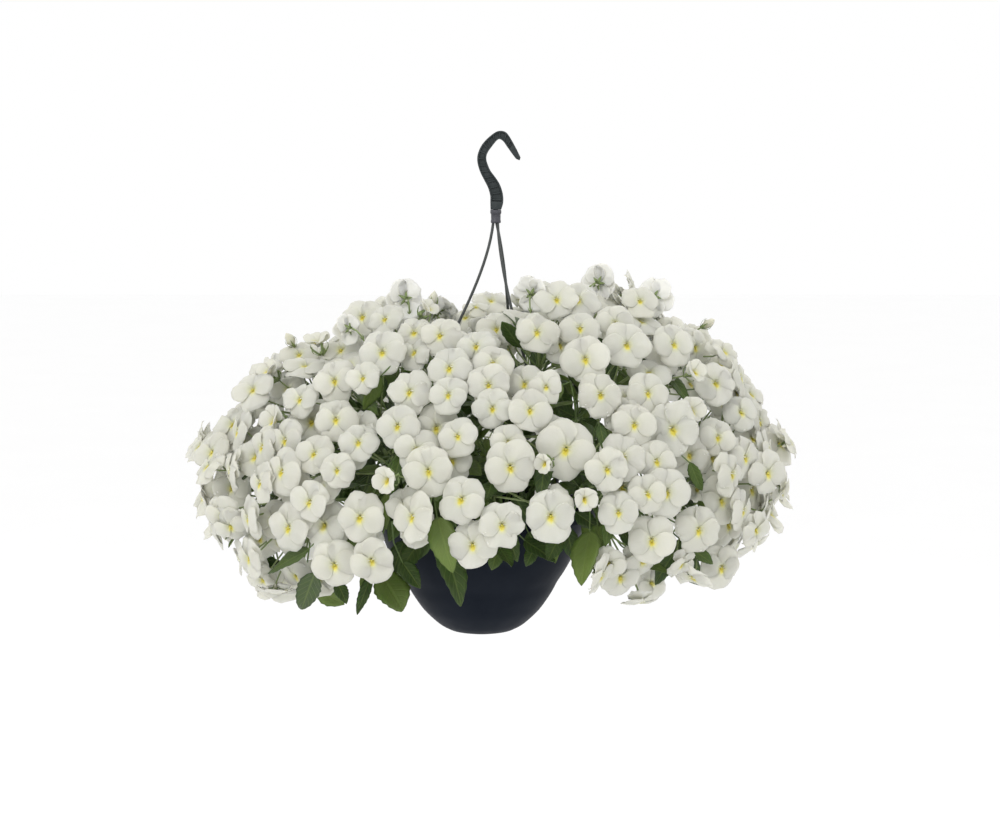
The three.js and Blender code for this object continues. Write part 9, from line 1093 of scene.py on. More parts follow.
 [31,196.2,13.1,-201.31,0.219,-0.959,-0.182,-0.01,35.4,0,157.3,58.5,-244.11,189.0,44.7,-195.31,195.1,17.9,-200.41],
 [36,-25.3,119.1,-174.01,0.102,-0.397,0.912,-0.09,30.9,0,-80.4,102.9,-226.51,-28.7,132.2,-204.11,-25.8,121.1,-178.61],
 [3,-177.5,-70.6,-423.71,0.179,-0.877,0.446,-0.17,42.9,0,-228.7,-49.9,-365.31,-183.4,-41.7,-438.41,-178.4,-66.2,-425.91],
 [26,-226.8,-7.9,-225.31,-0.816,-0.578,0.007,0.28,32.3,0,-187.7,47.4,-274.11,-199.8,11.2,-225.61,-222.7,-5.0,-225.41],
 [41,20.4,45.7,-162.61,-0.636,-0.634,-0.439,-0.05,27.7,0,57.4,22.0,-203.51,41.0,66.3,-148.31,23.5,48.9,-160.41],
 [38,164.3,-65.3,-184.81,-0.455,-0.858,-0.239,0.01,32.6,0,159.4,-25.4,-206.51,175.4,-44.4,-179.01,166.6,-61.0,-183.61],
 [3,-233.8,-76.0,-384.81,-0.255,-0.912,0.321,-0.51,40.8,0,-228.7,-49.9,-365.31,-229.1,-59.0,-390.81,-232.5,-71.4,-386.41],
 [20,237.2,-9.9,-246.81,0.123,-0.99,0.062,-0.02,35.1,0,198.6,36.7,-299.71,233.2,22.7,-248.81,236.6,-5.0,-247.11],
 [8,174.8,-99.9,-403.91,0.827,-0.484,0.286,0.06,42.2,0,207.1,-83.7,-346.21,147.6,-84.0,-413.31,170.7,-97.5,-405.31],
 [6,198.7,4.7,-348.71,-0.046,-0.955,0.293,-0.2,32.5,0,210.0,9.8,-342.31,199.2,15.3,-352.01,198.9,9.5,-350.21],
 [20,219.5,6.0,-223.71,-0.036,-0.807,0.589,-0.57,40.9,0,198.6,36.7,-299.71,220.7,32.7,-243.11,219.7,10.1,-226.71],
 [41,9.7,-0.6,-205.61,0.666,-0.73,-0.154,0.58,30.6,0,39.8,17.5,-240.21,-8.8,19.7,-201.31,6.4,3.1,-204.81]
]
RIM_LEAVES = [
 [28,-1.2,-93.9,-312.0,6.1,-122.0,-366.8,16.5,-129.0,-398.3,-0.2,-0.98,0.05,17.0],
 [2,22.1,-70.0,-335.1,27.0,-120.0,-371.1,41.2,-127.0,-392.9,-0.06,-0.95,0.3,18.0],
 [17,35.4,-104.9,-308.2,46.1,-118.0,-369.5,53.7,-125.0,-400.1,0.26,-0.93,0.25,17.0],
 [21,79.3,-66.0,-331.6,63.4,-112.0,-366.7,71.0,-119.0,-398.3,-0.14,-0.98,0.13,18.0],
 [21,88.9,-72.1,-328.1,80.9,-104.0,-362.3,99.9,-111.0,-392.1,0.17,-0.88,0.44,20.0],
 [24,-30.9,-92.3,-325.4,-1.5,-126.0,-385.4,-7.2,-133.0,-405.2,0.07,-1.0,0.06,15.0],
 [24,-34.1,-112.6,-315.5,-47.1,-122.0,-351.4,-56.5,-129.0,-384.8,-0.21,-0.88,0.43,18.0],
 [23,-67.3,-105.4,-325.3,-66.2,-118.0,-359.8,-77.6,-125.0,-397.2,0.05,-1.0,-0.01,20.0],
 [23,-67.3,-105.4,-325.3,-91.4,-112.0,-380.3,-102.7,-119.0,-412.9,-0.15,-0.97,0.17,18.0],
 [2,65.8,-135.6,-309.4,71.8,-118.0,-352.1,93.4,-125.0,-366.3,-0.17,-0.94,0.31,16.0],
 [24,-30.9,-92.3,-325.4,-11.0,-120.0,-367.2,-12.9,-127.0,-389.1,-0.02,-0.99,0.16,18.0],
 [2,22.1,-70.0,-335.1,32.7,-124.0,-385.8,25.1,-131.0,-401.8,0.1,-0.93,0.35,13.0],
 [21,98.6,-78.2,-324.7,100.5,-98.0,-387.7,111.8,-105.0,-412.8,-0.37,-0.91,0.19,15.0],
 [23,-72.2,-115.2,-321.4,-75.4,-125.0,-339.4,-94.2,-132.0,-367.0,-0.23,-0.95,0.21,20.0],
 [28,2.9,-115.0,-301.6,14.6,-128.0,-337.0,28.7,-135.0,-358.8,-0.3,-0.93,0.23,20.0],
 [16,-47.6,-123.8,-305.7,-56.3,-128.0,-329.3,-44.9,-135.0,-352.1,-0.01,-0.98,0.2,20.0],
 [0,-182.8,-94.5,-363.7,-117.8,-120.0,-398.1,-132.8,-127.0,-425.8,-0.25,-0.95,0.18,15.0],
 [4,134.6,-110.0,-323.4,122.7,-112.0,-380.3,134.0,-119.0,-404.1,-0.26,-0.96,0.05,16.0],
 [38,84.8,-16.9,-275.4,75.8,-23.0,-273.3,52.3,-18.3,-261.7,0.302,-0.942,0.143,13.9],
 [3,-228.7,-49.9,-373.3,-239.1,-58.4,-411.5,-204.0,-61.6,-425.7,-0.096,-0.986,0.135,21.0],
 [8,207.1,-83.7,-354.2,178.9,-59.4,-405.3,197.7,-52.2,-437.1,-0.038,-0.999,-0.016,22.2],
 [39,-101.9,-12.6,-242.8,-95.8,-15.9,-240.4,-130.9,-26.4,-239.4,0.046,-0.954,0.298,21.6],
 [15,-127.4,-40.1,-313.1,-127.9,-41.2,-325.6,-138.7,-30.2,-361.9,0.3,-0.925,-0.235,23.1],
 [38,75.1,-15.8,-283.5,77.1,-14.8,-279.8,107.7,-13.5,-287.7,0.418,-0.905,0.077,16.5],
 [3,-173.2,-33.2,-316.2,-159.1,-38.9,-338.6,-136.4,-38.3,-361.5,0.107,-0.76,0.641,19.9],
 [5,135.4,80.1,-329.3,110.2,73.4,-389.3,78.9,80.3,-409.8,-0.056,-0.977,0.204,20.8],
 [0,-182.8,-94.5,-371.7,-180.4,-55.3,-440.1,-153.0,-63.7,-453.8,0.005,-0.992,-0.126,19.2],
 [41,43.6,18.5,-240.8,53.3,21.9,-243.1,72.1,15.5,-274.8,0.228,-0.973,-0.026,22.3]
]

# ------------------------------------------------------------------ camera, light, floor
CAM_TARGET = Vector((0.0004, 0.0, -0.2664))
CAM_DIST = 2.2
CAM_ELEV = math.radians(7.0)
cam_data = bpy.data.cameras.new("camera")
cam = bpy.data.objects.new("camera", cam_data)
bpy.context.scene.collection.objects.link(cam)
cam_data.sensor_width = 36.0
cam_data.lens = 79.2
view_dir = Vector((0.0, math.cos(CAM_ELEV), -math.sin(CAM_ELEV)))
cam.location = CAM_TARGET - view_dir * CAM_DIST
cam.rotation_euler = view_dir.to_track_quat("-Z", "Y").to_euler()
cam_data.clip_end = 50.0
bpy.context.scene.camera = cam
bpy.context.scene.view_settings.view_transform = "Standard"
bpy.context.scene.view_settings.look = "None"

world = bpy.data.worlds.new("studio")
bpy.context.scene.world = world
world.use_nodes = True
world.node_tree.nodes["Background"].inputs["Color"].default_value = (1.0, 1.0, 1.0, 1.0)
world.node_tree.nodes["Background"].inputs["Strength"].default_value = 1.0


def area(name, loc, aim, size, power, color=(1, 1, 1)):
    d = bpy.data.lights.new(name, "AREA")
    d.shape = "DISK"
    d.size = size
    d.energy = power
    d.color = color
    o = bpy.data.objects.new(name, d)
    bpy.context.scene.collection.objects.link(o)
    o.location = loc
    o.rotation_euler = (Vector(aim) - Vector(loc)).to_track_quat("-Z", "Y").to_euler()
    return o


area("key", (-0.9, -1.9, 1.15), (0, 0, -0.3), 1.0, 17.5, (1.0, 0.985, 0.955))
area("fill", (1.9, -1.2, 0.4), (0, 0, -0.3), 1.2, 3.0, (0.97, 0.985, 1.0))
area("back", (0.6, 1.8, 1.1), (0, 0, -0.3), 1.2, 5.0)

# ------------------------------------------------------------------ mesh building
ATTRS = ("a", "r", "eye", "rnd", "kind", "side")


class Acc:
    """Gathers closed shells into one mesh, each with its own place on the bake map."""

    def __init__(self):
        self.V, self.n = [], 0
        self.tri, self.quad = [], []      # (faces, material, per-corner uv 0..1, cell)
        self.A = {k: [] for k in ATTRS}
        self.cells = 0

    def verts(self, V, **at):
        V = np.asarray(V, float)
        base = self.n
        self.V.append(V)
        m = len(V)
        for k in ATTRS:
            x = at.get(k, 0.0)
            self.A[k].append(np.full(m, float(x)) if np.isscalar(x) else np.asarray(x, float))
        self.n += m
        return base

    def faces(self, F, mat, uv, cell, base):
        """F: (m,3) or (m,4) indices from base; uv: (verts,2) in 0..1 for those indices."""
        F = np.asarray(F, int)
        (self.quad if F.shape[1] == 4 else self.tri).append((F + base, mat, uv[F], cell))

    def cell(self):
        self.cells += 1
        return self.cells - 1

    def build(self, name, mats):
        V = np.concatenate(self.V) * MM
        G = int(math.ceil(math.sqrt(max(self.cells, 1))))
        groups = self.quad + self.tri
        loops = np.concatenate([g[0].reshape(-1) for g in groups])
        totals = np.concatenate([np.full(len(g[0]), g[0].shape[1]) for g in groups])
        mat = np.concatenate([np.full(len(g[0]), g[1]) for g in groups])
        uvs = []
        for F, m, uv, cell in groups:
            c = np.array([cell % G, cell // G], float)
            uvs.append(((uv.reshape(-1, 2) * 0.90 + 0.05) + c) / G)
        uvs = np.concatenate(uvs)
        me = bpy.data.meshes.new(name)
        me.vertices.add(len(V))
        me.vertices.foreach_set("co", V.astype(np.float32).ravel())
        me.loops.add(len(loops))
        me.loops.foreach_set("vertex_index", loops.astype(np.int32))
        me.polygons.add(len(totals))
        starts = np.concatenate([[0], np.cumsum(totals)[:-1]])
        me.polygons.foreach_set("loop_start", starts.astype(np.int32))
        me.polygons.foreach_set("loop_total", totals.astype(np.int32))
        me.polygons.foreach_set("material_index", mat.astype(np.int32))
        me.polygons.foreach_set("use_smooth", np.ones(len(totals), bool))
        me.update(calc_edges=True)
        layer = me.uv_layers.new(name="OFBake")
        layer.data.foreach_set("uv", uvs.astype(np.float32).ravel())
        for k in ATTRS:
            at = me.attributes.new(k, "FLOAT", "POINT")
            at.data.foreach_set("value", np.concatenate(self.A[k]).astype(np.float32))
        for m in mats:
            me.materials.append(m)
        me.validate()
        o = bpy.data.objects.new(name, me)
        bpy.context.scene.collection.objects.link(o)
        return o


def unit(v):
    v = np.asarray(v, float)
    return v / np.linalg.norm(v)


def grid_faces(nu, nv, flip=False):
    """Quads of a (nu+1) x (nv+1) grid, row-major in u."""
    i, j = np.meshgrid(np.arange(nu), np.arange(nv), indexing="ij")
    a = (i * (nv + 1) + j).ravel()
    q = np.stack([a, a + nv + 1, a + nv + 2, a + 1], 1)
    return q[:, ::-1] if flip else q


def rim_loop(nu, nv):
    """Border vertices of the grid, once round."""
    L = [i * (nv + 1) for i in range(nu + 1)]
    L += [nu * (nv + 1) + j for j in range(1, nv + 1)]
    L += [i * (nv + 1) + nv for i in range(nu - 1, -1, -1)]
    L += [j for j in range(nv - 1, 0, -1)]
    return np.array(L)


_shell_cache = {}


def shell(acc, top, bottom, nu, nv, mat_top, mat_bot, uv, **at):
    """A thin closed sheet: front and back grids joined round the border.
    top and bottom are ((nu+1)*(nv+1), 3); at values are per front vertex or one number."""
    key = (nu, nv)
    if key not in _shell_cache:
        f = grid_faces(nu, nv)
        b = grid_faces(nu, nv, True)
        L = rim_loop(nu, nv)
        K = (nu + 1) * (nv + 1)
        nx = np.roll(L, -1)
        rim = np.stack([nx, L, L + K, nx + K], 1)
        _shell_cache[key] = (f, b + K, rim, K)
    f, b, rim, K = _shell_cache[key]
    at2 = {}
    for k, x in at.items():
        at2[k] = x if np.isscalar(x) else np.concatenate([x, x])
    at2["side"] = np.concatenate([np.zeros(K), np.ones(K)])
    base = acc.verts(np.concatenate([top, bottom]), **at2)
    uv2 = np.concatenate([uv, uv])
    c0, c1 = acc.cell(), acc.cell()
    acc.faces(f, mat_top, uv2, c0, base)
    acc.faces(b, mat_bot, uv2, c1, base)
    acc.faces(rim, mat_bot, uv2, c1, base)


def grid_uv(nu, nv):
    i, j = np.meshgrid(np.linspace(0, 1, nu + 1), np.linspace(0, 1, nv + 1), indexing="ij")
    return np.stack([i.ravel(), j.ravel()], 1)


def tube(acc, pts, radii, sides, mat, cap=True, **at):
    pts = np.asarray(pts, float)
    k = len(pts)
    radii = np.full(k, radii) if np.isscalar(radii) else np.asarray(radii, float)
    T = np.gradient(pts, axis=0)
    T /= np.linalg.norm(T, axis=1, keepdims=True)
    a = np.array([0, 0, 1.0]) if abs(T[0][2]) < 0.9 else np.array([1.0, 0, 0])
    N = unit(np.cross(T[0], a))
    V = []
    ang = np.arange(sides) * 2 * np.pi / sides
    for i in range(k):
        N = unit(N - T[i] * (N @ T[i]))
        B = np.cross(T[i], N)
        V.append(pts[i] + radii[i] * (np.cos(ang)[:, None] * N + np.sin(ang)[:, None] * B))
    V = np.concatenate(V + [pts[:1], pts[-1:]])
    i, j = np.meshgrid(np.arange(k - 1), np.arange(sides), indexing="ij")
    a0 = (i * sides + j).ravel()
    a1 = (i * sides + (j + 1) % sides).ravel()
    F = np.stack([a0, a1, a1 + sides, a0 + sides], 1)
    uvq = np.stack([np.repeat(np.linspace(0, 1, k), sides), np.tile(np.abs(np.arange(sides) / sides * 2 - 1), k)], 1)
    uvq = np.concatenate([uvq, [[0, 0.5], [1, 0.5]]])
    rr = np.concatenate([np.repeat(np.linspace(0, 1, k), sides), [0, 1]])
    base = acc.verts(V, r=rr, **at)
    c = acc.cell()
    acc.faces(F, mat, uvq, c, base)
    j = np.arange(sides)
    j1 = (j + 1) % sides
    s0, s1 = k * sides, k * sides + 1
    acc.faces(np.stack([np.full(sides, s0), j1, j], 1), mat, uvq, c, base)
    o = (k - 1) * sides
    acc.faces(np.stack([np.full(sides, s1), o + j, o + j1], 1), mat, uvq, c, base)


def ball(acc, centre, ax, radii, mat, seg=8, rings=5, **at):
    """An ellipsoid; ax is a 3x3 of axes as rows."""
    V, uv = [], []
    for i in range(1, rings):
        th = math.pi * i / rings
        for j in range(seg):
            ph = 2 * math.pi * j / seg
            V.append((math.sin(th) * math.cos(ph), math.sin(th) * math.sin(ph), math.cos(th)))
            uv.append((i / rings, abs(j / seg * 2 - 1)))
    V += [(0, 0, 1), (0, 0, -1)]
    uv += [(0, 0.5), (1, 0.5)]
    V = np.array(V) * radii
    V = centre + V @ np.asarray(ax)
    n = rings - 1
    F = [[i * seg + j, (i + 1) * seg + j, (i + 1) * seg + (j + 1) % seg, i * seg + (j + 1) % seg]
         for i in range(n - 1) for j in range(seg)]
    top, bot = n * seg, n * seg + 1
    T = [[top, j, (j + 1) % seg] for j in range(seg)]
    o = (n - 1) * seg
    T += [[bot, o + (j + 1) % seg, o + j] for j in range(seg)]
    base = acc.verts(V, **at)
    c = acc.cell()
    uv = np.array(uv)
    acc.faces(F, mat, uv, c, base)
    acc.faces(T, mat, uv, c, base)


def bez3(P, ts):
    P = np.asarray(P, float)
    t = np.asarray(ts)[:, None]
    return (1 - t) ** 3 * P[0] + 3 * (1 - t) ** 2 * t * P[1] + 3 * (1 - t) * t ** 2 * P[2] + t ** 3 * P[3]


def frame_of(n, roll):
    up = np.array([0, 0, 1.0]) - n * n[2]
    if np.linalg.norm(up) < 0.15:
        up = np.array([0, 1.0, 0]) - n * n[1]
    up = unit(up)
    right = np.cross(up, n)
    u = unit(up * math.cos(roll) + right * math.sin(roll))
    return u, np.cross(u, n)


# ------------------------------------------------------------------ flower
M_PETAL, M_GREEN, M_STIG, M_HAIR = 0, 1, 2, 3


def petal(acc, to_world, rng, kind, L, A, q, spin, depth, NA, NR, cup, tilt, R, rnd, side_bend=0.0, ruf=1.0):
    """One petal as a thin closed sheet. kind: 0 upper, 1 side, 2 lip.
    The petal grows along +y of its own frame, then spins clockwise from the top."""
    a = np.linspace(-1, 1, NA + 1)
    s = np.linspace(0, 1, NR + 1) ** 0.9 * 0.95 + 0.05
    aa, ss = np.meshgrid(a, s, indexing="ij")
    aa, ss = aa.ravel(), ss.ravel()
    edge = np.cos(aa * math.pi / 2 * 0.94) ** q
    k1, k2 = rng.integers(2, 4), rng.integers(4, 7)
    p1, p2 = rng.uniform(0, 6.28, 2)
    edge = edge * (1 + ruf * (0.022 * np.sin(k1 * aa * 2.2 + p1) + 0.014 * np.sin(k2 * aa * 2.4 + p2)))
    if kind == 2:
        edge = edge * (1 - 0.085 * np.exp(-(aa / 0.20) ** 2))
    else:
        edge = edge * (1 - 0.022 * np.exp(-(aa / 0.16) ** 2))
    r = L * edge * ss
    th = aa * A
    x = r * np.sin(th)
    y = r * np.cos(th)
    rho = r / L
    lat = x / L
    z = L * (cup * rho - (cup + 0.13) * rho ** 2.2)
    z -= L * (0.20 + side_bend) * lat ** 2
    z += L * 0.020 * np.cos(lat * 9.0) * np.exp(-((rho - 0.35) / 0.3) ** 2)          # soft midrib fold
    z += ruf * L * 0.042 * ss ** 3 * np.sin(k1 * aa * 2.6 + p2)
    z += ruf * L * 0.020 * ss ** 4 * np.sin((k2 + 1) * aa * 2.6 + p1)
    ct, st = math.cos(tilt), math.sin(tilt)
    y, z = y * ct - z * st, y * st + z * ct
    ramp = np.clip((rho - 0.04) / 0.42, 0, 1)
    ramp = ramp * ramp * (3 - 2 * ramp)
    z = z + depth * ramp
    cs, sn = math.cos(spin), math.sin(spin)
    X = x * cs + y * sn
    Y = -x * sn + y * cs
    d0 = np.hypot(X, Y + 0.02 * R)
    z = z - 2.4 * np.exp(-(d0 / (0.115 * R)) ** 2)
    eye = np.sqrt((X / (0.138 * R)) ** 2 + ((Y + 0.10 * R) / (0.185 * R)) ** 2)
    if kind == 0:
        eye = eye + 0.35
    elif kind == 1:
        eye = eye + 0.12
    th_mm = 0.42 - 0.20 * ss
    top = to_world(np.stack([X, Y, z], 1))
    bot = to_world(np.stack([X, Y, z - th_mm], 1))
    shell(acc, top, bot, NA, NR, M_PETAL, M_PETAL, grid_uv(NA, NR),
          a=aa, r=np.clip(rho, 0, 1.2), eye=eye, rnd=rnd, kind=float(kind))


def flower(acc, f, seed, fine=0):
    p = np.array(f[0:3]); n = unit(f[3:6]); roll, size, kind = f[6], f[7], int(f[8])
    b, c, e = np.array(f[9:12]), np.array(f[12:15]), np.array(f[15:18])
    rng = np.random.default_rng(seed)
    u, r = frame_of(n, roll)
    R = size / 2 * (1.05 if fine == 1 else 1.03)
    M = np.stack([r, u, n])

    def W(P):
        return p + P @ M
    rnd = rng.uniform(0, 1)
    if kind in (0, 3):
        NA, NR = (12, 7) if fine == 1 else ((9, 5) if fine == 0 else (8, 5))
        op = rng.uniform(-0.04, 0.10)           # how far the flower is open
        jit = lambda s: rng.normal(0, s)
        cupA = 0.15 + jit(0.05)
        up = math.radians(37 + 4 * rng.uniform(-1, 1))
        droop = rng.uniform(-0.10, 0.16)        # how far the side petals hang
        big = 1 + rng.uniform(-0.05, 0.06)      # a broader or a narrower lip
        ruf = rng.uniform(0.5, 2.1)             # how wavy the petals' edges are
        wid = rng.uniform(-7, 1)                # narrower petals show their gaps
        # back to front: the upper pair, the lip, the side pair
        petal(acc, W, rng, 0, R * (0.96 + jit(0.035)), math.radians(72 + wid), 0.36, -up + jit(0.09), -2.6, NA, NR, cupA, -0.12 + op + jit(0.09), R, rnd, 0.0, ruf)
        petal(acc, W, rng, 0, R * (0.96 + jit(0.035)), math.radians(72 + wid), 0.36, up + jit(0.09), -1.5, NA, NR, cupA, -0.09 + op + jit(0.09), R, rnd, 0.0, ruf)
        petal(acc, W, rng, 2, R * (1.04 * big + jit(0.02)), math.radians(80 + wid), 0.36, math.pi + jit(0.07), -0.3, NA, NR, 0.13 + jit(0.04), 0.0 + op + jit(0.09), R, rnd, 0.04 + rng.uniform(0, 0.14), ruf)
        for sgn in (-1, 1):
            petal(acc, W, rng, 1, R * (0.96 + jit(0.035)), math.radians(68 + wid), 0.38, sgn * (math.radians(96) + droop + jit(0.07)), 0.9, NA, NR, 0.19 + jit(0.04), 0.02 + op + jit(0.09), R, rnd, rng.uniform(-0.02, 0.14), ruf)
    elif kind == 1:
        NA, NR = (10, 7) if fine == 1 else (8, 5)
        for kd, sp, dep, tl in ((0, -0.66, -1.2, 0.62), (0, 0.66, -0.6, 0.66), (2, math.pi, 0.2, 0.72), (1, -1.7, 0.6, 0.78), (1, 1.7, 0.9, 0.74)):
            petal(acc, W, rng, kd, R * 0.80, math.radians(60), 0.42, sp + rng.normal(0, 0.05), dep, NA, NR, 0.10, tl + rng.normal(0, 0.05), R, rnd)
    else:
        # a bud: furled petals as a pointed, twisted spindle
        ns, nk = 10, 8
        V, uv = [], []
        for i in range(nk + 1):
            t = i / nk
            w = R * 0.40 * math.sin(math.pi * (0.10 + 0.88 * t ** 0.9)) ** 0.8
            zz = -R * 0.4 + t * R * 1.3
            for j in range(ns):
                ph = 2 * math.pi * j / ns + t * 1.6
                k = 1 + 0.13 * math.cos(5 * (2 * math.pi * j / ns))
                V.append((w * k * math.cos(ph), w * k * math.sin(ph), zz))
                uv.append((t, abs(j / ns * 2 - 1)))
        V += [(0, 0, -R * 0.45), (0, 0, R * 0.97)]
        uv += [(0, .5), (1, .5)]
        F = [[i * ns + j, i * ns + (j + 1) % ns, (i + 1) * ns + (j + 1) % ns, (i + 1) * ns + j] for i in range(nk) for j in range(ns)]
        T = [[(nk + 1) * ns, (j + 1) % ns, j] for j in range(ns)] + [[(nk + 1) * ns + 1, nk * ns + j, nk * ns + (j + 1) % ns] for j in range(ns)]
        V = np.array(V); uv = np.array(uv)
        base = acc.verts(W(V), r=0.6, eye=3.0, rnd=rnd, kind=3.0)
        cc = acc.cell()
        acc.faces(F, M_PETAL, uv, cc, base)
        acc.faces(T, M_PETAL, uv, cc, base)
    # calyx: five pointed sepals with a short lobe behind the stalk's tip
    zc = -5.0 if kind in (0, 3) else (-R * 0.6 if kind == 1 else -R * 0.5)
    nu, nv = (3, 1) if fine == 2 else (4, 2)
    sep_len = 0.34 * R if kind in (0, 3) else (0.62 * R if kind == 1 else 0.95 * R)
    for k in range(5):
        ph = 2 * math.pi * (k + 0.5) / 5 + rng.normal(0, 0.07)
        t = np.linspace(0, 1, nu + 1)
        q = np.linspace(-1, 1, nv + 1)
        tt, qq = np.meshgrid(t, q, indexing="ij")
        tt, qq = tt.ravel(), qq.ravel()
        wid = 1.55 * np.clip(np.sin(math.pi * (0.16 + 0.84 * tt) ** 0.9), 0.03, 1) ** 0.8 * (R / 23) ** 0.5
        if kind in (0, 3):
            rad = 1.2 + np.clip(tt - 0.22, 0, 1) * sep_len * 1.15
            zz = zc - 3.0 + 3.4 * np.clip(tt / 0.35, 0, 1) + 1.1 * np.clip(tt - 0.35, 0, 1)
        else:
            rad = 1.2 + np.sin(tt * 2.2) * R * 0.42
            zz = zc - 2.5 + tt * sep_len * 1.15
        lat = wid * qq
        X = rad * math.cos(ph) - lat * math.sin(ph)
        Y = rad * math.sin(ph) + lat * math.cos(ph)
        zt = zz + 0.25 * (1 - qq ** 2)
        top = W(np.stack([X, Y, zt], 1))
        bot = W(np.stack([X, Y, zt - 0.45], 1))
        shell(acc, top, bot, nu, nv, M_GREEN, M_GREEN, grid_uv(nu, nv), a=qq, r=tt, rnd=rnd, kind=4.0)
    ball(acc, W(np.array([[0, 0, zc]]))[0], M, (1.9, 1.9, 2.0), M_GREEN, 7, 4, r=0.5, rnd=rnd, kind=4.0)
    if kind in (0, 3):
        spur = W(np.array([[0, -1.0, -3.2], [0, -1.9, -5.6], [0, -2.3, -7.6], [0, -2.0, -8.8]]))
        tube(acc, spur, [1.9, 1.6, 1.35, 0.7], 6, M_PETAL, eye=3.0, rnd=rnd, kind=3.0)
        ball(acc, W(np.array([[0, -0.045 * R, -0.9]]))[0], M, (1.05, 1.25, 1.3), M_STIG, 7, 5, r=0.5, rnd=rnd)
        if fine == 1:
            for sgn in (-1, 1):
                for h in range(5):
                    o = np.array([sgn * R * (0.085 + 0.022 * h), R * (0.015 + 0.012 * math.sin(h * 2.3)), -0.2 + 0.12 * h])
                    d = unit([-sgn * 0.55, -0.45 + 0.15 * math.sin(h), 0.75])
                    P = W(np.stack([o, o + d * 0.9, o + d * 1.7]))
                    tube(acc, P, [0.24, 0.20, 0.06], 4, M_HAIR, rnd=rnd)
    # stalk: from the stem up to the back of the flower, hooked at its tip
    d = np.linalg.norm(e - b)
    P = [b, b + (c - b) * 0.66, e - n * min(13.0, 0.30 * d) , e]
    k = 9 if fine == 1 else 6
    pts = bez3(P, np.linspace(0, 1, k))
    rad = np.linspace(0.95, 0.80, k)
    tube(acc, pts, rad, 6, M_GREEN, rnd=rnd, kind=5.0)
    if fine == 1 and d > 30:
        # two tiny bracts on the stalk
        q0 = bez3(P, [0.55])[0]
        T = unit(bez3(P, [0.58])[0] - q0)
        s = unit(np.cross(T, n + 0.01))
        for sgn in (-1, 1):
            pp = [q0, q0 + T * 2.4 + s * sgn * 1.6, q0 + T * 5.2 + s * sgn * 2.2]
            tube(acc, pp, [0.5, 0.55, 0.08], 4, M_GREEN, rnd=rnd, kind=5.0)


# ------------------------------------------------------------------ leaf
M_LEAF, M_STEM = 0, 1


def blade(acc, base, tip, nrm, w, seed, ns, nt, mat=M_LEAF, teeth=0.045, droop=0.12, fold=0.22, young=0.0):
    rng = np.random.default_rng(seed)
    t = tip - base
    L = np.linalg.norm(t); t = t / L
    n = unit(nrm - t * (nrm @ t))
    s = np.cross(n, t)
    a = np.linspace(0, 1, ns + 1)
    q = np.linspace(-1, 1, nt + 1)
    aa, qq = np.meshgrid(a, q, indexing="ij")
    aa, qq = aa.ravel(), qq.ravel()
    shape = rng.uniform(0.70, 0.88)
    wid = np.sin(math.pi * np.clip(aa, 0.0, 1.0) ** shape) ** 0.72
    wid = np.clip(wid, 0.045, 1)
    idx = np.repeat(np.arange(ns + 1), nt + 1)
    wid = wid * (1 + teeth * np.where(idx % 2 == 0, -1, 1) * (np.abs(qq) > 0.99) * (aa > 0.12) * (aa < 0.93))
    X = aa * L
    Y = qq * wid * w / 2
    tw = rng.normal(0, 0.20)
    bend = rng.uniform(0.5, 1.5) * droop
    Z = -bend * L * (aa - 0.35) ** 2 * np.sign(aa - 0.35 + 1e-9) + fold * np.abs(Y) - 0.035 * Y ** 2 / max(w, 1) * 2
    Z = Z + 0.045 * w * np.sin(aa * 9 + rng.uniform(0, 6)) * qq ** 2 + tw * Y * aa
    Z = Z - Z[(nt // 2)]
    th = 0.42 - 0.14 * np.abs(qq)
    top = base + X[:, None] * t + Y[:, None] * s + Z[:, None] * n
    bot = top - th[:, None] * n
    shell(acc, top, bot, ns, nt, mat, mat, grid_uv(ns, nt), a=qq, r=aa, rnd=rng.uniform(0, 1), kind=young)
    return t, s, n


def leaf(acc, b, base, tip, nrm, w, seed, fine):
    rng = np.random.default_rng(seed + 5)
    b, base, tip, nrm = map(lambda v: np.array(v, float), (b, base, tip, nrm))
    # smooth stalk into the blade
    t = unit(tip - base)
    L = np.linalg.norm(tip - base)
    mid = (b + base) / 2 + np.array([0, 0, 0.06 * np.linalg.norm(base - b)])
    P = [b, mid, base - t * 0.30 * np.linalg.norm(base - b), base + t * 1.5]
    tube(acc, bez3(P, np.linspace(0, 1, 5)), [1.0, 0.9, 0.85, 0.8, 0.6], 5, M_STEM, rnd=rng.uniform(0, 1), kind=5.0)
    young = 1.0 if rng.uniform() < 0.28 else 0.0
    if fine:
        blade(acc, base, tip, nrm, w, seed, 14, 6, young=young)
        # leafy, lobed stipules where the stalk leaves the stem
        d = unit(base - b)
        side = unit(np.cross(d, nrm))
        for sgn in (-1, 1):
            for k, (ln, out, up) in enumerate(((13, 0.55, 1.0), (8, 1.0, 0.35), (6, 0.9, -0.25))):
                dr = unit(d * up + side * sgn * out + nrm * 0.15)
                blade(acc, b + d * 0.5 + side * sgn * 0.6, b + dr * ln * rng.uniform(0.85, 1.1), nrm, 3.4 if k == 0 else 2.4,
                      seed + 17 * (k + 1) + (sgn > 0), 4, 2, teeth=0.0, young=0.4)
    else:
        blade(acc, base, tip, nrm, w, seed, 9, 4, teeth=0.05, young=young)


# ------------------------------------------------------------------ materials
def mat(name):
    m = bpy.data.materials.new(name)
    m.use_nodes = True
    nt = m.node_tree
    return m, nt, nt.nodes["Principled BSDF"]


def node(nt, kind, **kw):
    n = nt.nodes.new(kind)
    for k, v in kw.items():
        setattr(n, k, v)
    return n


def attr(nt, name):
    n = node(nt, "ShaderNodeAttribute", attribute_type="GEOMETRY", attribute_name=name)
    return n.outputs["Fac"]


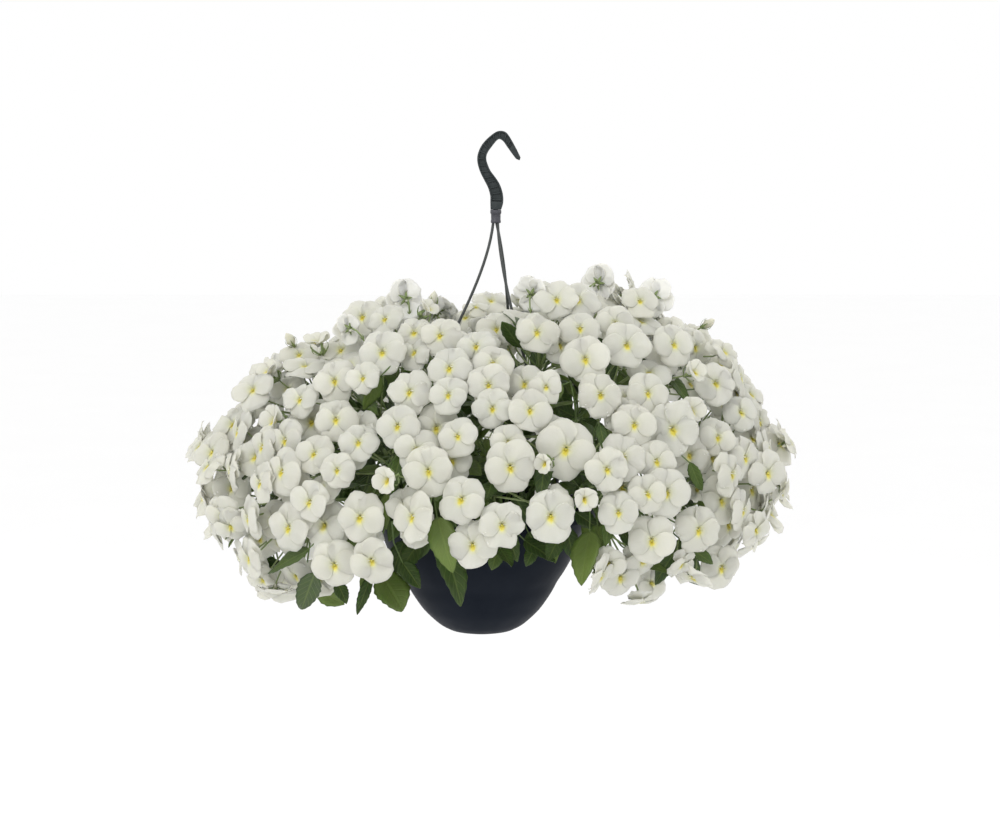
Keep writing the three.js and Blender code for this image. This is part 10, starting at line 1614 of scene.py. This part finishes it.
def ramp(nt, fac, stops, interp="LINEAR"):
    n = node(nt, "ShaderNodeValToRGB")
    n.color_ramp.interpolation = interp
    el = n.color_ramp.elements
    while len(el) < len(stops):
        el.new(0.5)
    for i, (pos, col) in enumerate(stops):
        el[i].position = pos
        el[i].color = (*col, 1.0) if len(col) == 3 else col
    nt.links.new(fac, n.inputs["Fac"])
    return n.outputs["Color"]


def mix(nt, fac, a, b, blend="MIX"):
    n = node(nt, "ShaderNodeMix", data_type="RGBA", blend_type=blend)
    for sock, val in ((n.inputs[0], fac), (n.inputs[6], a), (n.inputs[7], b)):
        if isinstance(val, (int, float)):
            sock.default_value = val
        elif isinstance(val, tuple):
            sock.default_value = (*val, 1.0)
        else:
            nt.links.new(val, sock)
    return n.outputs[2]


def math_(nt, op, a, b=None, c=None, clamp=False):
    n = node(nt, "ShaderNodeMath", operation=op, use_clamp=clamp)
    for i, val in enumerate((a, b, c)):
        if val is None:
            continue
        if isinstance(val, (int, float)):
            n.inputs[i].default_value = val
        else:
            nt.links.new(val, n.inputs[i])
    return n.outputs[0]


def coords(nt):
    return node(nt, "ShaderNodeTexCoord").outputs["Object"]


def noise(nt, vec, scale, detail=3.0, rough=0.5, out="Fac"):
    n = node(nt, "ShaderNodeTexNoise")
    n.inputs["Scale"].default_value = scale
    n.inputs["Detail"].default_value = detail
    n.inputs["Roughness"].default_value = rough
    if vec is not None:
        nt.links.new(vec, n.inputs["Vector"])
    return n.outputs[out]


def bump(nt, height, strength, distance, normal=None):
    n = node(nt, "ShaderNodeBump")
    n.inputs["Strength"].default_value = strength
    n.inputs["Distance"].default_value = distance
    nt.links.new(height, n.inputs["Height"])
    if normal is not None:
        nt.links.new(normal, n.inputs["Normal"])
    return n.outputs["Normal"]


def combine(nt, x, y, z):
    n = node(nt, "ShaderNodeCombineXYZ")
    for i, v in enumerate((x, y, z)):
        if isinstance(v, (int, float)):
            n.inputs[i].default_value = v
        else:
            nt.links.new(v, n.inputs[i])
    return n.outputs[0]


def petal_material():
    m, nt, bs = mat("viola_petal")
    a, r, eye, rnd, side, kind = (attr(nt, k) for k in ("a", "r", "eye", "rnd", "side", "kind"))
    # body colour: clean warm white, cream green towards the throat, cooler on some flowers
    tint = ramp(nt, rnd, [(0.0, (0.600, 0.588, 0.480)), (0.5, (0.672, 0.658, 0.560)), (1.0, (0.618, 0.618, 0.535))])
    cream = ramp(nt, r, [(0.0, (0.50, 0.53, 0.26)), (0.16, (0.58, 0.59, 0.38)), (0.42, (0.652, 0.640, 0.530)), (0.8, (0.680, 0.666, 0.572))])
    col = mix(nt, 0.55, tint, cream)
    # soft blotches and fine veins that fan out from the throat
    pos = coords(nt)
    cloud = noise(nt, pos, 55.0, 2.0, 0.5)
    col = mix(nt, ramp(nt, cloud, [(0.35, (0, 0, 0)), (0.72, (0.30, 0.30, 0.30))]), col, (0.64, 0.655, 0.54))
    vein_v = combine(nt, math_(nt, "MULTIPLY", a, 9.0), math_(nt, "MULTIPLY", r, 1.3), math_(nt, "MULTIPLY", rnd, 40.0))
    veins = noise(nt, vein_v, 2.6, 3.0, 0.65)
    vein_f = ramp(nt, veins, [(0.46, (0, 0, 0)), (0.50, (1, 1, 1)), (0.54, (0, 0, 0))])
    fade = ramp(nt, r, [(0.0, (0.5, 0.5, 0.5)), (0.45, (0.22, 0.22, 0.22)), (0.95, (0.05, 0.05, 0.05))])
    vf = node(nt, "ShaderNodeMath", operation="MULTIPLY")
    nt.links.new(vein_f, vf.inputs[0]); nt.links.new(fade, vf.inputs[1])
    col = mix(nt, vf.outputs[0], col, (0.52, 0.55, 0.34))
    # yellow eye with an orange-olive core, on the front only
    en = noise(nt, pos, 420.0, 2.0, 0.5)
    e2 = math_(nt, "ADD", eye, math_(nt, "MULTIPLY", math_(nt, "SUBTRACT", en, 0.5), 0.55))
    ef = ramp(nt, math_(nt, "MULTIPLY", e2, 0.5), [(0.0, (1, 1, 1)), (0.34, (1, 1, 1)), (0.60, (0.36, 0.36, 0.36)), (1.0, (0, 0, 0))])
    yel = ramp(nt, math_(nt, "MULTIPLY", e2, 0.5), [(0.0, (0.34, 0.22, 0.02)), (0.15, (0.52, 0.38, 0.03)), (0.26, (0.76, 0.62, 0.05)), (0.5, (0.80, 0.74, 0.20)), (0.9, (0.72, 0.74, 0.40))])
    front = math_(nt, "SUBTRACT", 1.0, side, clamp=True)
    efm = node(nt, "ShaderNodeMath", operation="MULTIPLY")
    nt.links.new(ef, efm.inputs[0]); nt.links.new(front, efm.inputs[1])
    col = mix(nt, efm.outputs[0], col, yel)
    # painted light: the back of a petal is painted lighter and creamier, standing in for light shining through the thin
    # petal
    col = mix(nt, math_(nt, "MULTIPLY", side, 0.85), col, (0.90, 0.895, 0.83))
    nt.links.new(col, bs.inputs["Base Color"])
    bs.inputs["Roughness"].default_value = 0.62
    bs.inputs["Specular IOR Level"].default_value = 0.28
    bs.inputs["Sheen Weight"].default_value = 0.12
    bs.inputs["Sheen Roughness"].default_value = 0.5
    bs.inputs["Subsurface Weight"].default_value = 0.45
    bs.inputs["Subsurface Radius"].default_value = (1.0, 0.95, 0.75)
    bs.inputs["Subsurface Scale"].default_value = 0.0045
    h = bump(nt, veins, 0.30, 0.0004)
    h = bump(nt, noise(nt, pos, 900.0, 2.0, 0.5), 0.22, 0.0002, h)
    nt.links.new(h, bs.inputs["Normal"])
    return m


def green_material(name, lo, mid, hi, young, rough, leafy):
    m, nt, bs = mat(name)
    a, r, rnd, kind, side = (attr(nt, k) for k in ("a", "r", "rnd", "kind", "side"))
    pos = coords(nt)
    col = ramp(nt, rnd, [(0.0, lo), (0.55, mid), (1.0, hi)])
    cloud = noise(nt, pos, 90.0, 3.0, 0.55)
    col = mix(nt, ramp(nt, cloud, [(0.3, (0, 0, 0)), (0.75, (0.5, 0.5, 0.5))]), col, hi)
    if leafy:
        col = mix(nt, math_(nt, "MULTIPLY", kind, 0.55, clamp=True), col, young)
        absa = math_(nt, "ABSOLUTE", a)
        # midrib, and side veins that run forward to the edge
        ribm = ramp(nt, absa, [(0.0, (1, 1, 1)), (0.05, (0.8, 0.8, 0.8)), (0.12, (0, 0, 0))])
        ph = math_(nt, "SUBTRACT", math_(nt, "MULTIPLY", r, 44.0), math_(nt, "MULTIPLY", absa, 11.0))
        wv = math_(nt, "SINE", ph)
        veinf = ramp(nt, wv, [(0.80, (0, 0, 0)), (1.0, (0.55, 0.55, 0.55))])
        lines = node(nt, "ShaderNodeMath", operation="MAXIMUM")
        nt.links.new(ribm, lines.inputs[0]); nt.links.new(veinf, lines.inputs[1])
        col = mix(nt, math_(nt, "MULTIPLY", lines.outputs[0], 0.40), col, young)
        edge = ramp(nt, absa, [(0.80, (0, 0, 0)), (1.0, (0.35, 0.35, 0.35))])
        col = mix(nt, edge, col, lo)
        col = mix(nt, math_(nt, "MULTIPLY", side, 0.22), col, tuple(min(1, x * 1.4 + 0.01) for x in hi))
        hgt = math_(nt, "ADD", math_(nt, "MULTIPLY", lines.outputs[0], -1.0), math_(nt, "MULTIPLY", noise(nt, pos, 260.0, 3.0, 0.6), 0.6))
        nrm = bump(nt, hgt, 0.55, 0.0006)
    else:
        st = noise(nt, combine(nt, math_(nt, "MULTIPLY", r, 3.0), math_(nt, "MULTIPLY", rnd, 20.0), 0.0), 14.0, 3.0, 0.6)
        col = mix(nt, math_(nt, "MULTIPLY", st, 0.5), col, young)
        nrm = bump(nt, noise(nt, pos, 500.0, 3.0, 0.6), 0.3, 0.0004)
    nt.links.new(col, bs.inputs["Base Color"])
    rn = ramp(nt, cloud, [(0.2, (rough - 0.07,) * 3), (0.8, (rough + 0.09,) * 3)])
    nt.links.new(rn, bs.inputs["Roughness"])
    bs.inputs["Specular IOR Level"].default_value = 0.30
    bs.inputs["Subsurface Weight"].default_value = 0.10
    bs.inputs["Subsurface Radius"].default_value = (0.6, 1.0, 0.25)
    bs.inputs["Subsurface Scale"].default_value = 0.0015
    nt.links.new(nrm, bs.inputs["Normal"])
    return m


def plain_material(name, c0, c1, rough, scale=60.0, bump_scale=900.0, bump_d=0.0002, strength=0.25, spec=0.5, sheen=0.0):
    m, nt, bs = mat(name)
    pos = coords(nt)
    cl = noise(nt, pos, scale, 4.0, 0.6)
    col = ramp(nt, cl, [(0.30, c0), (0.72, c1)])
    nt.links.new(col, bs.inputs["Base Color"])
    nt.links.new(ramp(nt, noise(nt, pos, scale * 2.3, 3.0, 0.6), [(0.25, (rough - 0.06,) * 3), (0.8, (rough + 0.08,) * 3)]), bs.inputs["Roughness"])
    bs.inputs["Specular IOR Level"].default_value = spec
    bs.inputs["Sheen Weight"].default_value = sheen
    nt.links.new(bump(nt, noise(nt, pos, bump_scale, 3.0, 0.6), strength, bump_d), bs.inputs["Normal"])
    return m


PETAL = petal_material()
LEAF = green_material("viola_leaf", (0.020, 0.040, 0.009), (0.036, 0.066, 0.013), (0.070, 0.112, 0.022), (0.16, 0.22, 0.050), 0.46, True)
STALK = green_material("viola_stalk", (0.060, 0.105, 0.030), (0.085, 0.140, 0.040), (0.125, 0.185, 0.055), (0.17, 0.23, 0.08), 0.50, False)
SEPAL = green_material("viola_sepal", (0.065, 0.110, 0.034), (0.095, 0.150, 0.046), (0.14, 0.20, 0.065), (0.24, 0.30, 0.13), 0.50, True)
STIGMA = plain_material("viola_stigma", (0.45, 0.44, 0.06), (0.70, 0.62, 0.12), 0.45, 300.0)
HAIR = plain_material("viola_beard", (0.80, 0.80, 0.70), (0.88, 0.88, 0.80), 0.6, 300.0)
POT = plain_material("bowl_plastic", (0.0078, 0.0108, 0.0170), (0.0118, 0.0152, 0.0222), 0.46, 26.0, 1400.0, 0.00012, 0.22, 0.030)
HOOKM = plain_material("hook_plastic", (0.023, 0.030, 0.031), (0.040, 0.048, 0.050), 0.42, 120.0, 1500.0, 0.00012, 0.3, 0.22)
COLLARM = plain_material("collar_plastic", (0.058, 0.058, 0.070), (0.088, 0.088, 0.102), 0.42, 140.0, 1500.0, 0.00012, 0.3, 0.25)
STRANDM = plain_material("strand_plastic", (0.048, 0.054, 0.053), (0.076, 0.083, 0.082), 0.38, 140.0, 1500.0, 0.00010, 0.25, 0.3)


def soil_material():
    m, nt, bs = mat("potting_soil")
    pos = coords(nt)
    base = ramp(nt, noise(nt, pos, 120.0, 6.0, 0.7), [(0.30, (0.010, 0.007, 0.005)), (0.55, (0.030, 0.020, 0.013)), (0.80, (0.075, 0.050, 0.032))])
    v = node(nt, "ShaderNodeTexVoronoi")
    v.inputs["Scale"].default_value = 150.0
    nt.links.new(pos, v.inputs["Vector"])
    perl = ramp(nt, v.outputs["Distance"], [(0.10, (1, 1, 1)), (0.16, (0, 0, 0))])
    pick = ramp(nt, v.outputs["Color"], [(0.78, (0, 0, 0)), (0.80, (1, 1, 1))])
    pm = node(nt, "ShaderNodeMath", operation="MULTIPLY")
    nt.links.new(perl, pm.inputs[0]); nt.links.new(pick, pm.inputs[1])
    col = mix(nt, pm.outputs[0], base, (0.62, 0.60, 0.54))
    nt.links.new(col, bs.inputs["Base Color"])
    bs.inputs["Roughness"].default_value = 0.95
    bs.inputs["Specular IOR Level"].default_value = 0.15
    nt.links.new(bump(nt, noise(nt, pos, 220.0, 6.0, 0.75), 0.9, 0.003), bs.inputs["Normal"])
    return m


SOIL = soil_material()

# ------------------------------------------------------------------ shoots
for si, s in enumerate(SHOOTS):
    name = "shoot_%02d" % (si + 1)
    node_name = name
    acc = Acc()
    for k, f in enumerate(s["flowers"]):
        flower(acc, f, 1000 * si + 7 * k + 3, f[19])
    for k, f in enumerate([x for x in FILL_FLOWERS if x[0] == si]):
        flower(acc, f[1:], 70000 + 1000 * si + 7 * k, 2)
    fo = acc.build(name + "_flowers", [PETAL, SEPAL, STIGMA, HAIR])
    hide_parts(node_name)
    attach(fo, "root")
    acc = Acc()
    P = s["stem"]
    pts = bez3(P, np.linspace(0, 1, 15))
    pts = np.concatenate([[[P[0][0], P[0][1], P[0][2] - 12.0], [P[0][0], P[0][1], P[0][2] - 4.0]], pts])
    tube(acc, pts, np.concatenate([[2.2, 2.2], np.linspace(2.0, 1.25, 15)]), 7, M_STEM, rnd=(si * 0.37) % 1.0, kind=5.0)
    for k, l in enumerate(s["leaves"]):
        leaf(acc, l[0:3], l[3:6], l[6:9], l[9:12], l[12], 5000 + 100 * si + k, True)
    for k, l in enumerate([x for x in RIM_LEAVES if x[0] == si]):
        leaf(acc, l[1:4], l[4:7], l[7:10], l[10:13], l[13], 800 + 100 * si + k, False)
    for k, l in enumerate([x for x in FILL if x[0] == si]):
        leaf(acc, l[1:4], l[4:7], l[7:10], l[10:13], l[13], 9000 + 100 * si + k, False)
    lo = acc.build(name + "_foliage", [LEAF, STALK])
    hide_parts(node_name)
    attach(lo, "root")

# ------------------------------------------------------------------ bowl, turned smooth
def link(name, me, mats, nodes):
    o = bpy.data.objects.new(name, me)
    bpy.context.scene.collection.objects.link(o)
    for m in mats:
        me.materials.append(m)
    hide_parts(*nodes)
    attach(o, "root")
    return o


def turned(name, profile, seg, cx, z0):
    """A closed lathe; profile is a closed loop of (r, h) that may touch the axis."""
    V, F, rows = [], [], []
    for r, h in profile:
        if r < 1e-6:
            rows.append([len(V)])
            V.append((cx * MM, 0, (z0 + h) * MM))
        else:
            rows.append(list(range(len(V), len(V) + seg)))
            for j in range(seg):
                t = 2 * math.pi * j / seg
                V.append(((cx + r * math.cos(t)) * MM, r * math.sin(t) * MM, (z0 + h) * MM))
    K = len(rows)
    closed = len(rows[0]) == 1 and len(rows[-1]) == 1
    for i in range(K - 1 if closed else K):
        A, B = rows[i], rows[(i + 1) % K]
        for j in range(seg):
            j1 = (j + 1) % seg
            if len(A) == 1 and len(B) > 1:
                F.append((A[0], B[j1], B[j]))
            elif len(B) == 1 and len(A) > 1:
                F.append((A[j], A[j1], B[0]))
            elif len(A) > 1:
                F.append((A[j], A[j1], B[j1], B[j]))
    me = bpy.data.meshes.new(name)
    me.from_pydata(V, [], F)
    me.validate()
    me.polygons.foreach_set("use_smooth", np.ones(len(me.polygons), bool))
    return me


def rounded(poly, rad, n=3):
    """Rounds the sharp corners of an open profile."""
    out = [poly[0]]
    for i in range(1, len(poly) - 1):
        p, a, b = np.array(poly[i], float), np.array(poly[i - 1], float), np.array(poly[i + 1], float)
        da, db = a - p, b - p
        la, lb = np.linalg.norm(da), np.linalg.norm(db)
        ang = math.acos(max(-1, min(1, float(da @ db / la / lb))))
        if ang > 2.6:
            out.append(tuple(p)); continue
        q = min(rad, la * 0.45, lb * 0.45)
        p0, p1 = p + da / la * q, p + db / lb * q
        for k in range(n + 1):
            t = k / n
            out.append(tuple((1 - t) ** 2 * p0 + 2 * (1 - t) * t * p + t * t * p1))
    out.append(poly[-1])
    return out


def smooth_curve(pts, per):
    """Catmull-Rom through the points."""
    P = np.array([pts[0]] + list(pts) + [pts[-1]], float)
    out = []
    for i in range(1, len(P) - 2):
        for k in range(per):
            t = k / per
            out.append(tuple(0.5 * ((2 * P[i]) + (P[i + 1] - P[i - 1]) * t + (2 * P[i - 1] - 5 * P[i] + 4 * P[i + 1] - P[i + 2]) * t * t + (3 * P[i] - P[i - 1] - 3 * P[i + 1] + P[i + 2]) * t ** 3)))
    out.append(tuple(P[-2]))
    return out


outer = smooth_curve([(34, 1.9), (42, 6.3), (50, 13.0), (59, 22.2), (66, 31.9), (72, 41.5), (77, 51.2), (84, 62.0), (92.2, 77.2), (98.6, 93.6), (103.2, 106.2), (105.8, 116.8), (106.8, 123.1)], 3)
inner = smooth_curve([(105.0, 123.1), (104.0, 116.8), (101.4, 106.2), (96.8, 94.1), (90.3, 78.1), (82.2, 62.9), (75.3, 52.1), (70.3, 42.5), (64.3, 32.8), (57.3, 23.4), (48.6, 14.4), (41.0, 8.0), (33.4, 3.8)], 3)
prof = [(0, 0.9), (20, 0.9), (22.5, 0.0), (26, 0)] + outer + [(106.9, 126.4), (114.4, 126.4), (114.4, 118.4), (116, 118.4), (116, 128.4), (105.3, 128.4)] + inner + [(26, 1.9), (0, 1.9)]
bowl_me = turned("bowl", rounded(prof, 0.7, 2), 120, POT_X, Z_BASE)
bowl = link("bowl", bowl_me, [POT], ["pot_bowl"])


def drill(o, tools):
    for k, (x, y, z0, z1, r) in enumerate(tools):
        import bmesh
        bm = bmesh.new()
        bmesh.ops.create_cone(bm, cap_ends=True, segments=24, radius1=r * MM, radius2=r * MM, depth=(z1 - z0) * MM,
                              matrix=Matrix.Translation((x * MM, y * MM, (z0 + z1) / 2 * MM)))
        me = bpy.data.meshes.new("drill")
        bm.to_mesh(me); bm.free()
        t = bpy.data.objects.new("drill", me)
        bpy.context.scene.collection.objects.link(t)
        md = o.modifiers.new("hole", "BOOLEAN")
        md.operation = "DIFFERENCE"; md.solver = "EXACT"; md.object = t
        dg = bpy.context.evaluated_depsgraph_get()
        new = bpy.data.meshes.new_from_object(o.evaluated_get(dg))
        o.modifiers.remove(md)
        old = o.data
        o.data = new
        bpy.data.meshes.remove(old)
        bpy.data.objects.remove(t)
        bpy.data.meshes.remove(me)


Z_RIM = Z_BASE + 128.4
holes = [(p[3][0], p[3][1], Z_RIM - 4, Z_RIM + 2, 2.5) for p in STRAND_PATHS]
holes += [(POT_X + 15 * math.cos((i + .5) * math.pi / 2), 15 * math.sin((i + .5) * math.pi / 2), Z_BASE - 1, Z_BASE + 4, 4.0) for i in range(4)]
drill(bowl, holes)
for poly in bowl.data.polygons:
    poly.use_smooth = True
bm_mod = bowl.modifiers.new("edges", "EDGE_SPLIT")
bm_mod.split_angle = math.radians(40)

# ------------------------------------------------------------------ hook: a ribbed I-beam along the curve
def resample(st, n):
    P = np.array(st, float)
    P = np.array(smooth_curve([tuple(x) for x in P], 6))
    mid = (P[:, :2] + P[:, 2:]) / 2
    s = np.concatenate([[0], np.cumsum(np.linalg.norm(np.diff(mid, axis=0), axis=1))])
    u = np.linspace(0, s[-1], n)
    return np.stack([np.interp(u, s, P[:, i]) for i in range(4)], 1), s[-1]


HT = 3.25
HS, HL = resample(HOOK_STATIONS, 72)
V, F = [], []
for (ox, oz, ix, iz) in HS:
    w = math.hypot(ix - ox, iz - oz)
    fl, web, c = 1.7 / w, 1.05, 0.45 / w
    # section across (0 outer .. 1 inner) and through the thickness
    sec = [(0.0, -HT + 0.5), (c, -HT), (fl - c, -HT), (fl, -HT + 0.5), (fl + c * 0.8, -web), (1 - fl - c * 0.8, -web), (1 - fl, -HT + 0.5), (1 - fl + c, -HT), (1 - c, -HT), (1.0, -HT + 0.5),
           (1.0, HT - 0.5), (1 - c, HT), (1 - fl + c, HT), (1 - fl, HT - 0.5), (1 - fl - c * 0.8, web), (fl + c * 0.8, web), (fl, HT - 0.5), (fl - c, HT), (c, HT), (0.0, HT - 0.5)]
    for a, y in sec:
        V.append(((ox + (ix - ox) * a) * MM, y * MM, (oz + (iz - oz) * a) * MM))
m = 20
for i in range(len(HS) - 1):
    for j in range(m):
        F.append((i * m + j, i * m + (j + 1) % m, (i + 1) * m + (j + 1) % m, (i + 1) * m + j))
F.append(tuple(range(m))[::-1])
F.append(tuple((len(HS) - 1) * m + j for j in range(m)))
# round the tip off to its point
tipx, tipz = HOOK_TIP


def add_box(V, F, q0, q1, q2, q3, y0, y1):
    b = len(V)
    for y in (y0, y1):
        for (x, z) in (q0, q1, q2, q3):
            V.append((x * MM, y * MM, z * MM))
    F += [(b, b + 1, b + 2, b + 3), (b + 7, b + 6, b + 5, b + 4)]
    for k in range(4):
        k1 = (k + 1) % 4
        F.append((b + k1, b + k, b + 4 + k, b + 4 + k1))


me = bpy.data.meshes.new("hook")
me.from_pydata(V, [], F)
hook = link("hook", me, [HOOKM], ["hanger_hook"])
# ribs across the pockets, the solid tip, and the tenon, as closed pieces of the same moulding
V, F = [], []
nr = int(HL // 6.6)
for k in range(nr + 1):
    t = (k + 0.5) / (nr + 0.5) * (len(HS) - 1) * 0.94 + 1
    i = int(min(t, len(HS) - 2))
    st0 = HS[i]
    d = HS[i + 1] - HS[i]
    ln = math.hypot((d[0] + d[2]) / 2, (d[1] + d[3]) / 2)
    h = 0.6 / ln
    a = st0 - d * h
    b_ = st0 + d * h
    def at(st, q):
        return (st[0] + (st[2] - st[0]) * q, st[1] + (st[3] - st[1]) * q)
    for y0, y1 in ((-HT + 0.35, -0.9), (0.9, HT - 0.35)):
        add_box(V, F, at(a, 0.14), at(a, 0.86), at(b_, 0.86), at(b_, 0.14), y0, y1)
last = HS[-1]
tip_pts = [(last[0], last[1]), (tipx, tipz), (last[2], last[3])]
# the solid end of the hook: a small wedge that fills the last few millimetres
end0 = HS[-9]
add_box(V, F, at(end0, 0.04), at(end0, 0.96), at(last, 0.98), at(last, 0.02), -HT + 0.05, HT - 0.05)
b = len(V)
for y in (-HT + 0.1, HT - 0.1):
    for (x, z) in tip_pts:
        V.append((x * MM, y * MM, z * MM))
F += [(b, b + 1, b + 2), (b + 5, b + 4, b + 3), (b + 1, b, b + 3, b + 4), (b + 2, b + 1, b + 4, b + 5), (b, b + 2, b + 5, b + 3)]
# solid foot of the shank
f0, f1 = HS[0], HS[5]
add_box(V, F, at(f0, 0.02), at(f0, 0.98), at(f1, 0.96), at(f1, 0.04), -HT + 0.05, HT - 0.05)
ks = 20
b = len(V)
for z in (Z_COLLAR_TOP - 6.0, Z_COLLAR_TOP + 2.0):
    for j in range(ks):
        t = 2 * math.pi * j / ks
        V.append(((COLLAR_X + 2.5 * math.cos(t)) * MM, 2.5 * math.sin(t) * MM, z * MM))
F += [tuple(b + j for j in range(ks))[::-1], tuple(b + ks + j for j in range(ks))]
F += [(b + j, b + (j + 1) % ks, b + ks + (j + 1) % ks, b + ks + j) for j in range(ks)]
me = bpy.data.meshes.new("hook_ribs")
me.from_pydata(V, [], F)
ribs = link("hook_ribs", me, [HOOKM], ["hanger_hook"])
for o in (hook, ribs):
    bv = o.modifiers.new("bevel", "BEVEL")
    bv.width = 0.00028; bv.segments = 2; bv.limit_method = "ANGLE"; bv.angle_limit = math.radians(40)
    for p in o.data.polygons:
        p.use_smooth = True
    es = o.modifiers.new("edges", "EDGE_SPLIT"); es.split_angle = math.radians(50)

# ------------------------------------------------------------------ collar and strands
H = Z_COLLAR_TOP - 0.3 - Z_COLLAR_BOT
prof = [(0, 0), (4.5, 0), (5.0, 0.5), (5.05, 2.4), (4.75, 2.9), (4.8, H - 4.4), (5.2, H - 3.8), (5.5, H - 3.2), (5.5, H - 0.6), (5.0, H), (2.9, H), (2.8, H - 0.3), (2.8, H - 6.2), (0, H - 6.2)]
me = turned("collar", prof, 40, COLLAR_X, Z_COLLAR_BOT)
collar = link("collar", me, [COLLARM], ["strand_collar"])
drill(collar, [(p[0][0], p[0][1], Z_COLLAR_BOT - 1, Z_COLLAR_BOT + 6.3, 1.75) for p in STRAND_PATHS])
bv = collar.modifiers.new("bevel", "BEVEL"); bv.width = 0.0002; bv.segments = 2; bv.limit_method = "ANGLE"; bv.angle_limit = math.radians(45)
for p in collar.data.polygons:
    p.use_smooth = True
es = collar.modifiers.new("edges", "EDGE_SPLIT"); es.split_angle = math.radians(45)
for side, P in zip(("left", "right", "back"), STRAND_PATHS):
    acc = Acc()
    a, d = np.array(P[0]), np.array(P[3])
    pts = np.concatenate([[[a[0], a[1], Z_COLLAR_BOT + 6], [a[0], a[1], Z_COLLAR_BOT + 1.5]], bez3(P, np.linspace(0, 1, 34)), [[d[0], d[1], Z_RIM - 4.7]]])
    tube(acc, pts, 1.45, 14, 0, rnd=0.5)
    # the snap button: a rounded disc under the rim, and a small stop above it
    for z0, z1, r in ((Z_RIM - 4.9, Z_RIM - 2.35, 2.7), (Z_RIM + 0.25, Z_RIM + 1.6, 3.1)):
        zz = [z0, z0, z0 + 0.4, z1 - 0.4, z1, z1]
        rr = [0.05, r - 0.4, r, r, r - 0.4, 0.05]
        V, ks = [], 20
        for z, q in zip(zz, rr):
            for j in range(ks):
                t = 2 * math.pi * j / ks
                V.append((d[0] + q * math.cos(t), d[1] + q * math.sin(t), z))
        n6 = len(zz)
        V += [(d[0], d[1], z0), (d[0], d[1], z1)]
        uv = np.array([(i / (n6 - 1), abs(j / ks * 2 - 1)) for i in range(n6) for j in range(ks)] + [(0, .5), (1, .5)])
        Fq = [[i * ks + j, i * ks + (j + 1) % ks, (i + 1) * ks + (j + 1) % ks, (i + 1) * ks + j] for i in range(n6 - 1) for j in range(ks)]
        Ft = [[n6 * ks, (j + 1) % ks, j] for j in range(ks)] + [[n6 * ks + 1, (n6 - 1) * ks + j, (n6 - 1) * ks + (j + 1) % ks] for j in range(ks)]
        base = acc.verts(np.array(V), rnd=0.5)
        c = acc.cell()
        acc.faces(Fq, 0, uv, c, base); acc.faces(Ft, 0, uv, c, base)
    o = acc.build("strand_" + side + "_look", [STRANDM])
    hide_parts("strand_" + side)
    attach(o, "root")
    es = o.modifiers.new("edges", "EDGE_SPLIT"); es.split_angle = math.radians(50)

# ------------------------------------------------------------------ soil keeps its CAD solid
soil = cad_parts["potting_soil"]
soil = soil if isinstance(soil, bpy.types.Object) else bpy.data.objects["potting_soil"]
soil.data.materials.clear()
soil.data.materials.append(SOIL)

# ------------------------------------------------------------------ floor
fm, nt, bs = mat("floor")
col = ramp(nt, noise(nt, coords(nt), 3.0, 2.0, 0.5), [(0.3, (0.985, 0.985, 0.985)), (0.7, (0.992, 0.992, 0.992))])
nt.links.new(col, bs.inputs["Base Color"])
bs.inputs["Roughness"].default_value = 0.9
bs.inputs["Specular IOR Level"].default_value = 0.1
me = bpy.data.meshes.new("floor")
S = 14.0
me.from_pydata([(-S, -S, 0), (S, -S, 0), (S, S, 0), (-S, S, 0)], [], [(0, 1, 2, 3)])
floor = bpy.data.objects.new("floor", me)
floor.location = (0, 0, -1.15)
me.materials.append(fm)
bpy.context.scene.collection.objects.link(floor)

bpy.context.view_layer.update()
